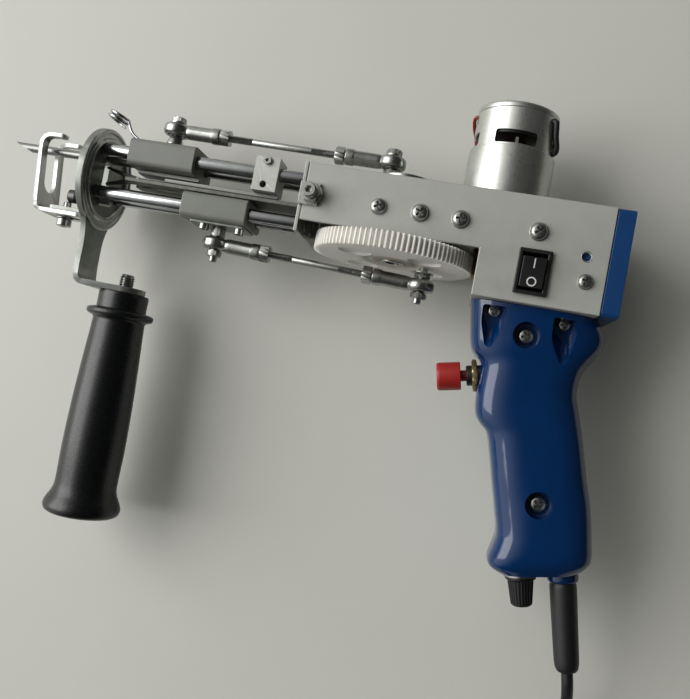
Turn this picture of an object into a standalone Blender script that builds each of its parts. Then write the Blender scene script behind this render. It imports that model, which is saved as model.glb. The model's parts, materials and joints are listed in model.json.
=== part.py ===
"""Handheld tufting machine, built from separate solid sub-parts.

Units are metres and +Z is up.  The machine lies on its side as it does on a
table: the needle points to -X, the motor stands to +Y and the handles reach
to -Y.  Lengths are set out from a datum on the tube: x is 0 at the front end
of the full-height box, y is 0 at the tube's top face and z is 0 in the
middle plane.  One empty carries the whole machine from that datum to the
table, where the rim of the drive gear is the lowest point.
"""

import math

import bmesh
import bpy
from mathutils import Matrix, Vector

# Clearances shared by the whole machine
GAP = 0.0003
OVERRUN = 0.002

# Square tube: a full-height box behind, a channel open downwards in front
TUBE_DEPTH = 0.050
TUBE_HEIGHT = 0.050
TUBE_WALL = 0.002
BOX_LENGTH = 0.058
CHANNEL_LENGTH = 0.0865
CHANNEL_HEIGHT = 0.028
WIRE_HOLE_LENGTH = 0.018
WIRE_HOLE_WIDTH = 0.012
INDICATOR_HOLE_RADIUS = 0.002
INDICATOR_SETBACK = 0.010
INDICATOR_DROP = 0.0245

# Rear cap
CAP_THICKNESS = 0.008
CAP_CORNER = 0.002
CAP_PLUG_DEPTH = 0.014
CAP_PLUG_WALL = 0.002

# Drive gear and motor pinion
MODULE = 0.0008
GEAR_TEETH = 98
PINION_TEETH = 24
ADDENDUM_SHARE = 1.0
DEDENDUM_SHARE = 1.25
TIP_WIDTH_SHARE = 0.14
ROOT_WIDTH_SHARE = 0.30
GEAR_X = -0.0414
GEAR_WIDTH = 0.0082
GEAR_CLEARANCE = 0.0017
GEAR_POCKET_COUNT = 4
GEAR_POCKET_RADIUS = 0.008
GEAR_POCKET_PITCH_RADIUS = 0.024
GEAR_POCKET_DEPTH = 0.001
SHAFT_RADIUS = 0.004
SHAFT_COLLAR_RADIUS = 0.006
SHAFT_RECESS = 0.001

# Bearing block inside the channel
BLOCK_LENGTH = 0.040
BLOCK_BASE_DROP = 0.0275
BEARING_RADIUS = 0.011
BEARING_WIDTH = 0.007
BLOCK_LIP_RADIUS = 0.0075

# Crank disc on the tube's top
CRANK_DISC_RADIUS = 0.014
CRANK_DISC_THICKNESS = 0.0035
CRANK_DISC_CLEARANCE = 0.001

# Motor
MOTOR_LENGTH = 0.0667
MOTOR_RISE = 0.0455
CAN_RADIUS = 0.0199
CAN_WALL = 0.001
CAN_EDGE = 0.002
FLUX_RADIUS = 0.0210
FLUX_RISE = 0.0235
MOTOR_HOLE_CLEARANCE = 0.0006
END_CAP_HEIGHT = 0.004
END_CAP_EDGE = 0.003
END_CAP_BOSS_RADIUS = 0.006
END_CAP_BOSS_HEIGHT = 0.002
VENT_WIDTH = 0.0195
VENT_HEIGHT = 0.0065
VENT_LIFT = 0.001
MOTOR_SHAFT_RADIUS = 0.0025
ROTOR_RADIUS = 0.015
ROTOR_LENGTH = 0.030
ROTOR_LIFT = 0.012
WINDING_RADIUS = 0.012
WINDING_LENGTH = 0.005
COMMUTATOR_RADIUS = 0.006
COMMUTATOR_LENGTH = 0.009
MOUNT_THICKNESS = 0.002
MOUNT_FLANGE_HEIGHT = 0.010
MOUNT_OVERHANG = 0.0015
PINION_CLEARANCE = 0.001

# Guide rods and front plate
ROD_RADIUS = 0.0034
ROD_HALF_SPACING = 0.0072
UPPER_ROD_DROP = 0.0044
ROD_NOSE = 0.0015
FRONT_PLATE_THICKNESS = 0.0016
FRONT_PLATE_SKIRT = 0.007
FRONT_TAB_LENGTH = 0.008
FRONT_TAB_WIDTH = 0.011
FRONT_TAB_DROP = 0.0155
TAB_BOLT_SETBACK = 0.0045
TAB_BOLT_RADIUS = 0.002
TAB_NUT_RADIUS = 0.0046
TAB_NUT_HEIGHT = 0.0035
TAB_HEAD_RADIUS = 0.0037
TAB_HEAD_HEIGHT = 0.0045

# Stack between the upper and the lower rods
UPPER_SLIDER_HALF_HEIGHT = 0.007
LOWER_SLIDER_HALF_HEIGHT = 0.0065
CARRIER_THICKNESS = 0.002
CAM_THICKNESS = 0.002
CENTRE_PLATE_THICKNESS = 0.002
CARRIER_CAM_CLEARANCE = 0.0012
CAM_PLATE_CLEARANCE = 0.0008
PLATE_SLIDER_CLEARANCE = 0.0007

# Cranks and connecting links
UPPER_CRANK_RADIUS = 0.0091
LOWER_CRANK_RADIUS = 0.016
UPPER_LINK_LENGTH = 0.1162
LOWER_LINK_LENGTH = 0.1085
LINK_BAR_RADIUS = 0.0018
LINK_BAR_GRIP = 0.012
EYE_RADIUS = 0.007
EYE_EDGE_RADIUS = 0.0062
EYE_WIDTH = 0.0066
EYE_CROWN_SHARE = 0.55
SLEEVE_REACH = 0.0245
SLEEVE_RADIUS = 0.0038
SLEEVE_SHOULDER_RADIUS = 0.0043
SLEEVE_START_SHARE = 0.75
SLEEVE_SHOULDER_LENGTH = 0.0035
BOLT_RADIUS = 0.002
BOLT_HEX_RADIUS = 0.004
BOLT_HEX_HEIGHT = 0.0032
BOLT_TAIL = 0.0025
UPPER_FRONT_EYE_RISE = 0.0129
UPPER_REAR_EYE_RISE = 0.0121
LOWER_FRONT_EYE_DROP = 0.043
LOWER_REAR_EYE_DROP = 0.0468
CONE_TOP_RADIUS = 0.0032
CONE_BASE_RADIUS = 0.0046

# Sliders
UPPER_SLIDER_LENGTH = 0.0355
UPPER_PIN_SETBACK = 0.0178
LOWER_SLIDER_LENGTH = 0.035
SLIDER_SIDE_WALL = 0.0036
SLIDER_CORNER = 0.0025
SLIDER_BORE_CLEARANCE = 0.00025
CARRIER_LENGTH = 0.034
CARRIER_FRONT_LAP = 0.003
CARRIER_HALF_WIDTH = 0.005

# Needle
NEEDLE_RADIUS = 0.0023
NEEDLE_BORE_RADIUS = 0.0014
NEEDLE_DROP = 0.0036
NEEDLE_REACH = 0.0715
NEEDLE_TAIL = 0.0125
NEEDLE_TIP_LENGTH = 0.012
NEEDLE_TIP_THICKNESS = 0.0006

# Stop block and cam bar
STOP_LENGTH = 0.0125
STOP_SETBACK = 0.0140
STOP_NEAR = 0.0135
STOP_FAR = -0.001
STOP_RISE = 0.007
STOP_HOLE_RADIUS = 0.00175
STOP_HOLE_DEPTH = 0.006
STOP_HOLE_SETBACK = 0.0057
STOP_HOLE_DROP = 0.0070
CAM_FRONT_REACH = 0.048
CAM_REAR_REACH = 0.0005
CAM_INNER_OFFSET = 0.0036
CAM_WIDTH = 0.0044

# Centre plate
CENTRE_PLATE_HALF_WIDTH = 0.011
CENTRE_SLOT_HALF_WIDTH = 0.003
CENTRE_PLATE_LEAD = 0.0005
CENTRE_SLOT_LENGTH = 0.046
CENTRE_FLANGE_DROP = 0.003

# Scissor blades
BLADE_THICKNESS = 0.0014
BLADE_STEM_LENGTH = 0.008
BLADE_PIVOT_REACH = 0.0315
BLADE_PIVOT_RISE = 0.0012
BLADE_REACH = 0.0185
BLADE_ROOT_WIDTH = 0.0030
BLADE_TIP_WIDTH = 0.0012
BLADE_TAIL = 0.004
BLADE_HALF_ANGLE = math.radians(13.0)
BLADE_PIVOT_RADIUS = 0.0012

# Ring plate: disc with a rear lip, arm and foot
RING_SETBACK = 0.017
RING_RADIUS = 0.027
RING_DROP = 0.0188
RING_OFFSET = -0.002
RING_THICKNESS = 0.003
RING_LIP_OUTER = 0.0236
RING_LIP_INNER = 0.0211
RING_LIP_HEIGHT = 0.0015
ARM_TOP_NEAR = (-0.0405, 0.0115)
ARM_TOP_FAR = (-0.0365, -0.0225)
ARM_NEAR_EDGE = [(-0.047, 0.0072), (-0.056, 0.0058)]
ARM_FAR_EDGE = [(-0.060, -0.0108), (-0.050, -0.0112), (-0.042, -0.0145)]
ARM_BASE_NEAR = 0.0054
ARM_BASE_FAR = -0.0118
FOOT_HALF_WIDTH = 0.0107
STUD_Z = -0.0065
FOOT_DROP = 0.0735
FOOT_STUD_REACH = 0.0235
RING_SLOT_BELOW = 0.012

# Presser foot and its bracket
FORK_REACH = 0.0283
FORK_THICKNESS = 0.002
FORK_LEAN = 0.004
FORK_HALF_WIDTH = 0.011
FORK_SLOT_HALF_WIDTH = 0.0055
FORK_TOP_DROP = 0.0025
FORK_SLOT_DROP = 0.028
FORK_HOOK_LENGTH = 0.0135
FORK_HOOK_WIDTH = 0.0042
FORK_HOOK_THICKNESS = 0.002
FORK_CORNER = 0.003
FOOT_BASE_DROP = 0.0403
FOOT_BASE_THICKNESS = 0.002
FOOT_BASE_HALF_WIDTH = 0.010
FOOT_BASE_LENGTH = 0.0268
FOOT_TRAVEL_FORWARD = 0.007
FOOT_TRAVEL_BACK = 0.001
FOOT_SLOT_HALF_WIDTH = 0.0024
BRACKET_REACH = 0.0211
BRACKET_FLANGE_HEIGHT = 0.009
BRACKET_THICKNESS = 0.002
BRACKET_HALF_WIDTH = 0.009
FOOT_SCREW_REACH = 0.0153
FOOT_SCREW_RADIUS = 0.002
FOOT_SCREW_HEAD_RADIUS = 0.0039
FOOT_SCREW_HEAD_HEIGHT = 0.005
FOOT_SCREW_TAIL = 0.003

# Front handle
HANDLE_LENGTH = 0.1185
HANDLE_PROFILE = [
    (0.0, 0.0130), (0.075, 0.0131), (0.082, 0.0166), (0.094, 0.0175),
    (0.108, 0.0172), (0.118, 0.0140), (0.135, 0.0137), (0.30, 0.0147),
    (0.48, 0.0157), (0.70, 0.0163), (0.87, 0.0161), (0.905, 0.0168),
    (0.945, 0.0192), (0.972, 0.0200), (1.0, 0.0180),
]
HANDLE_STEPS = 28
HANDLE_BORE_DEPTH = 0.020
STUD_RADIUS = 0.004
STUD_RISE = 0.0075

# Rear grip, set out from the middle of the box's underside
GRIP_X = 0.030
GRIP_TILT = math.radians(12.5)
GRIP_LENGTH = 0.124
GRIP_HALF_WIDTH = 0.030
GRIP_HALF_DEPTH = 0.0175
GRIP_WALL = 0.0025
GRIP_FLOOR = 0.005
GRIP_HOLE_DEPTH = 0.010
GRIP_TOP_EXTRA = 0.012
GRIP_SCREW_RECESS_RADIUS = 0.0055
GRIP_SCREW_RECESS_DEPTH = 0.0018
GRIP_POCKET_HALF_WIDTH = 0.0042
GRIP_POCKET_LENGTH = 0.018
GRIP_POCKET_DEPTH = 0.0016
FRONT_EDGE_SHARES = [
    (-0.10, -0.95), (0.04, -0.985), (0.12, -0.995), (0.155, -0.96),
    (0.195, -0.845), (0.24, -0.87), (0.30, -0.925), (0.36, -0.96),
    (0.40, -0.955), (0.43, -0.90), (0.465, -0.80), (0.54, -0.765),
    (0.65, -0.745), (0.76, -0.72), (0.85, -0.715), (0.895, -0.78),
    (0.945, -0.865), (0.975, -0.83), (1.0, -0.68),
]
REAR_EDGE_SHARES = [
    (-0.10, 0.93), (0.03, 0.96), (0.07, 1.03), (0.122, 1.093),
    (0.168, 1.043), (0.21, 0.88), (0.255, 0.72), (0.332, 0.627),
    (0.39, 0.645), (0.52, 0.69), (0.658, 0.72), (0.75, 0.752),
    (0.88, 0.745), (0.955, 0.72), (0.985, 0.62), (1.0, 0.50),
]
DEPTH_SHARES = [
    (-0.10, 1.12), (0.12, 1.12), (0.25, 1.0), (0.45, 0.97),
    (0.70, 0.98), (0.90, 1.03), (0.96, 0.98), (1.0, 0.80),
]
GRIP_STATION_COUNT = 20
GRIP_STATION_EASE_SHARE = 1.35
GRIP_ARC_STEPS = 10
GRIP_SQUARENESS = 2.5
UPPER_RECESS_ALONG_SHARE = 0.105
UPPER_RECESS_ACROSS_SHARE = -0.15
LOWER_RECESS_ALONG_SHARE = 0.735
LOWER_RECESS_ACROSS_SHARE = -0.07
POCKET_ACROSS_SHARES = (-0.60, 0.50)
POCKET_DROP_SHARES = (0.25, 0.30)

# Trigger button
BUTTON_ALONG = 0.0303
BUTTON_CAP_RADIUS = 0.0069
BUTTON_CAP_LENGTH = 0.0117
BUTTON_STEM_RADIUS = 0.0027
BUTTON_TRAVEL = 0.0024
BUTTON_COLLAR_RADIUS = 0.005
BUTTON_COLLAR_LENGTH = 0.0028
BUTTON_NUT_RADIUS = 0.0079
BUTTON_NUT_LENGTH = 0.0025
BUTTON_BODY_RADIUS = 0.0065
BUTTON_BODY_LENGTH = 0.011
BUTTON_FACE_OFFSET = 0.0268
BUTTON_CAVITY_DEPTH = 0.009
BUTTON_CAP_EDGE = 0.0008

# Speed control, knob, gland and strain relief
KNOB_ACROSS = -0.0104
KNOB_LENGTH = 0.0165
KNOB_RADIUS = 0.0080
KNOB_FLANGE_LENGTH = 0.0035
KNOB_TOP_RADIUS = 0.0062
KNOB_END_RADIUS = 0.0050
KNOB_EDGE = 0.0006
POT_RADIUS = 0.0065
POT_LENGTH = 0.009
POT_BUSH_RADIUS = 0.0035
POT_SHAFT_RADIUS = 0.002
POT_SHAFT_LENGTH = 0.010
GLAND_ACROSS = 0.0092
GLAND_RADIUS = 0.0073
GLAND_LENGTH = 0.0050
GLAND_NECK_RADIUS = 0.0048
GLAND_EDGE = 0.0006
RELIEF_RADIUS = 0.0063
RELIEF_END_RADIUS = 0.0058
RELIEF_LENGTH = 0.0415
RELIEF_TIP = 0.003
RELIEF_TIP_EDGE = 0.0008
RELIEF_TIP_RADIUS = 0.0046
RELIEF_MOUTH_RADIUS = 0.0033

# Rocker switch
ROCKER_X = 0.0255
ROCKER_DROP = 0.0355
ROCKER_LENGTH = 0.021
ROCKER_WIDTH = 0.015
ROCKER_BEZEL_LIP = 0.001
ROCKER_WALL = 0.0009
ROCKER_RISE = 0.0016
ROCKER_DEPTH = 0.015
ROCKER_FLOOR = 0.003
PADDLE_RISE = 0.0045
PADDLE_ROUND_RADIUS = 0.0042
PADDLE_VALLEY = 0.0012
ROCKER_TILT = math.radians(8.0)

# Cord, in diameters and turns, and its plug
CORD_RADIUS = 0.00275
COIL_PITCH = 0.0061
COIL_OUTER_RADIUS = 0.0415
COIL_TURNS = 7.25
COIL_POINTS_PER_TURN = 24
COIL_TAIL = 0.024
PLUG_RADIUS = 0.0055
PLUG_LENGTH = 0.030
PLUG_NECK_LENGTH = 0.010
PLUG_NECK_RADII = (0.0036, 0.0041)
PLUG_SHOULDER = 0.0015
PLUG_BARREL_RADIUS = 0.00275
PLUG_BARREL_LENGTH = 0.0095
CORD_POINT_COUNT = 24
COIL_RISE_START_SHARE = 0.25
COIL_RISE_LENGTH_SHARE = 0.5
COIL_TAIL_SHARES = (0.2, 0.4, 0.6, 0.8, 0.9, 1.0)
TAIL_FALL_START_SHARE = 0.3
TAIL_FALL_LENGTH_SHARE = 0.6

# Route of the free cord from the strain relief to the coil, in datum metres
CORD_ROUTE = [
    (0.0761, -0.2152, 0.0), (0.0774, -0.2211, -0.0006), (0.0790, -0.2282, -0.0045),
    (0.0809, -0.2366, -0.0130), (0.0828, -0.2452, -0.0236), (0.0846, -0.2533, -0.0318),
    (0.0865, -0.2619, -0.0359), (0.0885, -0.2709, -0.0369), (0.0906, -0.2804, -0.0369),
    (0.0926, -0.2894, -0.0369),
]

# Thread guide
WIRE_RADIUS = 0.0008
GUIDE_LOOP_RADIUS = 0.0051
GUIDE_LOOP_COUNT = 2
GUIDE_LOOP_PITCH = 0.0022
GUIDE_POINTS_PER_LOOP = 10
GUIDE_EYE_POINTS = 9
GUIDE_EYE_START = math.radians(220.0)
GUIDE_EYE_SWEEP = math.radians(280.0)
GUIDE_EYE_RADIUS = 0.0034
GUIDE_EYELET_REACH = 0.034
GUIDE_EYELET_RISE = 0.0123
GUIDE_TILT = math.radians(65.0)

# Points round a circle, and points along arcs and curves
ROUND_STEPS = 24
FINE_STEPS = 32
ROD_STEPS = 20
NARROW_STEPS = 16
SMALL_STEPS = 12
RING_ARC_STEPS = 30
HALF_CIRCLE_STEPS = 10
CORNER_STEPS = 3
ROUTE_STEPS = 16

# Tidying of the meshes
SHARP_ANGLE = math.radians(32.0)
FLAT_ANGLE = math.radians(1.0)

# Positions worked out from the sizes
HALF_DEPTH = TUBE_DEPTH / 2.0
GEAR_PITCH_RADIUS = GEAR_TEETH * MODULE / 2.0
PINION_PITCH_RADIUS = PINION_TEETH * MODULE / 2.0
GEAR_TIP_RADIUS = GEAR_PITCH_RADIUS + ADDENDUM_SHARE * MODULE
MOTOR_X = GEAR_X + GEAR_PITCH_RADIUS + PINION_PITCH_RADIUS
GEAR_TOP_Y = -(CHANNEL_HEIGHT + GEAR_CLEARANCE)
GEAR_LOW_Y = GEAR_TOP_Y - GEAR_WIDTH
MOTOR_BASE_Y = MOTOR_RISE - MOTOR_LENGTH
CRANK_TOP_Y = CRANK_DISC_CLEARANCE + CRANK_DISC_THICKNESS

UPPER_ROD_Y = -UPPER_ROD_DROP
CARRIER_TOP_Y = UPPER_ROD_Y - UPPER_SLIDER_HALF_HEIGHT - GAP
CAM_TOP_Y = CARRIER_TOP_Y - CARRIER_THICKNESS - CARRIER_CAM_CLEARANCE
CENTRE_TOP_Y = CAM_TOP_Y - CAM_THICKNESS - CAM_PLATE_CLEARANCE
LOWER_SLIDER_TOP_Y = CENTRE_TOP_Y - CENTRE_PLATE_THICKNESS - PLATE_SLIDER_CLEARANCE
LOWER_ROD_Y = LOWER_SLIDER_TOP_Y - LOWER_SLIDER_HALF_HEIGHT

UPPER_REAR_PIN_X = GEAR_X - UPPER_CRANK_RADIUS
LOWER_REAR_PIN_X = GEAR_X + LOWER_CRANK_RADIUS
UPPER_PIN_X = UPPER_REAR_PIN_X - UPPER_LINK_LENGTH
LOWER_PIN_X = LOWER_REAR_PIN_X - LOWER_LINK_LENGTH
UPPER_FRONT_X = UPPER_PIN_X - UPPER_PIN_SETBACK
UPPER_REAR_X = UPPER_FRONT_X + UPPER_SLIDER_LENGTH
LOWER_FRONT_X = LOWER_PIN_X - LOWER_SLIDER_LENGTH / 2.0
LOWER_REAR_X = LOWER_FRONT_X + LOWER_SLIDER_LENGTH

RING_REAR_X = UPPER_FRONT_X - RING_SETBACK
RING_FRONT_X = RING_REAR_X - RING_THICKNESS
FRONT_PLATE_REAR_X = -CHANNEL_LENGTH - GAP
FRONT_PLATE_FRONT_X = FRONT_PLATE_REAR_X - FRONT_PLATE_THICKNESS
BLADE_PIVOT_X = LOWER_FRONT_X - BLADE_PIVOT_REACH
BLADE_PIVOT_Y = CENTRE_TOP_Y + BLADE_PIVOT_RISE
STOP_FRONT_X = UPPER_REAR_X + 2.0 * UPPER_CRANK_RADIUS + STOP_SETBACK
NEEDLE_Y = UPPER_ROD_Y - NEEDLE_DROP
NEEDLE_TIP_X = UPPER_FRONT_X - NEEDLE_REACH
BOX_UNDERSIDE_Y = -TUBE_HEIGHT
FORK_FRONT_X = RING_FRONT_X - FORK_REACH
STUD_X = RING_FRONT_X + FOOT_STUD_REACH
FOOT_LOW_Y = -FOOT_DROP - RING_THICKNESS
HANDLE_TOP_Y = FOOT_LOW_Y - GAP
HANDLE_LOW_Y = HANDLE_TOP_Y - HANDLE_LENGTH
MOTOR_TOP_Y = MOTOR_RISE + END_CAP_BOSS_HEIGHT


def smooth_value(table, at):
    """Value of a table of (place, value) pairs at a place, on a smooth curve."""
    last = len(table) - 1
    for index in range(last):
        if at <= table[index + 1][0] or index == last - 1:
            break
    before = table[max(index - 1, 0)]
    start = table[index]
    end = table[index + 1]
    after = table[min(index + 2, last)]
    span = end[0] - start[0]
    t = min(max((at - start[0]) / span, 0.0), 1.0)
    slope_start = (end[1] - before[1]) / (end[0] - before[0])
    slope_end = (after[1] - start[1]) / (after[0] - start[0])
    h = t * t * (3.0 - 2.0 * t)
    bend_start = t * (1.0 - t) * (1.0 - t) * span * slope_start
    bend_end = t * t * (t - 1.0) * span * slope_end
    return start[1] * (1.0 - h) + end[1] * h + bend_start + bend_end


def grip_point(across, along):
    """Datum x and y of a point given across and along the tilted grip."""
    x = GRIP_X + across * math.cos(GRIP_TILT) + along * math.sin(GRIP_TILT)
    y = BOX_UNDERSIDE_Y + across * math.sin(GRIP_TILT) - along * math.cos(GRIP_TILT)
    return x, y


def grip_reach():
    """Largest datum x of the grip, taken on the stations that are built."""
    reach = 0.0
    for share in grip_shares():
        across = smooth_value(REAR_EDGE_SHARES, share) * GRIP_HALF_WIDTH
        reach = max(reach, grip_point(across, share * GRIP_LENGTH)[0])
    return reach


def grip_shares():
    """Stations along the grip as shares of its length, closer at the end."""
    shares = []
    first = -GRIP_TOP_EXTRA / GRIP_LENGTH
    for index in range(GRIP_STATION_COUNT + 1):
        step = index / GRIP_STATION_COUNT
        eased = 1.0 - (1.0 - step) ** GRIP_STATION_EASE_SHARE
        shares.append(first + (1.0 - first) * eased)
    return shares


ORIGIN_X = (NEEDLE_TIP_X + grip_reach()) / 2.0
ORIGIN_Y = (HANDLE_LOW_Y + MOTOR_TOP_Y) / 2.0
ORIGIN_Z = -GEAR_TIP_RADIUS


# Materials: colour, metallic and roughness
FINISHES = {
    "anodised_aluminium": ((0.42, 0.42, 0.40), 0.85, 0.45),
    "bare_aluminium": ((0.50, 0.50, 0.48), 0.9, 0.5),
    "zinc_plated_steel": ((0.55, 0.56, 0.55), 1.0, 0.32),
    "chromed_steel": ((0.60, 0.61, 0.63), 1.0, 0.12),
    "dark_steel": ((0.06, 0.06, 0.06), 0.9, 0.4),
    "bearing_steel": ((0.45, 0.45, 0.46), 1.0, 0.25),
    "motor_steel": ((0.48, 0.48, 0.46), 1.0, 0.38),
    "white_nylon": ((0.62, 0.60, 0.54), 0.0, 0.42),
    "grey_nylon": ((0.36, 0.36, 0.34), 0.0, 0.5),
    "blue_plastic": ((0.012, 0.070, 0.32), 0.0, 0.22),
    "cap_blue": ((0.006, 0.082, 0.32), 0.0, 0.5),
    "black_plastic": ((0.012, 0.012, 0.012), 0.0, 0.35),
    "black_rubber": ((0.02, 0.02, 0.022), 0.0, 0.6),
    "red_plastic": ((0.55, 0.012, 0.012), 0.0, 0.4),
    "brass": ((0.50, 0.36, 0.13), 1.0, 0.3),
    "copper_rotor": ((0.35, 0.16, 0.08), 0.8, 0.4),
}


def clear_scene():
    """Removes what the file opens with."""
    for thing in list(bpy.data.objects):
        bpy.data.objects.remove(thing, do_unlink=True)


def finish_material(name):
    """Principled material of a named finish, made once."""
    known = bpy.data.materials.get(name)
    if known:
        return known
    colour, metallic, roughness = FINISHES[name]
    material = bpy.data.materials.new(name)
    material.use_nodes = True
    shader = material.node_tree.nodes["Principled BSDF"]
    shader.inputs["Base Color"].default_value = (*colour, 1.0)
    shader.inputs["Metallic"].default_value = metallic
    shader.inputs["Roughness"].default_value = roughness
    material.diffuse_color = (*colour, 1.0)
    return material


def empty(name, parent=None, at=(0.0, 0.0, 0.0), turn=(0.0, 0.0, 0.0)):
    """Empty that carries other objects, used as a datum or a joint axis."""
    holder = bpy.data.objects.new(name, None)
    bpy.context.collection.objects.link(holder)
    holder.parent = parent
    holder.location = at
    holder.rotation_euler = turn
    return holder


def new_mesh(name, points, faces):
    """Closed mesh with its faces turned outwards and its flats kept sharp."""
    shape = bmesh.new()
    corners = [shape.verts.new(point) for point in points]
    for face in faces:
        shape.faces.new([corners[index] for index in face])
    bmesh.ops.recalc_face_normals(shape, faces=shape.faces)
    mesh = bpy.data.meshes.new(name)
    shape.to_mesh(mesh)
    shape.free()
    return mesh


def add(name, mesh, finish, parent, at=(0.0, 0.0, 0.0), turn=(0.0, 0.0, 0.0), smooth=True):
    """Object of one sub-part, placed under its carrier."""
    mesh = mesh.copy()
    mesh.name = name
    mesh.materials.clear()
    mesh.materials.append(finish_material(finish))
    if smooth:
        mesh.shade_smooth()
        mesh.set_sharp_from_angle(angle=SHARP_ANGLE)
    piece = bpy.data.objects.new(name, mesh)
    bpy.context.collection.objects.link(piece)
    piece.parent = parent
    piece.location = at
    piece.rotation_euler = turn
    return piece


def carve(piece, mesh, parent, at=(0.0, 0.0, 0.0), turn=(0.0, 0.0, 0.0), join=False):
    """Cuts a shape out of a sub-part, or joins it on."""
    tool = bpy.data.objects.new(piece.name + "_tool", mesh)
    bpy.context.collection.objects.link(tool)
    tool.parent = parent
    tool.location = at
    tool.rotation_euler = turn
    tool.hide_render = True
    tool.display_type = "WIRE"
    cut = piece.modifiers.new("join" if join else "cut", "BOOLEAN")
    cut.operation = "UNION" if join else "DIFFERENCE"
    cut.solver = "EXACT"
    cut.object = tool
    return tool


def axis_point(axis, u, v, w):
    """Point with w along an axis and u, v across it, in X, Y, Z order."""
    if axis == "X":
        return (w, u, v)
    if axis == "Y":
        return (u, w, v)
    return (u, v, w)


def circle(radius, steps, centre=(0.0, 0.0), start=0.0):
    """Points round a circle."""
    points = []
    for index in range(steps):
        angle = start + 2.0 * math.pi * index / steps
        points.append((centre[0] + radius * math.cos(angle), centre[1] + radius * math.sin(angle)))
    return points


def arc(radius, centre, first, last, steps):
    """Points along an arc, both ends included."""
    points = []
    for index in range(steps + 1):
        angle = first + (last - first) * index / steps
        points.append((centre[0] + radius * math.cos(angle), centre[1] + radius * math.sin(angle)))
    return points


def rounded_rectangle(low, high, corner, steps=CORNER_STEPS):
    """Outline of a rectangle with round corners."""
    quarter = math.pi / 2.0
    inner_low = (low[0] + corner, low[1] + corner)
    inner_high = (high[0] - corner, high[1] - corner)
    points = arc(corner, inner_high, 0.0, quarter, steps)
    points += arc(corner, (inner_low[0], inner_high[1]), quarter, 2.0 * quarter, steps)
    points += arc(corner, inner_low, 2.0 * quarter, 3.0 * quarter, steps)
    points += arc(corner, (inner_high[0], inner_low[1]), 3.0 * quarter, 4.0 * quarter, steps)
    return points


def plate(axis, outline, low, high, holes=()):
    """Solid plate of an outline with holes, thick from low to high."""
    shape = bmesh.new()
    loops = []
    edges = []
    for ring in (outline, *holes):
        corners = [shape.verts.new(axis_point(axis, u, v, low)) for u, v in ring]
        loops.append(corners)
        for index, corner in enumerate(corners):
            edges.append(shape.edges.new((corner, corners[(index + 1) % len(corners)])))
    bmesh.ops.triangle_fill(shape, use_beauty=True, use_dissolve=False, edges=edges)
    floor = list(shape.faces)
    above = {}
    for ring, corners in zip((outline, *holes), loops):
        for (u, v), corner in zip(ring, corners):
            above[corner] = shape.verts.new(axis_point(axis, u, v, high))
    for face in floor:
        shape.faces.new([above[corner] for corner in reversed(face.verts)])
    for corners in loops:
        for index, corner in enumerate(corners):
            other = corners[(index + 1) % len(corners)]
            shape.faces.new((corner, other, above[other], above[corner]))
    bmesh.ops.recalc_face_normals(shape, faces=shape.faces)
    mesh = bpy.data.meshes.new("plate")
    shape.to_mesh(mesh)
    shape.free()
    return mesh


def box(low, high):
    """Plain box between two corners."""
    outline = [(low[0], low[1]), (high[0], low[1]), (high[0], high[1]), (low[0], high[1])]
    return plate("Z", outline, low[2], high[2])


def rod(axis, radius, low, high, steps=ROUND_STEPS, centre=(0.0, 0.0)):
    """Round bar along an axis, its centre given across that axis."""
    return plate(axis, circle(radius, steps, centre), low, high)


def frame_solid(solids, hollows):
    """One body from boxes that are filled and boxes that are then emptied."""
    cuts = [sorted({corner[side] for pair in solids + hollows for corner in pair}) for side in range(3)]
    counts = [len(values) - 1 for values in cuts]

    def middle(cell):
        return [(cuts[side][cell[side]] + cuts[side][cell[side] + 1]) / 2.0 for side in range(3)]

    def inside(pair, point):
        return all(pair[0][side] < point[side] < pair[1][side] for side in range(3))

    filled = set()
    for i in range(counts[0]):
        for j in range(counts[1]):
            for k in range(counts[2]):
                point = middle((i, j, k))
                solid = any(inside(pair, point) for pair in solids)
                if solid and not any(inside(pair, point) for pair in hollows):
                    filled.add((i, j, k))
    shape = bmesh.new()
    corners = {}

    def corner(i, j, k):
        if (i, j, k) not in corners:
            corners[(i, j, k)] = shape.verts.new((cuts[0][i], cuts[1][j], cuts[2][k]))
        return corners[(i, j, k)]

    for i, j, k in sorted(filled):
        sides = {
            (-1, 0, 0): ((0, 0, 0), (0, 0, 1), (0, 1, 1), (0, 1, 0)),
            (1, 0, 0): ((1, 0, 0), (1, 1, 0), (1, 1, 1), (1, 0, 1)),
            (0, -1, 0): ((0, 0, 0), (1, 0, 0), (1, 0, 1), (0, 0, 1)),
            (0, 1, 0): ((0, 1, 0), (0, 1, 1), (1, 1, 1), (1, 1, 0)),
            (0, 0, -1): ((0, 0, 0), (0, 1, 0), (1, 1, 0), (1, 0, 0)),
            (0, 0, 1): ((0, 0, 1), (1, 0, 1), (1, 1, 1), (0, 1, 1)),
        }
        for step, face in sides.items():
            if (i + step[0], j + step[1], k + step[2]) not in filled:
                shape.faces.new([corner(i + di, j + dj, k + dk) for di, dj, dk in face])
    bmesh.ops.dissolve_limit(shape, angle_limit=FLAT_ANGLE, verts=shape.verts, edges=shape.edges)
    bmesh.ops.recalc_face_normals(shape, faces=shape.faces)
    mesh = bpy.data.meshes.new("frame")
    shape.to_mesh(mesh)
    shape.free()
    return mesh


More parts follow.
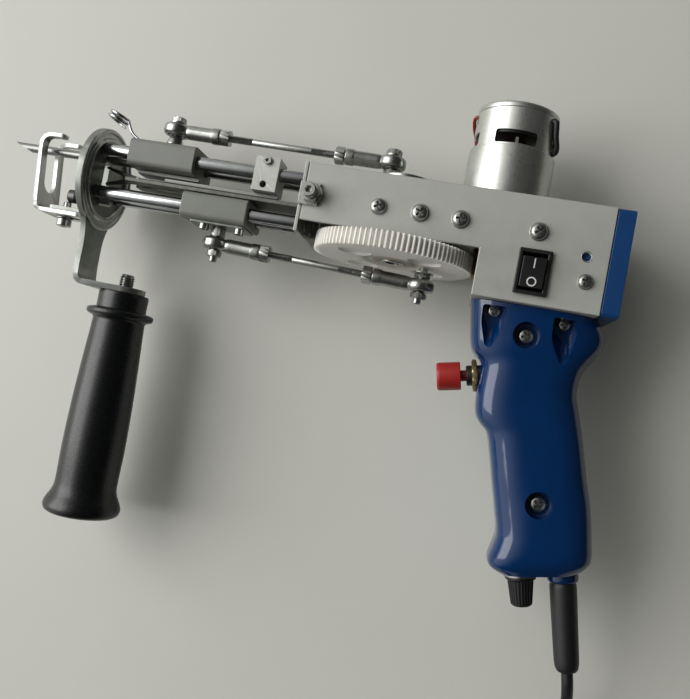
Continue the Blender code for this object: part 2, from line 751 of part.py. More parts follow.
def turned(axis, profile, steps=ROUND_STEPS, closed=False, centre=(0.0, 0.0), hexes=()):
    """Solid of revolution from (radius, height) points along an axis.

    A closed profile makes a ring.  Points listed in hexes are drawn as
    hexagons whose corners lie at the radius.
    """
    points = []
    rings = []
    for place, (radius, height) in enumerate(profile):
        if radius == 0.0:
            rings.append([len(points)])
            points.append(axis_point(axis, centre[0], centre[1], height))
            continue
        ring = []
        for index in range(steps):
            angle = 2.0 * math.pi * index / steps
            reach = radius
            if place in hexes:
                off = (angle + math.pi / 6.0) % (math.pi / 3.0) - math.pi / 6.0
                reach = radius * math.cos(math.pi / 6.0) / math.cos(math.pi / 6.0 - abs(off))
            u = centre[0] + reach * math.cos(angle)
            v = centre[1] + reach * math.sin(angle)
            ring.append(len(points))
            points.append(axis_point(axis, u, v, height))
        rings.append(ring)
    faces = []
    pairs = list(zip(rings, rings[1:]))
    if closed:
        pairs.append((rings[-1], rings[0]))
    for first, second in pairs:
        for index in range(steps):
            other = (index + 1) % steps
            if len(first) == 1 and len(second) == 1:
                continue
            if len(first) == 1:
                faces.append((first[0], second[index], second[other]))
            elif len(second) == 1:
                faces.append((first[index], second[0], first[other]))
            else:
                faces.append((first[index], second[index], second[other], first[other]))
    return new_mesh("turned", points, faces)


def tube_along(name, points, radius, sides, finish, parent):
    """Round tube along a list of points, as a curve with filled ends."""
    curve = bpy.data.curves.new(name, "CURVE")
    curve.dimensions = "3D"
    curve.bevel_depth = radius
    curve.bevel_resolution = sides
    curve.use_fill_caps = True
    spline = curve.splines.new("POLY")
    spline.points.add(len(points) - 1)
    for slot, point in zip(spline.points, points):
        slot.co = (*point, 1.0)
    curve.materials.append(finish_material(finish))
    piece = bpy.data.objects.new(name, curve)
    bpy.context.collection.objects.link(piece)
    piece.parent = parent
    return piece


def gear_outline(teeth, phase):
    """Outline of a spur gear with straight-sided teeth."""
    pitch_radius = teeth * MODULE / 2.0
    tip = pitch_radius + ADDENDUM_SHARE * MODULE
    root = pitch_radius - DEDENDUM_SHARE * MODULE
    tooth_angle = 2.0 * math.pi / teeth
    points = []
    for index in range(teeth):
        middle = phase + index * tooth_angle
        flank = (
            (root, -ROOT_WIDTH_SHARE), (tip, -TIP_WIDTH_SHARE),
            (tip, TIP_WIDTH_SHARE), (root, ROOT_WIDTH_SHARE),
        )
        for radius, share in flank:
            angle = middle + share * tooth_angle
            points.append((radius * math.cos(angle), radius * math.sin(angle)))
    return points


def loft(sections):
    """Solid through closed sections of equal point count, ends filled."""
    points = []
    faces = []
    count = len(sections[0])
    for section in sections:
        points.extend(section)
    for index in range(len(sections) - 1):
        base = index * count
        for place in range(count):
            other = (place + 1) % count
            faces.append((base + place, base + other, base + count + other, base + count + place))
    faces.append(tuple(range(count)))
    last = (len(sections) - 1) * count
    faces.append(tuple(range(last, last + count)))
    return new_mesh("loft", points, faces)


def build_tube(machine):
    """Square tube, rear cap and the parts fixed on its near face."""
    inner_top = -TUBE_WALL
    inner_low = -TUBE_HEIGHT + TUBE_WALL
    inner_depth = HALF_DEPTH - TUBE_WALL
    solids = [
        ((0.0, -TUBE_HEIGHT, -HALF_DEPTH), (BOX_LENGTH, 0.0, HALF_DEPTH)),
        ((-CHANNEL_LENGTH, -CHANNEL_HEIGHT, -HALF_DEPTH), (0.0, 0.0, HALF_DEPTH)),
    ]
    body_half_width = ROCKER_WIDTH / 2.0 - ROCKER_BEZEL_LIP + GAP
    body_half_length = ROCKER_LENGTH / 2.0 - ROCKER_BEZEL_LIP + GAP
    hollows = [
        (
            (-CHANNEL_LENGTH - OVERRUN, inner_low, -inner_depth),
            (BOX_LENGTH + OVERRUN, inner_top, inner_depth),
        ),
        (
            (ROCKER_X - body_half_width, -ROCKER_DROP - body_half_length, 0.0),
            (ROCKER_X + body_half_width, -ROCKER_DROP + body_half_length, HALF_DEPTH + OVERRUN),
        ),
        (
            (GRIP_X - WIRE_HOLE_LENGTH / 2.0, -TUBE_HEIGHT - OVERRUN, -WIRE_HOLE_WIDTH / 2.0),
            (GRIP_X + WIRE_HOLE_LENGTH / 2.0, inner_low + OVERRUN, WIRE_HOLE_WIDTH / 2.0),
        ),
    ]
    tube = add("main_tube", frame_solid(solids, hollows), "anodised_aluminium", machine, smooth=False)
    roof = (inner_top - OVERRUN, OVERRUN)
    carve(tube, rod("Y", CAN_RADIUS + MOTOR_HOLE_CLEARANCE, *roof, FINE_STEPS, (MOTOR_X, 0.0)), machine)
    carve(tube, rod("Y", BLOCK_LIP_RADIUS, *roof, ROUND_STEPS, (GEAR_X, 0.0)), machine)
    hole_centre = (BOX_LENGTH - INDICATOR_SETBACK, -INDICATOR_DROP)
    wall = (inner_depth - OVERRUN, HALF_DEPTH + OVERRUN)
    carve(tube, rod("Z", INDICATOR_HOLE_RADIUS, *wall, SMALL_STEPS, hole_centre), machine)

    cap_low = BOX_LENGTH + GAP
    outline = rounded_rectangle((-TUBE_HEIGHT, -HALF_DEPTH), (0.0, HALF_DEPTH), CAP_CORNER)
    cap = add("rear_cap", plate("X", outline, cap_low, cap_low + CAP_THICKNESS), "cap_blue", machine)
    rim_low = BOX_LENGTH - CAP_PLUG_DEPTH
    rim = frame_solid(
        [(
            (rim_low, inner_low + GAP, -inner_depth + GAP),
            (cap_low + CAP_THICKNESS / 2.0, inner_top - GAP, inner_depth - GAP),
        )],
        [(
            (rim_low - OVERRUN, inner_low + GAP + CAP_PLUG_WALL, -inner_depth + GAP + CAP_PLUG_WALL),
            (cap_low, inner_top - GAP - CAP_PLUG_WALL, inner_depth - GAP - CAP_PLUG_WALL),
        )],
    )
    carve(cap, rim, machine, join=True)


def build_rods_and_plates(machine):
    """Guide rods, front plate, ring plate and the plate between the rods."""
    places = {}
    for level, y in (("upper", UPPER_ROD_Y), ("lower", LOWER_ROD_Y)):
        for side, z in (("near", ROD_HALF_SPACING), ("far", -ROD_HALF_SPACING)):
            places[f"{level}_rod_{side}"] = (y, z)
    start = RING_FRONT_X - ROD_NOSE
    end = FRONT_PLATE_REAR_X
    for name, centre in places.items():
        add(name, rod("X", ROD_RADIUS, start, end, ROD_STEPS, centre), "chromed_steel", machine)

    skirt_y = LOWER_ROD_Y - FRONT_PLATE_SKIRT
    outline = [(skirt_y, -HALF_DEPTH), (0.0, -HALF_DEPTH), (0.0, HALF_DEPTH), (skirt_y, HALF_DEPTH)]
    holes = [circle(ROD_RADIUS + GAP, ROD_STEPS, centre) for centre in places.values()]
    front = plate("X", outline, FRONT_PLATE_FRONT_X, FRONT_PLATE_REAR_X, holes)
    front = add("front_plate", front, "zinc_plated_steel", machine, smooth=False)
    tab_top = -FRONT_TAB_DROP + FRONT_TAB_WIDTH / 2.0
    tab_low = -FRONT_TAB_DROP - FRONT_TAB_WIDTH / 2.0
    tab_inner = HALF_DEPTH + GAP
    tab_outer = tab_inner + FRONT_PLATE_THICKNESS
    tab_end = FRONT_PLATE_REAR_X + FRONT_TAB_LENGTH
    tab = frame_solid(
        [
            ((FRONT_PLATE_FRONT_X, tab_low, tab_inner), (tab_end, tab_top, tab_outer)),
            (
                (FRONT_PLATE_FRONT_X, tab_low, HALF_DEPTH - OVERRUN),
                (FRONT_PLATE_REAR_X, tab_top, tab_outer),
            ),
        ],
        [],
    )
    carve(front, tab, machine, join=True)
    bolt_x = FRONT_PLATE_REAR_X + TAB_BOLT_SETBACK
    seat = tab_outer + GAP
    bolt = turned("Z", [
        (0.0, seat), (TAB_NUT_RADIUS, seat), (TAB_NUT_RADIUS, seat + TAB_NUT_HEIGHT),
        (TAB_HEAD_RADIUS, seat + TAB_NUT_HEIGHT),
        (TAB_HEAD_RADIUS, seat + TAB_NUT_HEIGHT + TAB_HEAD_HEIGHT),
        (TAB_BOLT_RADIUS, seat + TAB_NUT_HEIGHT + TAB_HEAD_HEIGHT),
        (TAB_BOLT_RADIUS, seat + TAB_NUT_HEIGHT + TAB_HEAD_HEIGHT / 2.0),
        (0.0, seat + TAB_NUT_HEIGHT + TAB_HEAD_HEIGHT / 2.0),
    ], SMALL_STEPS, centre=(bolt_x, -FRONT_TAB_DROP), hexes=(1, 2))
    add("front_plate_bolt", bolt, "zinc_plated_steel", machine)

    centre_ring = (-RING_DROP, RING_OFFSET)
    far_turn, near_turn = [
        math.atan2(z - RING_OFFSET, y + RING_DROP) for y, z in (ARM_TOP_FAR, ARM_TOP_NEAR)
    ]
    outline = arc(RING_RADIUS, centre_ring, far_turn, near_turn, RING_ARC_STEPS)
    outline += ARM_NEAR_EDGE
    outline.append((FOOT_LOW_Y, ARM_BASE_NEAR))
    outline.append((FOOT_LOW_Y, ARM_BASE_FAR))
    outline += ARM_FAR_EDGE
    needle_slot = rounded_rectangle(
        (CENTRE_TOP_Y - RING_SLOT_BELOW + CENTRE_PLATE_THICKNESS, -NEEDLE_RADIUS - GAP),
        (NEEDLE_Y + NEEDLE_RADIUS + GAP, NEEDLE_RADIUS + GAP),
        NEEDLE_RADIUS,
    )
    holes = [circle(ROD_RADIUS + GAP, ROD_STEPS, centre) for centre in places.values()]
    disc = plate("X", outline, RING_FRONT_X, RING_REAR_X, [needle_slot, *holes])
    ring = add("ring_plate", disc, "zinc_plated_steel", machine)
    lip_base = RING_REAR_X - RING_THICKNESS / 2.0
    lip = turned("X", [
        (RING_LIP_INNER, lip_base), (RING_LIP_OUTER, lip_base),
        (RING_LIP_OUTER, RING_REAR_X + RING_LIP_HEIGHT / 2.0),
        ((RING_LIP_OUTER + RING_LIP_INNER) / 2.0, RING_REAR_X + RING_LIP_HEIGHT),
        (RING_LIP_INNER, RING_REAR_X + RING_LIP_HEIGHT / 2.0),
    ], FINE_STEPS, True, centre_ring)
    carve(ring, lip, machine, join=True)
    foot = arc(FOOT_HALF_WIDTH, (STUD_X, STUD_Z), -math.pi / 2.0, math.pi / 2.0, SMALL_STEPS)
    foot.append((RING_FRONT_X, ARM_BASE_NEAR))
    foot.append((RING_FRONT_X, ARM_BASE_FAR))
    stud_hole = [circle(STUD_RADIUS + GAP, ROUND_STEPS, (STUD_X, STUD_Z))]
    carve(ring, plate("Y", foot, FOOT_LOW_Y, -FOOT_DROP, stud_hole), machine, join=True)

    plate_front = UPPER_FRONT_X - CENTRE_PLATE_LEAD
    plate_rear = FRONT_PLATE_FRONT_X - GAP
    slot_end = plate_front + CENTRE_SLOT_LENGTH
    low = CENTRE_TOP_Y - CENTRE_PLATE_THICKNESS
    middle = frame_solid(
        [
            (
                (plate_front, low, -CENTRE_PLATE_HALF_WIDTH),
                (plate_rear, CENTRE_TOP_Y, CENTRE_PLATE_HALF_WIDTH),
            ),
            (
                (plate_rear - CENTRE_PLATE_THICKNESS, low - CENTRE_FLANGE_DROP, -CENTRE_PLATE_HALF_WIDTH),
                (plate_rear, low, CENTRE_PLATE_HALF_WIDTH),
            ),
        ],
        [
            (
                (plate_front - OVERRUN, low - OVERRUN, -CENTRE_SLOT_HALF_WIDTH),
                (slot_end, CENTRE_TOP_Y + OVERRUN, CENTRE_SLOT_HALF_WIDTH),
            ),
        ],
    )
    add("centre_plate", middle, "bare_aluminium", machine, smooth=False)


def build_motor(machine, rotor_axis):
    """Motor, its mount and the pinion that drives the gear."""
    centre = (MOTOR_X, 0.0)
    base = MOTOR_BASE_Y
    rim = MOTOR_RISE - END_CAP_HEIGHT
    inner = CAN_RADIUS - CAN_WALL
    hole = MOTOR_SHAFT_RADIUS + GAP
    can = turned("Y", [
        (hole, base), (CAN_RADIUS - CAN_EDGE, base), (CAN_RADIUS, base + CAN_EDGE),
        (CAN_RADIUS, rim), (inner, rim), (inner, base + CAN_EDGE),
        (inner - CAN_EDGE, base + CAN_WALL), (hole, base + CAN_WALL),
    ], FINE_STEPS, True, centre)
    can = add("motor_can", can, "motor_steel", machine)
    vent_low = FLUX_RISE + VENT_LIFT
    reach = CAN_RADIUS + OVERRUN
    half = VENT_WIDTH / 2.0
    vent = frame_solid(
        [
            ((MOTOR_X - half, vent_low, -reach), (MOTOR_X + half, vent_low + VENT_HEIGHT, reach)),
            ((MOTOR_X - reach, vent_low, -half), (MOTOR_X + reach, vent_low + VENT_HEIGHT, half)),
        ],
        [],
    )
    carve(can, vent, machine)
    flux = turned("Y", [
        (CAN_RADIUS + GAP, GAP), (FLUX_RADIUS, GAP), (FLUX_RADIUS, FLUX_RISE), (CAN_RADIUS + GAP, FLUX_RISE),
    ], FINE_STEPS, True, centre)
    add("flux_ring", flux, "motor_steel", machine)
    lid_low = rim + GAP
    cap = turned("Y", [
        (0.0, lid_low), (CAN_RADIUS, lid_low), (CAN_RADIUS, MOTOR_RISE - END_CAP_EDGE / 2.0),
        (CAN_RADIUS - END_CAP_EDGE / 3.0, MOTOR_RISE - END_CAP_EDGE / 6.0),
        (CAN_RADIUS - END_CAP_EDGE, MOTOR_RISE), (END_CAP_BOSS_RADIUS, MOTOR_RISE),
        (END_CAP_BOSS_RADIUS, MOTOR_TOP_Y), (0.0, MOTOR_TOP_Y),
    ], FINE_STEPS, False, centre)
    add("motor_end_cap", cap, "motor_steel", machine)

    core_low = base + ROTOR_LIFT
    core_top = core_low + ROTOR_LENGTH
    winding_top = core_top + WINDING_LENGTH
    shaft = MOTOR_SHAFT_RADIUS
    rotor = turned("Y", [
        (0.0, GEAR_LOW_Y), (shaft, GEAR_LOW_Y), (shaft, core_low - WINDING_LENGTH),
        (WINDING_RADIUS, core_low - WINDING_LENGTH), (WINDING_RADIUS, core_low),
        (ROTOR_RADIUS, core_low), (ROTOR_RADIUS, core_top), (WINDING_RADIUS, core_top),
        (WINDING_RADIUS, winding_top), (COMMUTATOR_RADIUS, winding_top),
        (COMMUTATOR_RADIUS, winding_top + COMMUTATOR_LENGTH),
        (shaft, winding_top + COMMUTATOR_LENGTH), (shaft, rim), (0.0, rim),
    ], ROUND_STEPS)
    add("motor_rotor", rotor, "copper_rotor", rotor_axis)

    mount_top = base - GAP
    mount_low = mount_top - MOUNT_THICKNESS
    mount_half = CAN_RADIUS + MOUNT_OVERHANG
    depth = HALF_DEPTH - TUBE_WALL - GAP
    flange_top = mount_low + MOUNT_FLANGE_HEIGHT
    near = (MOTOR_X - mount_half, MOTOR_X + mount_half)
    mount = frame_solid(
        [((near[0], mount_low, -depth), (near[1], flange_top, depth))],
        [(
            (near[0] - OVERRUN, mount_top, -depth + MOUNT_THICKNESS),
            (near[1] + OVERRUN, flange_top + OVERRUN, depth - MOUNT_THICKNESS),
        )],
    )
    mount = add("motor_mount", mount, "zinc_plated_steel", machine, smooth=False)
    pinion_reach = PINION_PITCH_RADIUS
    cut = rod("Y", pinion_reach, mount_low - OVERRUN, mount_top + OVERRUN, ROUND_STEPS, centre)
    carve(mount, cut, machine)

    pinion_top = mount_low - PINION_CLEARANCE
    bore = [circle(MOTOR_SHAFT_RADIUS + GAP, SMALL_STEPS)]
    pinion = plate("Y", gear_outline(PINION_TEETH, math.pi), GEAR_LOW_Y, pinion_top, bore)
    add("motor_pinion", pinion, "brass", rotor_axis)


def build_gear_train(machine, gear_axis):
    """Bearing block, bearings, drive gear, shaft and crank disc."""
    depth = HALF_DEPTH - TUBE_WALL - GAP
    half = BLOCK_LENGTH / 2.0
    top = -TUBE_WALL - GAP
    low = -BLOCK_BASE_DROP
    outline = [
        (GEAR_X - half, -depth), (GEAR_X + half, -depth), (GEAR_X + half, depth), (GEAR_X - half, depth),
    ]
    bore = [circle(BEARING_RADIUS + GAP, ROUND_STEPS, (GEAR_X, 0.0))]
    add("bearing_block", plate("Y", outline, low, top, bore), "bare_aluminium", machine)
    inner = SHAFT_RADIUS + GAP
    for name, base in (("upper_bearing", top - BEARING_WIDTH), ("lower_bearing", low)):
        ring = turned("Y", [
            (inner, base), (BEARING_RADIUS, base), (BEARING_RADIUS, base + BEARING_WIDTH),
            (inner, base + BEARING_WIDTH),
        ], ROUND_STEPS, True, (GEAR_X, 0.0))
        add(name, ring, "bearing_steel", machine)

    gear = plate(
        "Y", gear_outline(GEAR_TEETH, -math.pi / 2.0), GEAR_LOW_Y, GEAR_TOP_Y, [circle(inner, ROUND_STEPS)]
    )
    gear = add("drive_gear", gear, "white_nylon", gear_axis)
    for index in range(GEAR_POCKET_COUNT):
        angle = 2.0 * math.pi * (index + 0.5) / GEAR_POCKET_COUNT
        place = (GEAR_POCKET_PITCH_RADIUS * math.cos(angle), GEAR_POCKET_PITCH_RADIUS * math.sin(angle))
        floor = GEAR_LOW_Y + GEAR_POCKET_DEPTH
        pocket = rod("Y", GEAR_POCKET_RADIUS, GEAR_LOW_Y - OVERRUN, floor, NARROW_STEPS, place)
        carve(gear, pocket, gear_axis)
    shaft_low = GEAR_LOW_Y + SHAFT_RECESS
    shaft_top = CRANK_TOP_Y - GAP
    collar_low = (GEAR_TOP_Y + GAP, low - GAP)
    collar_high = (-TUBE_WALL, CRANK_DISC_CLEARANCE - GAP)
    shaft = turned("Y", [
        (0.0, shaft_low), (SHAFT_RADIUS, shaft_low), (SHAFT_RADIUS, collar_low[0]),
        (SHAFT_COLLAR_RADIUS, collar_low[0]), (SHAFT_COLLAR_RADIUS, collar_low[1]),
        (SHAFT_RADIUS, collar_low[1]), (SHAFT_RADIUS, collar_high[0]),
        (SHAFT_COLLAR_RADIUS, collar_high[0]), (SHAFT_COLLAR_RADIUS, collar_high[1]),
        (SHAFT_RADIUS, collar_high[1]), (SHAFT_RADIUS, shaft_top), (0.0, shaft_top),
    ], ROUND_STEPS)
    add("gear_shaft", shaft, "dark_steel", gear_axis)
    disc = turned("Y", [
        (inner, CRANK_DISC_CLEARANCE), (CRANK_DISC_RADIUS, CRANK_DISC_CLEARANCE),
        (CRANK_DISC_RADIUS, CRANK_TOP_Y), (inner, CRANK_TOP_Y),
    ], ROUND_STEPS, True)
    add("crank_disc", disc, "zinc_plated_steel", gear_axis)


def rod_end_mesh():
    """Eye of a rod end round its bolt, axis along Y, sleeve towards +X."""
    half = EYE_WIDTH / 2.0
    crown = half * EYE_CROWN_SHARE
    bore = BOLT_RADIUS + GAP
    return turned("Y", [
        (bore, -half), (EYE_EDGE_RADIUS, -half), (EYE_RADIUS, -crown),
        (EYE_RADIUS, crown), (EYE_EDGE_RADIUS, half), (bore, half),
    ], ROUND_STEPS, True)


def add_rod_end(name, carrier, at_x, turn):
    """Rod end at a place along its link."""
    place = (at_x, 0.0, 0.0)
    heading = (0.0, 0.0, turn)
    end = add(name, rod_end_mesh(), "zinc_plated_steel", carrier, place, heading)
    neck = EYE_RADIUS * SLEEVE_START_SHARE
    shoulder = SLEEVE_REACH - SLEEVE_SHOULDER_LENGTH
    sleeve = turned("X", [
        (0.0, neck), (SLEEVE_RADIUS, neck), (SLEEVE_RADIUS, shoulder),
        (SLEEVE_SHOULDER_RADIUS, shoulder), (SLEEVE_SHOULDER_RADIUS, SLEEVE_REACH), (0.0, SLEEVE_REACH),
    ], SMALL_STEPS)
    carve(end, sleeve, carrier, place, heading, join=True)
    bore = rod(
        "X", LINK_BAR_RADIUS + GAP, SLEEVE_REACH - LINK_BAR_GRIP - GAP, SLEEVE_REACH + OVERRUN, SMALL_STEPS
    )
    carve(end, bore, carrier, place, heading)
    return end


def bolt_mesh(levels, centre=(0.0, 0.0)):
    """Bolt along Y from (radius, y, hexagon) levels, lowest first."""
    hexes = [index for index, level in enumerate(levels) if level[2]]
    profile = [(0.0, levels[0][1])]
    profile += [(radius, y) for radius, y, _ in levels]
    profile.append((0.0, levels[-1][1]))
    return turned("Y", profile, SMALL_STEPS, centre=centre, hexes=[index + 1 for index in hexes])


def build_link(name, swing, length):
    """Connecting link in its own frame: front eye at zero, rear eye at its length."""
    add_rod_end(f"{name}_front_rod_end", swing, 0.0, 0.0)
    add_rod_end(f"{name}_rear_rod_end", swing, length, math.pi)
    inset = SLEEVE_REACH - LINK_BAR_GRIP
    bar = rod("X", LINK_BAR_RADIUS, inset, length - inset, SMALL_STEPS)
    add(f"{name}_link_rod", bar, "zinc_plated_steel", swing)


def build_upper_carriage(carriage):
    """Upper slider with needle, carrier plate, thread guide and pivot bolt."""
    half_depth = ROD_HALF_SPACING + ROD_RADIUS + SLIDER_SIDE_WALL
    top = UPPER_ROD_Y + UPPER_SLIDER_HALF_HEIGHT
    low = UPPER_ROD_Y - UPPER_SLIDER_HALF_HEIGHT
    outline = rounded_rectangle((low, -half_depth), (top, half_depth), SLIDER_CORNER)
    bore = ROD_RADIUS + SLIDER_BORE_CLEARANCE
    holes = [circle(bore, ROD_STEPS, (UPPER_ROD_Y, z)) for z in (-ROD_HALF_SPACING, ROD_HALF_SPACING)]
    slider = plate("X", outline, UPPER_FRONT_X, UPPER_REAR_X, holes)
    slider = add("upper_slider", slider, "grey_nylon", carriage)
    needle_rear = UPPER_FRONT_X + NEEDLE_TAIL
    socket = rod(
        "X", NEEDLE_RADIUS + GAP, UPPER_FRONT_X - OVERRUN, needle_rear + GAP, SMALL_STEPS, (NEEDLE_Y, 0.0)
    )
    carve(slider, socket, carriage)
    needle = turned("X", [
        (NEEDLE_BORE_RADIUS, NEEDLE_TIP_X), (NEEDLE_RADIUS, NEEDLE_TIP_X),
        (NEEDLE_RADIUS, needle_rear), (NEEDLE_BORE_RADIUS, needle_rear),
    ], NARROW_STEPS, True, (NEEDLE_Y, 0.0))
    needle = add("needle", needle, "chromed_steel", carriage)
    rake = NEEDLE_TIP_X - OVERRUN
    tip_y = NEEDLE_Y + NEEDLE_RADIUS - NEEDLE_TIP_THICKNESS
    low_y = NEEDLE_Y - NEEDLE_RADIUS - OVERRUN
    slope = (tip_y - low_y) / NEEDLE_TIP_LENGTH
    wedge = [
        (rake, tip_y + slope * OVERRUN), (NEEDLE_TIP_X + NEEDLE_TIP_LENGTH, low_y), (rake, low_y),
    ]
    carve(needle, plate("Z", wedge, -NEEDLE_RADIUS - OVERRUN, NEEDLE_RADIUS + OVERRUN), carriage)

    carrier_front = UPPER_FRONT_X + CARRIER_FRONT_LAP
    carrier = box(
        (carrier_front, CARRIER_TOP_Y - CARRIER_THICKNESS, -CARRIER_HALF_WIDTH),
        (carrier_front + CARRIER_LENGTH, CARRIER_TOP_Y, CARRIER_HALF_WIDTH),
    )
    add("needle_carrier_plate", carrier, "dark_steel", carriage, smooth=False)

    washer_low = top + 2.0 * WIRE_RADIUS + 2.0 * GAP
    eye_low = UPPER_FRONT_EYE_RISE - EYE_WIDTH / 2.0
    eye_high = UPPER_FRONT_EYE_RISE + EYE_WIDTH / 2.0
    hex_low = eye_high + GAP
    hex_high = hex_low + BOLT_HEX_HEIGHT
    bolt = bolt_mesh([
        (BOLT_RADIUS, top + GAP, False), (BOLT_RADIUS, washer_low, False),
        (CONE_BASE_RADIUS, washer_low, False), (CONE_TOP_RADIUS, eye_low - GAP, False),
        (BOLT_RADIUS, eye_low - GAP, False), (BOLT_RADIUS, hex_low, False),
        (BOLT_HEX_RADIUS, hex_low, True), (BOLT_HEX_RADIUS, hex_high, True),
    ], (UPPER_PIN_X, 0.0))
    add("upper_front_bolt", bolt, "zinc_plated_steel", carriage)

    wire_y = top + WIRE_RADIUS + GAP
    points = []
    for index in range(GUIDE_EYE_POINTS):
        angle = GUIDE_EYE_START + GUIDE_EYE_SWEEP * index / (GUIDE_EYE_POINTS - 1)
        points.append((
            UPPER_PIN_X + GUIDE_EYE_RADIUS * math.cos(angle), wire_y, GUIDE_EYE_RADIUS * math.sin(angle),
        ))
    points.reverse()
    eyelet = Vector((UPPER_PIN_X - GUIDE_EYELET_REACH, top + GUIDE_EYELET_RISE, 0.0))
    bend = Vector((UPPER_FRONT_X - WIRE_RADIUS, wire_y, 0.0))
    points.append((UPPER_PIN_X - 2.0 * GUIDE_EYE_RADIUS, wire_y, 0.0))
    points.append(tuple(bend))
    tilt = Matrix.Rotation(GUIDE_TILT, 3, "Z")
    total = GUIDE_LOOP_COUNT * GUIDE_POINTS_PER_LOOP
    for index in range(total + 1):
        angle = -math.pi / 2.0 + 2.0 * math.pi * index / GUIDE_POINTS_PER_LOOP
        along = GUIDE_LOOP_PITCH * (GUIDE_LOOP_COUNT / 2.0 - index / GUIDE_POINTS_PER_LOOP)
        loop = Vector((along, GUIDE_LOOP_RADIUS * math.sin(angle), GUIDE_LOOP_RADIUS * math.cos(angle)))
        points.append(tuple(eyelet + tilt @ loop))
    tube_along("thread_guide", points, WIRE_RADIUS, 1, "chromed_steel", carriage)
    wire_gap = GUIDE_LOOP_PITCH - 2.0 * WIRE_RADIUS
    print(f"thread guide: least gap between loops {wire_gap * 1000.0:.2f} mm")


def blade_outline():
    """Swinging blade about its pivot, wide at the pivot and narrow at the tip."""
    root = BLADE_ROOT_WIDTH / 2.0
    tip = BLADE_TIP_WIDTH / 2.0
    return [
        (BLADE_TAIL, -root), (BLADE_TAIL, root), (-root, root),
        (-BLADE_REACH, tip), (-BLADE_REACH, -tip), (-root, -root),
    ]


def build_lower_carriage(carriage, blade_swing):
    """Lower slider with the two scissor blades and the pivot bolt."""
    half_depth = ROD_HALF_SPACING + ROD_RADIUS + SLIDER_SIDE_WALL
    top = LOWER_ROD_Y + LOWER_SLIDER_HALF_HEIGHT
    low = LOWER_ROD_Y - LOWER_SLIDER_HALF_HEIGHT
    outline = rounded_rectangle((low, -half_depth), (top, half_depth), SLIDER_CORNER)
    bore = ROD_RADIUS + SLIDER_BORE_CLEARANCE
    holes = [circle(bore, ROD_STEPS, (LOWER_ROD_Y, z)) for z in (-ROD_HALF_SPACING, ROD_HALF_SPACING)]
    slider = plate("X", outline, LOWER_FRONT_X, LOWER_REAR_X, holes)
    add("lower_slider", slider, "grey_nylon", carriage)

    root = BLADE_ROOT_WIDTH / 2.0
    tip = BLADE_TIP_WIDTH / 2.0
    stem_front = LOWER_FRONT_X + GAP
    stem_rear = LOWER_FRONT_X + BLADE_STEM_LENGTH
    tip_x = BLADE_PIVOT_X - BLADE_REACH * math.cos(BLADE_HALF_ANGLE)
    tip_y = BLADE_PIVOT_Y - BLADE_REACH * math.sin(BLADE_HALF_ANGLE)
    outline = [
        (stem_rear, top + GAP), (stem_rear, BLADE_PIVOT_Y + root),
        (BLADE_PIVOT_X - root, BLADE_PIVOT_Y + root),
        (tip_x, tip_y + tip), (tip_x, tip_y - tip), (BLADE_PIVOT_X, BLADE_PIVOT_Y - root),
        (stem_front, BLADE_PIVOT_Y - root), (stem_front, top + GAP),
    ]
    pivot_hole = [circle(BLADE_PIVOT_RADIUS, SMALL_STEPS, (BLADE_PIVOT_X, BLADE_PIVOT_Y))]
    fixed = plate("Z", outline, -BLADE_THICKNESS - GAP / 2.0, -GAP / 2.0, pivot_hole)
    add("fixed_blade", fixed, "dark_steel", carriage)
    pivot_hole = [circle(BLADE_PIVOT_RADIUS, SMALL_STEPS)]
    moving = plate("Z", blade_outline(), GAP / 2.0, BLADE_THICKNESS + GAP / 2.0, pivot_hole)
    moving.transform(Matrix.Rotation(-BLADE_HALF_ANGLE, 4, "Z"))
    add("moving_blade", moving, "dark_steel", blade_swing)

    eye_low = -LOWER_FRONT_EYE_DROP - EYE_WIDTH / 2.0
    eye_high = -LOWER_FRONT_EYE_DROP + EYE_WIDTH / 2.0
    nut_low = eye_low - GAP - BOLT_HEX_HEIGHT
    bolt = bolt_mesh([
        (BOLT_RADIUS, nut_low - BOLT_TAIL, False), (BOLT_RADIUS, nut_low, False),
        (BOLT_HEX_RADIUS, nut_low, True), (BOLT_HEX_RADIUS, eye_low - GAP, True),
        (BOLT_RADIUS, eye_low - GAP, False), (BOLT_RADIUS, eye_high + GAP, False),
        (BOLT_HEX_RADIUS, eye_high + GAP, True), (BOLT_HEX_RADIUS, low - GAP, True),
    ], (LOWER_PIN_X, 0.0))
    add("lower_front_bolt", bolt, "zinc_plated_steel", carriage)


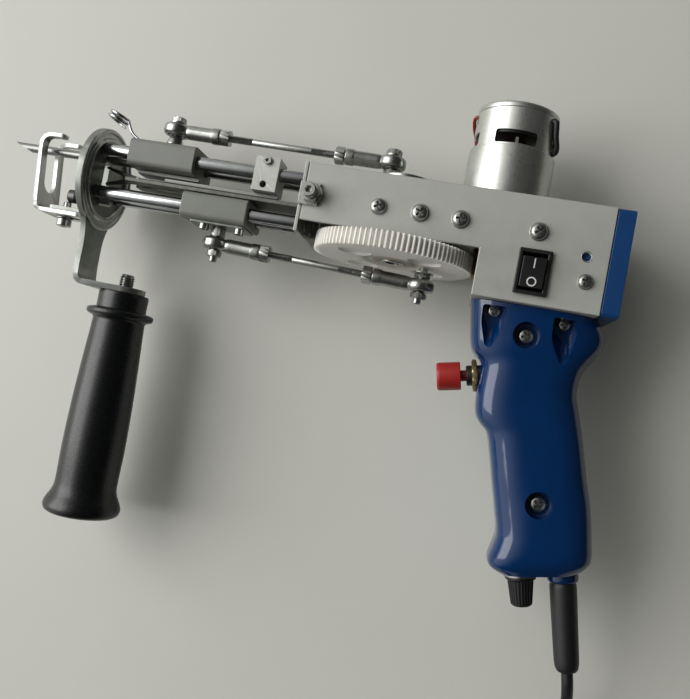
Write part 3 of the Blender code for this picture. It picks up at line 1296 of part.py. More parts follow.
def build_rear_bolts(upper_swing, lower_swing):
    """Crank pin bolts, carried by the rear rod ends over the crank faces."""
    eye = EYE_WIDTH / 2.0
    seat = CRANK_TOP_Y + GAP - UPPER_REAR_EYE_RISE
    bolt = bolt_mesh([
        (BOLT_HEX_RADIUS, seat, True), (BOLT_HEX_RADIUS, -eye - GAP, True),
        (BOLT_RADIUS, -eye - GAP, False), (BOLT_RADIUS, eye + GAP, False),
        (BOLT_HEX_RADIUS, eye + GAP, True), (BOLT_HEX_RADIUS, eye + GAP + BOLT_HEX_HEIGHT, True),
    ], (UPPER_LINK_LENGTH, 0.0))
    add("upper_rear_bolt", bolt, "zinc_plated_steel", upper_swing)
    seat = GEAR_LOW_Y - GAP + LOWER_REAR_EYE_DROP
    neck = (seat + eye + GAP) / 2.0
    nut_low = -eye - GAP - BOLT_HEX_HEIGHT
    bolt = bolt_mesh([
        (BOLT_RADIUS, nut_low - BOLT_TAIL, False), (BOLT_RADIUS, nut_low, False),
        (BOLT_HEX_RADIUS, nut_low, True), (BOLT_HEX_RADIUS, -eye - GAP, True),
        (BOLT_RADIUS, -eye - GAP, False), (BOLT_RADIUS, eye + GAP, False),
        (BOLT_HEX_RADIUS, eye + GAP, True), (BOLT_HEX_RADIUS, neck, True),
        (BOLT_RADIUS, neck, False), (BOLT_RADIUS, seat, False),
    ], (LOWER_LINK_LENGTH, 0.0))
    add("lower_rear_bolt", bolt, "zinc_plated_steel", lower_swing)


def build_stop(carriage):
    """Stop block clamped on the near upper rod, with its cam bar."""
    top = UPPER_ROD_Y + STOP_RISE
    low = CAM_TOP_Y + GAP
    outline = [(low, STOP_FAR), (top, STOP_FAR), (top, STOP_NEAR), (low, STOP_NEAR)]
    holes = [circle(ROD_RADIUS + SLIDER_BORE_CLEARANCE, ROD_STEPS, (UPPER_ROD_Y, ROD_HALF_SPACING))]
    block = plate("X", outline, STOP_FRONT_X, STOP_FRONT_X + STOP_LENGTH, holes)
    block = add("stop_block", block, "bare_aluminium", carriage, smooth=False)
    place = (STOP_FRONT_X + STOP_HOLE_SETBACK, UPPER_ROD_Y - STOP_HOLE_DROP)
    inner = STOP_NEAR - STOP_HOLE_DEPTH
    carve(block, rod("Z", STOP_HOLE_RADIUS, inner, STOP_NEAR + OVERRUN, SMALL_STEPS, place), carriage)
    bar = box(
        (STOP_FRONT_X - CAM_FRONT_REACH, CAM_TOP_Y - CAM_THICKNESS, CAM_INNER_OFFSET),
        (STOP_FRONT_X + STOP_LENGTH + CAM_REAR_REACH, CAM_TOP_Y, CAM_INNER_OFFSET + CAM_WIDTH),
    )
    add("cam_bar", bar, "dark_steel", carriage, smooth=False)


def leaned(mesh, low, high):
    """Mesh of the fork, leaned forwards from one height to another."""
    for vertex in mesh.vertices:
        vertex.co.x -= FORK_LEAN * max(vertex.co.y - low, 0.0) / (high - low)
    return mesh


def build_presser(machine, foot_slide):
    """Presser foot, its bracket and the clamping screw."""
    base_top = -FOOT_BASE_DROP
    base_low = base_top - FOOT_BASE_THICKNESS
    slot = FORK_SLOT_HALF_WIDTH
    prong_top = -FORK_TOP_DROP
    slot_low = -FORK_SLOT_DROP
    outline = [(prong_top, -FORK_HALF_WIDTH), (prong_top, -slot)]
    outline += [(v, u) for u, v in arc(slot, (0.0, slot_low), -math.pi, 0.0, HALF_CIRCLE_STEPS)]
    outline += [(prong_top, slot), (prong_top, FORK_HALF_WIDTH)]
    outline += [(base_low, FORK_HALF_WIDTH - FORK_CORNER), (base_low, FORK_CORNER - FORK_HALF_WIDTH)]
    outline.insert(-2, (base_low + FORK_CORNER, FORK_HALF_WIDTH))
    outline.append((base_low + FORK_CORNER, -FORK_HALF_WIDTH))
    rear = FORK_FRONT_X + FORK_THICKNESS
    sheet = leaned(plate("X", outline, FORK_FRONT_X, rear), base_top, prong_top)
    fork = add("presser_foot", sheet, "zinc_plated_steel", foot_slide)
    for side in (-1.0, 1.0):
        inner = side * (FORK_HALF_WIDTH - FORK_HOOK_WIDTH)
        outer = side * FORK_HALF_WIDTH
        hook = box(
            (FORK_FRONT_X, prong_top - FORK_HOOK_THICKNESS, min(inner, outer)),
            (FORK_FRONT_X + FORK_HOOK_LENGTH, prong_top, max(inner, outer)),
        )
        carve(fork, leaned(hook, base_top, prong_top), foot_slide, join=True)
    base_half = FOOT_BASE_HALF_WIDTH
    base_rear = FORK_FRONT_X + FOOT_BASE_LENGTH
    base = rounded_rectangle((FORK_FRONT_X, -base_half), (base_rear, base_half), FORK_CORNER)
    screw_x = RING_FRONT_X - FOOT_SCREW_REACH
    slot_half = FOOT_SLOT_HALF_WIDTH
    slide_slot = rounded_rectangle(
        (screw_x - FOOT_TRAVEL_BACK - slot_half, -slot_half),
        (screw_x + FOOT_TRAVEL_FORWARD + slot_half, slot_half), slot_half - GAP,
    )
    carve(fork, plate("Y", base, base_low, base_top, [slide_slot]), foot_slide, join=True)

    low = base_top + GAP
    front = RING_FRONT_X - BRACKET_REACH
    rear = RING_FRONT_X - GAP
    half = BRACKET_HALF_WIDTH
    bracket = frame_solid(
        [
            ((front, low, -half), (rear, low + BRACKET_THICKNESS, half)),
            ((rear - BRACKET_THICKNESS, low, -half), (rear, low + BRACKET_FLANGE_HEIGHT, half)),
        ],
        [],
    )
    bracket = add("foot_bracket", bracket, "zinc_plated_steel", machine, smooth=False)
    hole = rod(
        "Y", FOOT_SCREW_RADIUS + GAP, low - OVERRUN, low + BRACKET_THICKNESS + OVERRUN,
        SMALL_STEPS, (screw_x, 0.0),
    )
    carve(bracket, hole, machine)
    head_top = base_low - GAP
    top = low + BRACKET_THICKNESS + FOOT_SCREW_TAIL
    screw = bolt_mesh([
        (FOOT_SCREW_HEAD_RADIUS, head_top - FOOT_SCREW_HEAD_HEIGHT, False),
        (FOOT_SCREW_HEAD_RADIUS, head_top, False), (FOOT_SCREW_RADIUS, head_top, False),
        (FOOT_SCREW_RADIUS, top, False),
    ], (screw_x, 0.0))
    add("foot_screw", screw, "zinc_plated_steel", machine)


def build_front_handle(machine):
    """Side handle with its stud through the foot of the ring plate."""
    top = HANDLE_TOP_Y
    length = HANDLE_LENGTH
    bore = STUD_RADIUS + GAP
    profile = [(0.0, top - HANDLE_BORE_DEPTH), (bore, top - HANDLE_BORE_DEPTH), (bore, top)]
    profile += [(radius, top - share * length) for share, radius in HANDLE_PROFILE]
    profile.append((0.0, top - length))
    handle = turned("Y", profile, HANDLE_STEPS, False, (STUD_X, STUD_Z))
    add("front_grip", handle, "black_plastic", machine)
    stud = bolt_mesh([
        (STUD_RADIUS, top - HANDLE_BORE_DEPTH + GAP, False),
        (STUD_RADIUS, -FOOT_DROP + STUD_RISE, False),
    ], (STUD_X, STUD_Z))
    add("front_grip_stud", stud, "zinc_plated_steel", machine)


def grip_section(share, side, inset, parting):
    """Half outline of the grip across its axis, from front to rear."""
    front = smooth_value(FRONT_EDGE_SHARES, share) * GRIP_HALF_WIDTH + inset
    rear = smooth_value(REAR_EDGE_SHARES, share) * GRIP_HALF_WIDTH - inset
    depth = smooth_value(DEPTH_SHARES, share) * GRIP_HALF_DEPTH - inset
    middle = (front + rear) / 2.0
    half = (rear - front) / 2.0
    power = 2.0 / GRIP_SQUARENESS
    points = []
    for index in range(GRIP_ARC_STEPS + 1):
        angle = math.pi * (1.0 - index / GRIP_ARC_STEPS)
        across = middle + half * math.copysign(abs(math.cos(angle)) ** power, math.cos(angle))
        height = depth * math.sin(angle) ** power if 0 < index < GRIP_ARC_STEPS else 0.0
        points.append((across, -share * GRIP_LENGTH, side * (parting + height)))
    return points


def build_grip(machine, grip_frame):
    """Two grip shells, hollow, parted in the middle plane."""
    shares = grip_shares()
    floor_share = 1.0 - GRIP_FLOOR / GRIP_LENGTH
    inner_shares = [share for share in shares if share < floor_share - GRIP_WALL / GRIP_LENGTH]
    inner_shares.append(floor_share)
    for name, side in (("grip_near_half", 1.0), ("grip_far_half", -1.0)):
        outer = loft([grip_section(share, side, 0.0, GAP / 2.0) for share in shares])
        shell = add(name, outer, "blue_plastic", grip_frame)
        sections = []
        for share in [shares[0] - OVERRUN / GRIP_LENGTH, *inner_shares]:
            arc_points = grip_section(share, side, GRIP_WALL, GAP / 2.0)
            first, last = arc_points[0], arc_points[-1]
            deep = [(last[0], last[1], -side * OVERRUN), (first[0], first[1], -side * OVERRUN)]
            sections.append(arc_points + deep)
        carve(shell, loft(sections), grip_frame)
        lid = BOX_UNDERSIDE_Y - GAP
        reach = GRIP_HALF_WIDTH * 2.0
        above = box((GRIP_X - reach, lid, -reach), (GRIP_X + reach, lid + reach, reach))
        carve(shell, above, machine)
        face = -BUTTON_FACE_OFFSET
        bush = rod(
            "X", BUTTON_COLLAR_RADIUS + GAP, face - OVERRUN, face + BUTTON_CAVITY_DEPTH,
            ROUND_STEPS, (-BUTTON_ALONG, 0.0),
        )
        carve(shell, bush, grip_frame)
        spot = rod(
            "X", BUTTON_NUT_RADIUS + GAP, face - BUTTON_CAVITY_DEPTH, face,
            ROUND_STEPS, (-BUTTON_ALONG, 0.0),
        )
        carve(shell, spot, grip_frame)
        end = -GRIP_LENGTH
        for across, radius in ((KNOB_ACROSS, POT_BUSH_RADIUS), (GLAND_ACROSS, GLAND_NECK_RADIUS)):
            hole = rod(
                "Y", radius + GAP, end - OVERRUN, end + GRIP_HOLE_DEPTH, NARROW_STEPS, (across, 0.0)
            )
            carve(shell, hole, grip_frame)
    near = bpy.data.objects["grip_near_half"]
    recesses = (
        (UPPER_RECESS_ALONG_SHARE, UPPER_RECESS_ACROSS_SHARE),
        (LOWER_RECESS_ALONG_SHARE, LOWER_RECESS_ACROSS_SHARE),
    )
    for along, across in recesses:
        surface = smooth_value(DEPTH_SHARES, along) * GRIP_HALF_DEPTH
        place = (across * GRIP_HALF_WIDTH, -along * GRIP_LENGTH)
        recess = rod(
            "Z", GRIP_SCREW_RECESS_RADIUS, surface - GRIP_SCREW_RECESS_DEPTH,
            surface + OVERRUN, NARROW_STEPS, place,
        )
        carve(near, recess, grip_frame)
    for across, drop in zip(POCKET_ACROSS_SHARES, POCKET_DROP_SHARES):
        x = GRIP_X + across * GRIP_HALF_WIDTH
        top = BOX_UNDERSIDE_Y - drop * GRIP_POCKET_LENGTH
        surface = smooth_value(DEPTH_SHARES, 0.0) * GRIP_HALF_DEPTH
        floor = surface - GRIP_POCKET_DEPTH
        outline = [
            (x - GRIP_POCKET_HALF_WIDTH, top), (x + GRIP_POCKET_HALF_WIDTH, top),
            (x + GRIP_POCKET_HALF_WIDTH / 2.0, top - GRIP_POCKET_LENGTH),
            (x - GRIP_POCKET_HALF_WIDTH / 4.0, top - GRIP_POCKET_LENGTH),
        ]
        carve(near, plate("Z", outline, floor, surface + OVERRUN), machine)


def build_button(machine, grip_frame, button_slide):
    """Trigger push button through the front of the grip."""
    centre = (-BUTTON_ALONG, 0.0)
    face = -BUTTON_FACE_OFFSET
    nut_front = face - GAP - BUTTON_NUT_LENGTH
    collar_front = nut_front - BUTTON_COLLAR_LENGTH
    stem_hole = BUTTON_STEM_RADIUS + GAP
    body_front = face + GRIP_FLOOR
    body_rear = body_front + BUTTON_BODY_LENGTH
    profile = [
        (0.0, body_rear), (BUTTON_BODY_RADIUS, body_rear), (BUTTON_BODY_RADIUS, body_front),
        (BUTTON_COLLAR_RADIUS, body_front), (BUTTON_COLLAR_RADIUS, collar_front),
        (stem_hole, collar_front), (stem_hole, body_rear - GRIP_WALL), (0.0, body_rear - GRIP_WALL),
    ]
    add("button_body", turned("X", profile, ROUND_STEPS, False, centre), "black_plastic", grip_frame)
    bore = BUTTON_COLLAR_RADIUS + GAP
    nut = turned("X", [
        (bore, nut_front), (BUTTON_NUT_RADIUS, nut_front),
        (BUTTON_NUT_RADIUS, nut_front + BUTTON_NUT_LENGTH), (bore, nut_front + BUTTON_NUT_LENGTH),
    ], ROUND_STEPS, True, centre, hexes=(1, 2))
    add("button_nut", nut, "brass", grip_frame)
    cap_rear = collar_front - BUTTON_TRAVEL - GAP
    cap_front = cap_rear - BUTTON_CAP_LENGTH
    stem_rear = body_rear - GRIP_WALL - BUTTON_TRAVEL - GAP
    cap = turned("X", [
        (0.0, cap_front), (BUTTON_CAP_RADIUS - BUTTON_CAP_EDGE, cap_front),
        (BUTTON_CAP_RADIUS, cap_front + BUTTON_CAP_EDGE), (BUTTON_CAP_RADIUS, cap_rear),
        (BUTTON_STEM_RADIUS, cap_rear), (BUTTON_STEM_RADIUS, stem_rear), (0.0, stem_rear),
    ], ROUND_STEPS, False, centre)
    add("trigger_button", cap, "red_plastic", button_slide)


def build_grip_end(grip_frame, knob_turn):
    """Speed control with its knob, cord gland and strain relief."""
    end = -GRIP_LENGTH
    inside = end + GRIP_FLOOR + GAP
    centre = (KNOB_ACROSS, 0.0)
    shaft_low = end - POT_SHAFT_LENGTH
    pot = turned("Y", [
        (0.0, shaft_low), (POT_SHAFT_RADIUS, shaft_low), (POT_SHAFT_RADIUS, end - GAP),
        (POT_BUSH_RADIUS, end - GAP), (POT_BUSH_RADIUS, inside), (POT_RADIUS, inside),
        (POT_RADIUS, inside + POT_LENGTH), (0.0, inside + POT_LENGTH),
    ], ROUND_STEPS, False, centre)
    add("speed_control", pot, "dark_steel", grip_frame)
    knob_top = -2.0 * GAP
    bore = POT_SHAFT_RADIUS + GAP
    bore_depth = -POT_SHAFT_LENGTH - GAP
    knob = turned("Y", [
        (0.0, -KNOB_LENGTH), (KNOB_END_RADIUS - KNOB_EDGE, -KNOB_LENGTH),
        (KNOB_END_RADIUS, -KNOB_LENGTH + KNOB_EDGE),
        (KNOB_TOP_RADIUS, -KNOB_FLANGE_LENGTH - GAP), (KNOB_RADIUS, -KNOB_FLANGE_LENGTH),
        (KNOB_RADIUS, knob_top), (bore, knob_top), (bore, bore_depth), (0.0, bore_depth),
    ], ROUND_STEPS)
    add("speed_knob", knob, "black_plastic", knob_turn)

    centre = (GLAND_ACROSS, 0.0)
    gland_low = end - GLAND_LENGTH
    cord_hole = CORD_RADIUS + GAP
    gland = turned("Y", [
        (cord_hole, gland_low), (GLAND_RADIUS - GLAND_EDGE, gland_low),
        (GLAND_RADIUS, gland_low + GLAND_EDGE), (GLAND_RADIUS, end - GAP),
        (GLAND_NECK_RADIUS, end - GAP), (GLAND_NECK_RADIUS, end + GRIP_FLOOR),
        (cord_hole, end + GRIP_FLOOR),
    ], ROUND_STEPS, True, centre)
    add("cord_gland", gland, "blue_plastic", grip_frame)
    relief_top = gland_low - GAP
    relief_low = relief_top - RELIEF_LENGTH
    relief = turned("Y", [
        (0.0, relief_top), (RELIEF_RADIUS, relief_top), (RELIEF_END_RADIUS, relief_low + RELIEF_TIP),
        (RELIEF_TIP_RADIUS, relief_low + RELIEF_TIP_EDGE),
        (RELIEF_MOUTH_RADIUS, relief_low), (0.0, relief_low),
    ], ROUND_STEPS, False, centre)
    add("strain_relief", relief, "black_rubber", grip_frame)


def build_rocker(machine, paddle_turn):
    """Rocker switch housing in the near wall, and its paddle."""
    half_width = ROCKER_WIDTH / 2.0
    half_length = ROCKER_LENGTH / 2.0
    body_width = half_width - ROCKER_BEZEL_LIP
    body_length = half_length - ROCKER_BEZEL_LIP
    face = HALF_DEPTH + GAP
    opening_width = body_width - ROCKER_WALL
    opening_length = body_length - ROCKER_WALL
    y = -ROCKER_DROP
    floor = face - ROCKER_DEPTH
    housing = frame_solid(
        [
            (
                (ROCKER_X - half_width, y - half_length, face),
                (ROCKER_X + half_width, y + half_length, face + ROCKER_RISE),
            ),
            (
                (ROCKER_X - body_width, y - body_length, floor),
                (ROCKER_X + body_width, y + body_length, face),
            ),
        ],
        [
            (
                (ROCKER_X - opening_width, y - opening_length, floor + ROCKER_FLOOR),
                (ROCKER_X + opening_width, y + opening_length, face + ROCKER_RISE + OVERRUN),
            ),
        ],
    )
    add("rocker_frame", housing, "black_plastic", machine, smooth=False)
    reach = opening_length - GAP
    half = math.sqrt(reach * reach - PADDLE_RISE * PADDLE_RISE)
    flat = [(-half, PADDLE_RISE), (0.0, PADDLE_RISE - PADDLE_VALLEY), (half, PADDLE_RISE), (half, 0.0)]
    flat += arc(PADDLE_ROUND_RADIUS, (0.0, 0.0), 0.0, -math.pi, HALF_CIRCLE_STEPS)
    flat.append((-half, 0.0))
    lean_cos = math.cos(ROCKER_TILT)
    lean_sin = math.sin(ROCKER_TILT)
    outline = [(u * lean_cos - v * lean_sin, u * lean_sin + v * lean_cos) for u, v in flat]
    paddle = plate("X", outline, -opening_width + GAP, opening_width - GAP)
    add("rocker_paddle", paddle, "black_plastic", paddle_turn, smooth=False)


def coil_point(turn, spin):
    """Plan radius, angle and height of the coil after a number of turns."""
    half = COIL_TURNS / 2.0
    inward = turn if turn <= half else COIL_TURNS - turn
    radius = COIL_OUTER_RADIUS - inward * COIL_PITCH
    start = half - COIL_RISE_START_SHARE
    t = min(max((turn - start) / COIL_RISE_LENGTH_SHARE, 0.0), 1.0)
    height = COIL_PITCH * t * t * (3.0 - 2.0 * t)
    return radius, spin - 2.0 * math.pi * turn, height


def smooth_route(points, count):
    """Evenly read points of a smooth curve through the route's own points."""
    line = [Vector(point) for point in points]
    fine = []
    for index in range(len(line) - 1):
        before = line[max(index - 1, 0)]
        start, end = line[index], line[index + 1]
        after = line[min(index + 2, len(line) - 1)]
        for step in range(ROUTE_STEPS):
            t = step / ROUTE_STEPS
            fine.append(0.5 * (
                2.0 * start + (end - before) * t + (2.0 * before - 5.0 * start + 4.0 * end - after) * t * t
                + (3.0 * start - before - 3.0 * end + after) * t * t * t
            ))
    fine.append(line[-1])
    lengths = [0.0]
    for first, second in zip(fine, fine[1:]):
        lengths.append(lengths[-1] + (second - first).length)
    read = []
    place = 0
    for index in range(count + 1):
        target = lengths[-1] * index / count
        while place < len(lengths) - 2 and lengths[place + 1] < target:
            place += 1
        span = lengths[place + 1] - lengths[place]
        t = (target - lengths[place]) / span if span else 0.0
        read.append(tuple(fine[place].lerp(fine[place + 1], t)))
    return read, lengths[-1]


def build_cord(machine):
    """Free cord, its coil and its plug, lying on the table."""
    start = Vector(CORD_ROUTE[0])
    reach = GRIP_LENGTH + GLAND_LENGTH + RELIEF_LENGTH + 2.0 * GAP
    relief_end = Vector((*grip_point(GLAND_ACROSS, reach), 0.0))
    shift = relief_end - start
    rest_height = ORIGIN_Z + CORD_RADIUS + GAP
    last = Vector(CORD_ROUTE[-1])
    drop = (rest_height - start.z) / (last.z - start.z)
    route = [(x + shift.x, y + shift.y, start.z + (z - start.z) * drop) for x, y, z in CORD_ROUTE]
    points, length = smooth_route(route, CORD_POINT_COUNT)
    tube_along("power_cord", points, CORD_RADIUS, 2, "black_rubber", machine)

    heading = (Vector(route[-1]) - Vector(route[-2])).normalized()
    join = Vector(route[-1]) + heading * GAP
    lead = join + heading * 2.0 * CORD_RADIUS
    spin = math.atan2(heading.x, -heading.y)
    side = Vector((math.cos(spin), math.sin(spin), 0.0))
    centre = lead - side * COIL_OUTER_RADIUS
    centre.z = 0.0
    turns = [join]
    total = int(COIL_TURNS * COIL_POINTS_PER_TURN)
    coil_length = (lead - join).length
    for index in range(total + 1):
        radius, angle, height = coil_point(index / COIL_POINTS_PER_TURN, spin)
        turns.append(Vector((
            centre.x + radius * math.cos(angle), centre.y + radius * math.sin(angle), rest_height + height,
        )))
    for first, second in zip(turns[1:], turns[2:]):
        coil_length += (second - first).length
    end = turns[-1]
    _, angle, height = coil_point(COIL_TURNS, spin)
    away = Vector((math.sin(angle), -math.cos(angle), 0.0))
    plug_height = ORIGIN_Z + PLUG_RADIUS + GAP
    for share in COIL_TAIL_SHARES:
        ease = min(max((share - TAIL_FALL_START_SHARE) / TAIL_FALL_LENGTH_SHARE, 0.0), 1.0)
        fall = ease * ease * (3.0 - 2.0 * ease)
        spot = end + away * COIL_TAIL * share
        spot.z = end.z + (plug_height - end.z) * fall
        turns.append(spot)
    coil_length += (turns[-1] - end).length
    least = COIL_OUTER_RADIUS
    for index, first in enumerate(turns):
        for second in turns[index + COIL_POINTS_PER_TURN // 2:]:
            least = min(least, (first - second).length)
    print(f"cord coil: least gap to itself {(least - 2.0 * CORD_RADIUS) * 1000.0:.2f} mm")
    print(f"cord: free stretch {length:.3f} m, coil {coil_length:.3f} m")
    tube_along("cord_coil", [tuple(point) for point in turns], CORD_RADIUS, 1, "black_rubber", machine)

    face = turns[-1] + away * GAP
    turn = math.atan2(away.y, away.x)
    plug_frame = empty("plug_axis", machine, tuple(face), (0.0, 0.0, turn))
    neck = PLUG_NECK_LENGTH
    body = neck + PLUG_LENGTH
    plug = turned("X", [
        (0.0, 0.0), (PLUG_NECK_RADII[0], 0.0), (PLUG_NECK_RADII[1], neck),
        (PLUG_RADIUS, neck + PLUG_SHOULDER),
        (PLUG_RADIUS, body), (PLUG_BARREL_RADIUS, body), (PLUG_BARREL_RADIUS, body + PLUG_BARREL_LENGTH),
        (0.0, body + PLUG_BARREL_LENGTH),
    ], NARROW_STEPS)
    add("plug", plug, "black_plastic", plug_frame)


def main():
    """Builds the whole machine."""
    clear_scene()
    machine = empty("machine_datum", None, (-ORIGIN_X, -ORIGIN_Y, -ORIGIN_Z))
    gear_axis = empty("gear_axis", machine, (GEAR_X, 0.0, 0.0))
    rotor_axis = empty("rotor_axis", machine, (MOTOR_X, 0.0, 0.0))
    upper = empty("upper_carriage_slide", machine)
    lower = empty("lower_carriage_slide", machine)
    stop = empty("stop_slide", machine)
    foot = empty("foot_slide", machine)
    build_tube(machine)
    build_rods_and_plates(machine)
    build_motor(machine, rotor_axis)
    build_gear_train(machine, gear_axis)
    build_upper_carriage(upper)
    blade_swing = empty("blade_pivot", lower, (BLADE_PIVOT_X, BLADE_PIVOT_Y, 0.0))
    build_lower_carriage(lower, blade_swing)
    upper_lean = math.asin((UPPER_REAR_EYE_RISE - UPPER_FRONT_EYE_RISE) / UPPER_LINK_LENGTH)
    lower_lean = math.asin((LOWER_FRONT_EYE_DROP - LOWER_REAR_EYE_DROP) / LOWER_LINK_LENGTH)
    upper_eye = (UPPER_PIN_X, UPPER_FRONT_EYE_RISE, 0.0)
    lower_eye = (LOWER_PIN_X, -LOWER_FRONT_EYE_DROP, 0.0)
    upper_swing = empty("upper_link_pivot", upper, upper_eye, (0.0, 0.0, upper_lean))
    lower_swing = empty("lower_link_pivot", lower, lower_eye, (0.0, 0.0, lower_lean))
    build_link("upper", upper_swing, UPPER_LINK_LENGTH)
    build_link("lower", lower_swing, LOWER_LINK_LENGTH)
    build_rear_bolts(upper_swing, lower_swing)
    build_stop(stop)
    build_presser(machine, foot)
    build_front_handle(machine)
    grip_frame = empty("grip_axis", machine, (GRIP_X, BOX_UNDERSIDE_Y, 0.0), (0.0, 0.0, GRIP_TILT))
    button_slide = empty("button_slide", grip_frame)
    knob_turn = empty("knob_axis", grip_frame, (KNOB_ACROSS, -GRIP_LENGTH, 0.0))
    build_grip(machine, grip_frame)
    build_button(machine, grip_frame, button_slide)
    build_grip_end(grip_frame, knob_turn)
    pivot_z = HALF_DEPTH + GAP + ROCKER_RISE - PADDLE_ROUND_RADIUS / 2.0
    paddle_turn = empty("rocker_axis", machine, (ROCKER_X, -ROCKER_DROP, pivot_z))
    build_rocker(machine, paddle_turn)
    build_cord(machine)


main()
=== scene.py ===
"""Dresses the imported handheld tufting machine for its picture.

Lengths are millimetres from the datum, the front top edge of the square box: X runs to
the rear, Y up along the near face and Z towards the viewer. Each piece is baked to world metres.
"""
from __future__ import annotations

import json
import logging
import math
from dataclasses import dataclass, field
from enum import Enum
from typing import Any, Sequence

import bmesh
import bpy
from mathutils import Matrix, Vector


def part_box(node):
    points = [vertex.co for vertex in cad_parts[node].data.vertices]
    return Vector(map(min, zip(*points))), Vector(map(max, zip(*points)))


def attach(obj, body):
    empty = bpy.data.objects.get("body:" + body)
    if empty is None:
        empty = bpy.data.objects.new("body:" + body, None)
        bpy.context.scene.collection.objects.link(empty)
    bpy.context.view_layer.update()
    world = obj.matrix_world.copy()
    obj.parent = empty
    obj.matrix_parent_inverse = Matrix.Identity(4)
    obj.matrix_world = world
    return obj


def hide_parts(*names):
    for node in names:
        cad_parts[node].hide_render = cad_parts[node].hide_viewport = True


Point = tuple[float, ...]
Rows = tuple[Point, ...]
MM = 0.001
TURN = 2.0 * math.pi
# The datum's place from the low corner of the box tube, in millimetres
DATUM = (86.5, 50.0, 25.0)
# Shank radius and hexagon corner radius of an M4 screw
M4 = 2.0
M4_HEX = 4.1
# Millimetres under which points merge and faces are slivers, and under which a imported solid's points merge
MERGE = 0.0005
SLIVER = 0.0002
SOLID_MERGE = 0.002
# How far a stain's edge strays from its circle, in metres
STAIN_WANDER = 0.012
LOG = logging.getLogger("tufting_machine")
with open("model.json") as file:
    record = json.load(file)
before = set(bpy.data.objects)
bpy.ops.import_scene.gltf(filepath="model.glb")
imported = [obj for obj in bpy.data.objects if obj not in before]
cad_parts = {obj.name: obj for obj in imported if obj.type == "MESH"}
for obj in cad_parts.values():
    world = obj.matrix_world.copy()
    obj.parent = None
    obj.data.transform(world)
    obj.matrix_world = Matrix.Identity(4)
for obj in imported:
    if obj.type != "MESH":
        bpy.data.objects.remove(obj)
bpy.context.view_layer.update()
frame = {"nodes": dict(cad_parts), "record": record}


class Axis(Enum):
    """Direction that a turned or flat shape is built along."""

    X = "X"
    Y = "Y"
    Z = "Z"

    def point(self, along: float, u: float, v: float) -> Vector:
        """Point at a place along the axis and (u, v) across it, with u and v in alphabetical order.

        Args:
            along: place on the axis.
            u: first place across it.
            v: second place across it.

        Returns:
            The point.
        """
        if self is Axis.X:
            return Vector((along, u, v))
        if self is Axis.Y:
            return Vector((u, along, v))
        return Vector((u, v, along))


class Body(Enum):
    """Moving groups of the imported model."""

    HOUSING = "housing"
    FOOT = "foot"
    STOP = "stop"
    GEAR = "gear_train"
    ROTOR = "rotor"
    UPPER = "upper_carriage"
    LOWER = "lower_carriage"
    BLADE = "swing_blade"
    UPPER_LINK = "upper_link"
    LOWER_LINK = "lower_link"
    TRIGGER = "trigger"
    ROCKER = "rocker"
    KNOB = "knob"


def linear(code: str) -> tuple[float, float, float, float]:
    """Turns an sRGB hex colour to linear light.

    Args:
        code: six hex digits after a hash.

    Returns:
        Red, green, blue and alpha.
    """
    values = [int(code[place:place + 2], 16) / 255.0 for place in (1, 3, 5)]
    light = [v / 12.92 if v <= 0.04045 else ((v + 0.055) / 1.055) ** 2.4 for v in values]
    return light[0], light[1], light[2], 1.0


def add_node(
    tree: bpy.types.NodeTree, kind: str, settings: dict | None = None, links: dict | None = None,
) -> Any:
    """Adds a node with its settings and links.

    Args:
        tree: node tree that gets the node.
        kind: type name of the node.
        settings: input values by socket name or number, and properties by name.
        links: output sockets, or nodes for their first output, by the name or number of the input.

    Returns:
        The new node.
    """
    node = tree.nodes.new(kind)
    settings = settings or {}
    for key in [k for k in settings if isinstance(k, str) and hasattr(node, k)]:
        setattr(node, key, settings[key])
    for key in [k for k in settings if not (isinstance(k, str) and hasattr(node, k))]:
        node.inputs[key].default_value = settings[key]
    for key, source in (links or {}).items():
        tree.links.new(source.outputs[0] if hasattr(source, "outputs") else source, node.inputs[key])
    return node


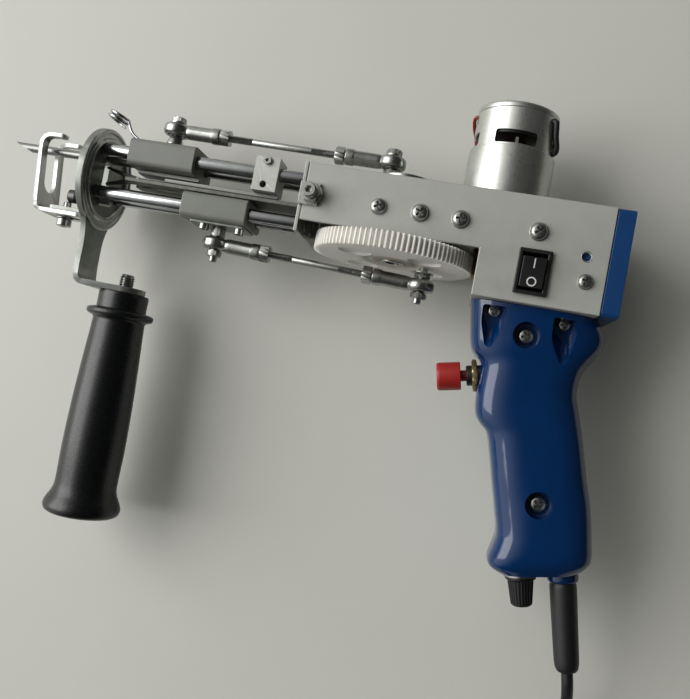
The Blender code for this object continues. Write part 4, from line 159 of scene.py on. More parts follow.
@dataclass(frozen=True)
class Finish:
    """Surface of a real material: its colours, gloss, and the grain that its making leaves.

    Patch, grain, bump, speck_size and the stain's places are millimetres. Patches mix the second colour
    in by blend, specks and stains lie over both, and edge is the colour laid on sharp outer edges:
    rubbed wear, and on the pressed sheet a painted highlight as well.
    """

    name: str
    slot: str
    colour: str
    second: str
    patch: float = 14.0
    blend: float = 0.5
    metallic: float = 0.0
    roughness: float = 0.5
    spread: float = 0.06
    grain: float = 0.4
    bump: float = 0.02
    stretch: Point = (1.0, 1.0, 1.0)
    ior: float = 1.5
    coat: float = 0.0
    subsurface: float = 0.0
    speck: str = ""
    speck_size: float = 1.2
    speck_share: float = 0.3
    edge: str = ""
    stain: str = ""
    stain_centre: Point = (0.0, 0.0, 0.0)
    stain_reach: Point = (8.0, 24.0)

    @staticmethod
    def _tint(tree: bpy.types.NodeTree, share: Any, colour: Any, tone: str) -> Any:
        """Mixes a tone over a colour by a share and returns the colour socket."""
        mix = add_node(tree, "ShaderNodeMix", {"data_type": "RGBA", 7: linear(tone)}, {0: share, 6: colour})
        return mix.outputs[2]

    def build(self, datum: Vector) -> bpy.types.Material:
        """Builds the material.

        Args:
            datum: world place of the datum, in metres.

        Returns:
            The node material.
        """
        material = bpy.data.materials.new(self.name)
        material.use_nodes = True
        tree = material.node_tree
        tree.nodes.clear()
        place = add_node(tree, "ShaderNodeTexCoord").outputs["Object"]
        drawn = add_node(tree, "ShaderNodeMapping", {"Scale": self.stretch}, {"Vector": place})
        clouds = add_node(
            tree, "ShaderNodeTexNoise", {"Scale": 1.0 / (self.patch * MM), "Detail": 4.0, "Roughness": 0.6},
            {"Vector": place},
        )
        grain = add_node(
            tree, "ShaderNodeTexNoise", {"Scale": 1.0 / (self.grain * MM), "Detail": 3.0, "Roughness": 0.55},
            {"Vector": drawn},
        )
        share = add_node(
            tree, "ShaderNodeMapRange", {"From Min": 0.36, "From Max": 0.66, "To Max": self.blend},
            {"Value": clouds},
        )
        base = add_node(
            tree, "ShaderNodeMix",
            {"data_type": "RGBA", 6: linear(self.colour), 7: linear(self.second)}, {0: share},
        )
        colour = base.outputs[2]
        if self.speck:
            dots = add_node(
                tree, "ShaderNodeTexNoise",
                {"Scale": 1.0 / (self.speck_size * MM), "Detail": 2.0, "Roughness": 0.7}, {"Vector": drawn},
            )
            low = 0.72 - 0.3 * self.speck_share
            cut = add_node(
                tree, "ShaderNodeMapRange", {"From Min": low, "From Max": low + 0.12, "To Max": 0.8},
                {"Value": dots},
            )
            colour = self._tint(tree, cut, colour, self.speck)
        if self.stain:
            centre = datum + Vector(self.stain_centre) * MM
            offset = add_node(tree, "ShaderNodeVectorMath", {"operation": "SUBTRACT", 1: centre}, {0: place})
            away = add_node(tree, "ShaderNodeVectorMath", {"operation": "LENGTH"}, {0: offset})
            ragged = add_node(
                tree, "ShaderNodeMath", {"operation": "MULTIPLY_ADD", 1: STAIN_WANDER},
                {0: clouds, 2: away.outputs["Value"]},
            )
            near, far = (reach * MM + STAIN_WANDER / 2.0 for reach in self.stain_reach)
            cut = add_node(
                tree, "ShaderNodeMapRange",
                {"From Min": near, "From Max": far, "To Min": 0.9, "To Max": 0.0},
                {"Value": ragged},
            )
            colour = self._tint(tree, cut, colour, self.stain)
        # Sharp outer edges take the edge colour: rubbed wear, and on the pressed sheet a painted highlight
        # as well
        if self.edge:
            shape = add_node(tree, "ShaderNodeNewGeometry")
            cut = add_node(
                tree, "ShaderNodeMapRange", {"From Min": 0.52, "From Max": 0.62, "To Max": 0.7},
                {"Value": shape.outputs["Pointiness"]},
            )
            colour = self._tint(tree, cut, colour, self.edge)
        gloss = add_node(
            tree, "ShaderNodeMapRange",
            {"From Min": 0.3, "From Max": 0.7, "To Min": self.roughness - self.spread,
             "To Max": self.roughness + self.spread},
            {"Value": grain},
        )
        relief = add_node(
            tree, "ShaderNodeBump", {"Strength": 0.6, "Distance": self.bump * MM},
            {"Height": grain},
        )
        shader = add_node(
            tree, "ShaderNodeBsdfPrincipled",
            {"Metallic": self.metallic, "IOR": self.ior, "Coat Weight": self.coat, "Coat Roughness": 0.08,
             "Subsurface Weight": self.subsurface, "Subsurface Scale": 0.002},
            {"Base Color": colour, "Roughness": gloss, "Normal": relief},
        )
        add_node(tree, "ShaderNodeOutputMaterial", None, {"Surface": shader})
        return material


# Clear-anodised extruded aluminium: satin grey with a faint mottle along the draw
TUBE = Finish(
    "clear_anodised_aluminium", "anodised_aluminium", "#afb1aa", "#a6a8a1", patch=9.0, blend=0.8,
    metallic=0.3, roughness=0.55, grain=0.35, bump=0.012, stretch=(0.25, 1.0, 1.0), speck="#b9bab4",
    speck_size=0.9, edge="#b9bab5",
)
# Sawn aluminium left bare: light, matt, with short scratches
BARE = Finish(
    "sawn_aluminium", "bare_aluminium", "#a9aaa4", "#8f908a", patch=4.0, metallic=0.6,
    grain=0.3, stretch=(1.0, 0.3, 1.0), speck="#c2c3bd", speck_size=0.8, edge="#cfd0cb",
)
# Pressed steel with bright zinc: cloudy grey, its edges painted light, partly rubbed wear and partly a
# painted highlight
PRESSED = Finish(
    "pressed_zinc_plate", "zinc_plated_steel", "#858883", "#6e716b", patch=6.0, blend=0.8, metallic=0.75,
    roughness=0.36, spread=0.1, grain=0.5, bump=0.015, speck="#91948e", speck_size=1.6, edge="#d9dbd7",
)
# Bare metal strip dulled by oil and dust and darkened as painted shade under the slider: grey brown, without
# light edges
OILED_AND_SHADED = Finish(
    "oil_dulled_shaded_steel", "bare_aluminium", "#686963", "#52534e", patch=3.0, blend=0.8, metallic=0.5,
    roughness=0.45, spread=0.1, grain=0.4, bump=0.015, speck="#84857f", speck_size=0.9, speck_share=0.25,
)
# Bright zinc on turned and cold-headed steel: fasteners and rod ends
ZINC = Finish(
    "bright_zinc", "zinc_plated_steel", "#a9aba7", "#8a8c88", patch=3.0, metallic=0.95, roughness=0.25,
    grain=0.25, bump=0.006, speck="#8a8b86", speck_size=0.7, speck_share=0.1, edge="#c6c7c3",
)
# Hard chrome on ground steel bar: mirror bright with ring-wise polish
CHROME = Finish(
    "hard_chrome", "chromed_steel", "#b3b5b7", "#9b9da0", patch=8.0, metallic=1.0, roughness=0.17,
    spread=0.03, grain=0.3, bump=0.002, stretch=(3.0, 0.4, 0.4),
)
# Oil-blackened tool steel: near black with a dull metal sheen
BLACKED = Finish(
    "oil_blackened_steel", "dark_steel", "#3c3d3c", "#2a2b2a", patch=3.0, metallic=0.85, roughness=0.38,
    grain=0.3, bump=0.008, speck="#5b5c5a", speck_size=0.8, speck_share=0.12, edge="#8c8d8a",
)
# Ground bearing steel: clean bright grey
BEARING = Finish(
    "ground_bearing_steel", "bearing_steel", "#a7a8a9", "#939495", patch=5.0, metallic=1.0, roughness=0.24,
    grain=0.3, bump=0.003,
)
# Galvanised deep-drawn steel: brushed along the can with a soft grey sheen
GALVANISED = Finish(
    "galvanised_motor_steel", "motor_steel", "#c6c8c3", "#b4b6b1", patch=5.0, metallic=0.9, roughness=0.33,
    spread=0.08, grain=0.35, bump=0.006, stretch=(1.0, 0.12, 1.0), edge="#d5d6d2",
)
# Laminations and windings of the rotor: rusty iron and lacquered copper
ROTOR_IRON = Finish(
    "lacquered_rotor", "copper_rotor", "#6b4632", "#4a342a", patch=2.5, metallic=0.5,
    grain=0.3, bump=0.04, speck="#a86a3f", speck_size=0.8,
)
# Moulded natural nylon, slightly waxy and nearly white, with brown grease worked in round its hub
NYLON = Finish(
    "natural_nylon", "white_nylon", "#f0eee8", "#e8e6df", patch=10.0, roughness=0.42, grain=0.5, bump=0.006,
    subsurface=0.12, speck="#c9c2b4", speck_size=1.4, speck_share=0.1, stain="#857560",
    stain_centre=(-41.4, -38.0, 0.0), stain_reach=(7.0, 20.0),
)
# Machined acetal: milky grey, with a skin that lets a little light in
ACETAL = Finish(
    "milky_acetal", "grey_nylon", "#6e706a", "#62645e", patch=7.0, roughness=0.4, grain=0.4, bump=0.008,
    subsurface=0.1, speck="#7f817b", speck_size=1.0, speck_share=0.15, edge="#969892",
)
# Glossy injection-moulded ABS: deep blue, very smooth
GRIP_ABS = Finish(
    "glossy_blue_abs", "blue_plastic", "#032d5c", "#032854", patch=20.0, roughness=0.11, spread=0.03,
    grain=1.2, bump=0.003, coat=0.2, ior=1.49,
)
# Satin moulded ABS of the end cap: flatter, brighter blue
CAP_ABS = Finish(
    "satin_blue_abs", "cap_blue", "#023a70", "#023567", patch=12.0, roughness=0.42, grain=0.5, bump=0.008,
)
# Moulded black polyamide: even black with a fine texture
BLACK = Finish(
    "black_polyamide", "black_plastic", "#101112", "#151617", patch=6.0, roughness=0.4, spread=0.05,
    grain=0.6, bump=0.012,
)
# Grained nylon of the side handle: semi-gloss black, its pebbles drawn at 1.1 mm so that they show
HANDLE = Finish(
    "pebbled_black_nylon", "black_plastic", "#0f1112", "#151717", patch=7.0, roughness=0.31, grain=1.1,
    bump=0.05,
)
# Extruded black PVC of the lead and its sleeve: soft sheen
RUBBER = Finish(
    "black_pvc", "black_rubber", "#151617", "#1c1d1e", patch=9.0, roughness=0.46, grain=0.5, bump=0.01,
)
# Moulded red plastic of the button: even colour with a soft shine
RED = Finish(
    "red_moulded_plastic", "red_plastic", "#a32320", "#931d1b", patch=5.0, roughness=0.42, grain=0.5,
    bump=0.01,
)
# Turned brass, dulled: pale beige yellow
BRASS = Finish(
    "dull_brass", "brass", "#a08a62", "#8a7550", patch=2.0, metallic=0.85, roughness=0.35, grain=0.3,
    bump=0.01, speck="#b9a377", speck_size=0.6,
)
# White pad-printed ink of the switch marks
INK = Finish("white_print", "black_plastic", "#dcdcd8", "#d2d2ce", patch=1.0, roughness=0.55, bump=0.002)
# Red PVC skin of a lead wire: dull and dark
RED_LEAD = Finish(
    "red_lead_wire", "black_rubber", "#7e1f1d", "#6b1918", patch=2.0, roughness=0.4, bump=0.004,
)
# Drawn steel needle, darkened by heat: grey with a soft satin along its length
NEEDLE_STEEL = Finish(
    "satin_needle_steel", "chromed_steel", "#6f706e", "#5c5d5b", patch=6.0, metallic=0.95, roughness=0.3,
    grain=0.3, bump=0.004, stretch=(0.1, 1.0, 1.0), edge="#b9bab7",
)
# Painted table board: pale and matt with broad, faint clouds
TABLE = Finish("pale_table", "", "#cfcfc8", "#cacac3", patch=120.0, roughness=0.75, grain=1.5, bump=0.01)

NODE_FINISHES = {
    "anodised_aluminium": TUBE, "bare_aluminium": BARE, "zinc_plated_steel": ZINC, "chromed_steel": CHROME,
    "dark_steel": BLACKED, "bearing_steel": BEARING, "motor_steel": GALVANISED, "white_nylon": NYLON,
    "grey_nylon": ACETAL, "blue_plastic": GRIP_ABS, "cap_blue": CAP_ABS, "black_plastic": BLACK,
    "black_rubber": RUBBER, "red_plastic": RED, "brass": BRASS, "copper_rotor": ROTOR_IRON,
}


def hexagon(angle: float) -> float:
    """Reach of a hexagon at an angle, as a share of its corner radius."""
    return math.cos(math.pi / 6.0) / math.cos(angle % (math.pi / 3.0) - math.pi / 6.0)


def rounded(points: Sequence[Point], closed: bool = False, steps: int = 4) -> list[Point]:
    """Rounds the corners of a line.

    Args:
        points: corners, each with its rounding length as the last number.
        closed: whether the last corner joins the first.
        steps: pieces of each rounded corner.

    Returns:
        The points of the rounded line.
    """
    line: list[Point] = []
    count = len(points)
    for index, (*place, reach) in enumerate(points):
        corner = Vector(place)
        if reach <= 0.0 or (not closed and index in (0, count - 1)):
            line.append(tuple(corner))
            continue
        before = Vector(points[index - 1][:-1]) - corner
        after = Vector(points[(index + 1) % count][:-1]) - corner
        start = corner + before.normalized() * min(reach, before.length * 0.49)
        end = corner + after.normalized() * min(reach, after.length * 0.49)
        for step in range(steps + 1):
            t = step / steps
            line.append(tuple(start * (1 - t) ** 2 + corner * (2 * t * (1 - t)) + end * t ** 2))
    return line


def eased(place: float) -> float:
    """Smooth rise from 0 to 1 as the place goes from 0 to 1."""
    t = min(max(place, 0.0), 1.0)
    return t * t * (3.0 - 2.0 * t)


def circle(radius: float, centre: Point = (0.0, 0.0), steps: int = 32) -> list[Point]:
    """Points of a circle in a plane."""
    turns = [TURN * index / steps for index in range(steps)]
    return [(centre[0] + radius * math.cos(turn), centre[1] + radius * math.sin(turn)) for turn in turns]


def rectangle(low: Point, high: Point, reach: float = 0.0) -> list[Point]:
    """Corners of a rectangle, rounded by a reach.

    Args:
        low: its lower left corner.
        high: its upper right corner.
        reach: length of each corner's rounding.

    Returns:
        The points of its outline.
    """
    (left, foot), (right, top) = low, high
    corners = [(left, foot), (right, foot), (right, top), (left, top)]
    return rounded([(*corner, reach) for corner in corners], True)


def shifted(rows: Sequence[Point], along: float) -> list[Point]:
    """Profile rows of (radius, place, ...) with their places moved."""
    return [(row[0], row[1] + along, *row[2:]) for row in rows]


def thread(
    crest: float, root: float, start: float, end: float, pitch: float, fall: float,
) -> tuple[list[Point], float]:
    """Zigzag profile of a thread.

    Args:
        crest: radius of the crests.
        root: radius of the roots.
        start: place of the first crest.
        end: place that the last crest stays below.
        pitch: step from crest to crest.
        fall: step from a crest to its root.

    Returns:
        The rows of (radius, place) and the place of the next crest.
    """
    rows: list[Point] = []
    place = start
    while place < end:
        rows += [(crest, place), (root, place + fall)]
        place += pitch
    return rows, place


def smooth_line(points: Sequence[Point], steps: int = 6) -> list[Point]:
    """Smooth line through points.

    Args:
        points: places that the line passes.
        steps: pieces between two places.

    Returns:
        The points of the line.
    """
    spots = [Vector(point) for point in points]
    line: list[Point] = []
    for index in range(len(spots) - 1):
        before, start = spots[max(index - 1, 0)], spots[index]
        end, after = spots[index + 1], spots[min(index + 2, len(spots) - 1)]
        for step in range(steps):
            t = step / steps
            line.append(tuple(0.5 * (
                2.0 * start + (end - before) * t + (2.0 * before - 5.0 * start + 4.0 * end - after) * t ** 2
                + (3.0 * start - before - 3.0 * end + after) * t ** 3
            )))
    line.append(tuple(spots[-1]))
    return line


def smooth_value(table: Sequence[Point], at: float) -> float:
    """Value of a table of (place, value) pairs at a place, on a smooth curve.

    Args:
        table: pairs in rising order of place.
        at: place to read.

    Returns:
        The value there.
    """
    last = len(table) - 1
    index = next((i for i in range(last) if at <= table[i + 1][0]), last - 1)
    before, start = table[max(index - 1, 0)], table[index]
    end, after = table[index + 1], table[min(index + 2, last)]
    span = end[0] - start[0]
    t = min(max((at - start[0]) / span, 0.0), 1.0)
    rise = (end[1] - before[1]) / (end[0] - before[0]) * span
    fall = (after[1] - start[1]) / (after[0] - start[0]) * span
    h = t * t * (3.0 - 2.0 * t)
    return start[1] * (1.0 - h) + end[1] * h + t * (1.0 - t) ** 2 * rise + t * t * (t - 1.0) * fall


class Rail:
    """A line in the X-Y plane that a flat sheet is bent along."""

    def __init__(self, corners: Sequence[Point]) -> None:
        """Measures the line.

        Args:
            corners: its corners as (x, y, rounding).
        """
        self.spots = [Vector(point) for point in rounded(corners, steps=8)]
        self.places = [0.0]
        for first, second in zip(self.spots, self.spots[1:]):
            self.places.append(self.places[-1] + (second - first).length)

    @property
    def length(self) -> float:
        """Whole length of the rail."""
        return self.places[-1]

    def at(self, place: float, rise: float) -> tuple[float, float]:
        """Point beside the rail.

        Args:
            place: length along the rail.
            rise: distance to its left.

        Returns:
            X and Y of the point.
        """
        last = len(self.spots) - 2
        index = next((i for i in range(last) if place <= self.places[i + 1]), last)
        heads = [(self.spots[i + 1] - self.spots[i]).normalized() for i in range(last + 1)]
        first = (heads[max(index - 1, 0)] + heads[index]).normalized()
        second = (heads[index] + heads[min(index + 1, last)]).normalized()
        span = self.places[index + 1] - self.places[index]
        t = (place - self.places[index]) / span
        ahead = first.lerp(second, min(max(t, 0.0), 1.0)).normalized()
        spot = self.spots[index].lerp(self.spots[index + 1], t)
        return spot.x - ahead.y * rise, spot.y + ahead.x * rise


class Shape:
    """A mesh in the making, in millimetres from the datum."""

    def __init__(self) -> None:
        """Starts empty."""
        self.mesh = bmesh.new()

    def skin(self, rings: Sequence[Sequence[Vector]], closed: bool = False) -> "Shape":
        """Joins rings of equal count by faces.

        Args:
            rings: points of each ring.
            closed: whether the last ring joins the first, or else both ends are filled.

        Returns:
            The shape.
        """
        rows = [[self.mesh.verts.new(point) for point in ring] for ring in rings]
        pairs = list(zip(rows, rows[1:]))
        if closed:
            pairs.append((rows[-1], rows[0]))
        for first, second in pairs:
            for index in range(len(first)):
                other = (index + 1) % len(first)
                self.mesh.faces.new((first[index], first[other], second[other], second[index]))
        if not closed:
            for row in (rows[0], rows[-1]):
                if (row[0].co - row[1].co).length > 1e-6:
                    self.mesh.faces.new(row)
        return self

    def lathe(
        self, axis: Axis, profile: Sequence[Point], centre: Point = (0.0, 0.0), steps: int = 64,
        closed: bool = False,
    ) -> "Shape":
        """Turns a profile round an axis.

        Args:
            axis: axis of the turning.
            profile: rows of (radius, place), and a third number where a hexagon of that corner
                radius cuts the round.
            centre: where the axis crosses its plane.
            steps: points of a ring.
            closed: whether the profile is a loop.

        Returns:
            The shape.
        """
        rings = []
        for radius, height, *corner in profile:
            ring = []
            for index in range(steps):
                angle = TURN * index / steps
                reach = min(radius, corner[0] * hexagon(angle)) if corner else radius
                ring.append(axis.point(
                    height, centre[0] + reach * math.cos(angle), centre[1] + reach * math.sin(angle),
                ))
            rings.append(ring)
        return self.skin(rings, closed)

    def prism(
        self, axis: Axis, outline: Sequence[Point], low: float, high: float,
        holes: Sequence[Sequence[Point]] = (),
    ) -> "Shape":
        """Raises a flat outline with holes to a plate.

        Args:
            axis: direction of the thickness.
            outline: corners of the plate.
            low: where the plate begins on the axis.
            high: where it ends.
            holes: outlines of its holes.

        Returns:
            The shape.
        """
        loops = []
        edges = []
        for loop in (outline, *holes):
            row = [self.mesh.verts.new(axis.point(low, *point)) for point in loop]
            loops.append(row)
            edges += [self.mesh.edges.new((row[i - 1], row[i])) for i in range(len(row))]
        filled = bmesh.ops.triangle_fill(self.mesh, use_beauty=True, edges=edges)
        faces = [item for item in filled["geom"] if isinstance(item, bmesh.types.BMFace)]
        lift = axis.point(high - low, 0.0, 0.0)
        upper = {vert: self.mesh.verts.new(vert.co + lift) for row in loops for vert in row}
        for face in faces:
            self.mesh.faces.new([upper[vert] for vert in reversed(face.verts)])
        for row in loops:
            for index in range(len(row)):
                first, second = row[index - 1], row[index]
                self.mesh.faces.new((first, second, upper[second], upper[first]))
        return self

    def bend(self, rail: Rail) -> "Shape":
        """Bends a sheet that lies along X and is thick in Y.

        Args:
            rail: line to bend it along.

        Returns:
            The shape.
        """
        for place in rail.places[1:-1]:
            parts = list(self.mesh.verts) + list(self.mesh.edges) + list(self.mesh.faces)
            spot, way = (place, 0.0, 0.0), (1.0, 0.0, 0.0)
            bmesh.ops.bisect_plane(self.mesh, geom=parts, plane_co=spot, plane_no=way)
        for vert in self.mesh.verts:
            x, y = rail.at(vert.co.x, vert.co.y)
            vert.co = Vector((x, y, vert.co.z))
        return self

    def moved(self, matrix: Matrix) -> "Shape":
        """Moves the shape by a matrix."""
        self.mesh.transform(matrix)
        return self

    def join(self, *others: "Shape") -> "Shape":
        """Takes other shapes into this one.

        Args:
            others: shapes to take in, which are used up.

        Returns:
            The shape.
        """
        for other in others:
            spare = bpy.data.meshes.new("spare")
            other.mesh.to_mesh(spare)
            self.mesh.from_mesh(spare)
            bpy.data.meshes.remove(spare)
            other.mesh.free()
        return self

    def tidy(self) -> "Shape":
        """Merges doubles and turns the faces outwards.

        Returns:
            The shape.
        """
        bmesh.ops.remove_doubles(self.mesh, verts=self.mesh.verts, dist=MERGE)
        bmesh.ops.dissolve_degenerate(self.mesh, dist=SLIVER, edges=self.mesh.edges)
        bmesh.ops.recalc_face_normals(self.mesh, faces=self.mesh.faces)
        return self

    def loose(self, name: str) -> bpy.types.Object:
        """Scratch object with this mesh, still in millimetres.

        Args:
            name: name of the object.

        Returns:
            The object.
        """
        mesh = bpy.data.meshes.new(name)
        self.tidy().mesh.to_mesh(mesh)
        self.mesh.free()
        scratch = bpy.data.objects.new(name, mesh)
        bpy.context.scene.collection.objects.link(scratch)
        return scratch


def baked(item: bpy.types.Object) -> bpy.types.Mesh:
    """Plain mesh of an object with its modifiers applied.

    Args:
        item: object to read.

    Returns:
        The new mesh.
    """
    graph = bpy.context.evaluated_depsgraph_get()
    graph.update()
    return bpy.data.meshes.new_from_object(item.evaluated_get(graph))


def from_mesh(mesh: bpy.types.Mesh) -> Shape:
    """Shape with a copy of a mesh.

    Args:
        mesh: mesh to copy.

    Returns:
        The new shape.
    """
    shape = Shape()
    shape.mesh.from_mesh(mesh)
    return shape


def carved(body: Shape, cutters: Sequence[Shape]) -> Shape:
    """Cuts shapes out of a body.

    Args:
        body: closed shape to cut.
        cutters: closed shapes to take away, in order.

    Returns:
        The cut shape.
    """
    item = body.loose("carved")
    tools = [cutter.loose("cutter") for cutter in cutters]
    for tool in tools:
        cut = item.modifiers.new("cut", "BOOLEAN")
        cut.operation = "DIFFERENCE"
        cut.solver = "EXACT"
        cut.object = tool
    shape = from_mesh(baked(item))
    for spare in (item, *tools):
        bpy.data.objects.remove(spare)
    return shape


class Pattern(Enum):
    """Ways in which Geometry Nodes lay out a piece."""

    RING = "ring"
    POINTS = "points"
    WIRE = "wire"


class Layout:
    """Geometry Nodes trees that repeat a piece round a ring or on points, or draw a wire along a line."""

    def __init__(self) -> None:
        """Builds the three trees."""
        self.sockets: dict[Pattern, dict[str, str]] = {}
        self.trees = {pattern: self._start(pattern) for pattern in Pattern}

    def _start(self, pattern: Pattern) -> bpy.types.NodeTree:
        """Builds the tree of one pattern and keeps its sockets' identifiers.

        Args:
            pattern: which tree.

        Returns:
            The tree.
        """
        tree = bpy.data.node_groups.new(f"layout_{pattern.value}", "GeometryNodeTree")
        kinds = {"Geometry": "NodeSocketGeometry", "Finish": "NodeSocketMaterial"}
        if pattern is Pattern.WIRE:
            kinds |= {"Radius": "NodeSocketFloat", "Sides": "NodeSocketInt"}
        else:
            kinds |= {"Piece": "NodeSocketObject"}
        if pattern is Pattern.RING:
            kinds |= {"Count": "NodeSocketInt", "Radius": "NodeSocketFloat"}
        found = {}
        for name, kind in kinds.items():
            found[name] = tree.interface.new_socket(name=name, in_out="INPUT", socket_type=kind).identifier
        tree.interface.new_socket(name="Geometry", in_out="OUTPUT", socket_type="NodeSocketGeometry")
        self.sockets[pattern] = found
        given = add_node(tree, "NodeGroupInput").outputs
        if pattern is Pattern.WIRE:
            made = self._wire(tree, given)
        else:
            made = self._repeat(tree, given, pattern)
        solid = add_node(tree, "GeometryNodeRealizeInstances", None, {"Geometry": made})
        painted = add_node(
            tree, "GeometryNodeSetMaterial", None,
            {"Geometry": solid, "Material": given["Finish"]},
        )
        add_node(tree, "NodeGroupOutput", None, {"Geometry": painted})
        return tree

    @staticmethod
    def _wire(tree: bpy.types.NodeTree, given: Any) -> Any:
        """Round wire along the object's own line.

        Args:
            tree: tree that gets the nodes.
            given: sockets of its inputs.

        Returns:
            The node that ends it.
        """
        line = add_node(tree, "GeometryNodeMeshToCurve", None, {"Mesh": given["Geometry"]})
        section = add_node(
            tree, "GeometryNodeCurvePrimitiveCircle", None,
            {"Resolution": given["Sides"], "Radius": given["Radius"]},
        )
        return add_node(
            tree, "GeometryNodeCurveToMesh", {"Fill Caps": True}, {"Curve": line, "Profile Curve": section},
        )

    @staticmethod
    def _repeat(tree: bpy.types.NodeTree, given: Any, pattern: Pattern) -> Any:
        """Piece on each point, turned and sized by the points' attributes or round the ring.

        Args:
            tree: tree that gets the nodes.
            given: sockets of its inputs.
            pattern: ring or points.

        Returns:
            The node that ends it.
        """
        source = add_node(tree, "GeometryNodeObjectInfo", None, {"Object": given["Piece"]})
        if pattern is Pattern.RING:
            ring = add_node(
                tree, "GeometryNodeMeshCircle", None,
                {"Vertices": given["Count"], "Radius": given["Radius"]},
            )
            step = add_node(tree, "ShaderNodeMath", {"operation": "DIVIDE", 0: TURN}, {1: given["Count"]})
            index = add_node(tree, "GeometryNodeInputIndex")
            angle = add_node(tree, "ShaderNodeMath", {"operation": "MULTIPLY"}, {0: index, 1: step})
            turn = add_node(tree, "ShaderNodeCombineXYZ", None, {"Z": angle})
            return add_node(
                tree, "GeometryNodeInstanceOnPoints", None,
                {"Points": ring, "Instance": source.outputs["Geometry"], "Rotation": turn},
            )
        kind = "GeometryNodeInputNamedAttribute"
        turn, size = (
            add_node(tree, kind, {"data_type": "FLOAT_VECTOR", "Name": name}) for name in ("turn", "size")
        )
        return add_node(
            tree, "GeometryNodeInstanceOnPoints", None,
            {"Points": given["Geometry"], "Instance": source.outputs["Geometry"], "Rotation": turn,
             "Scale": size},
        )

    def run(self, pattern: Pattern, mesh: bpy.types.Mesh, values: dict[str, Any]) -> Shape:
        """Runs a tree on a mesh.

        Args:
            pattern: which tree.
            mesh: points or line that the tree reads.
            values: inputs by name.

        Returns:
            The laid out shape.
        """
        carrier = bpy.data.objects.new("layout", mesh)
        bpy.context.scene.collection.objects.link(carrier)
        nodes = carrier.modifiers.new("layout", "NODES")
        nodes.node_group = self.trees[pattern]
        for name, value in values.items():
            nodes[self.sockets[pattern][name]] = value
        shape = from_mesh(baked(carrier))
        bpy.data.objects.remove(carrier)
        return shape


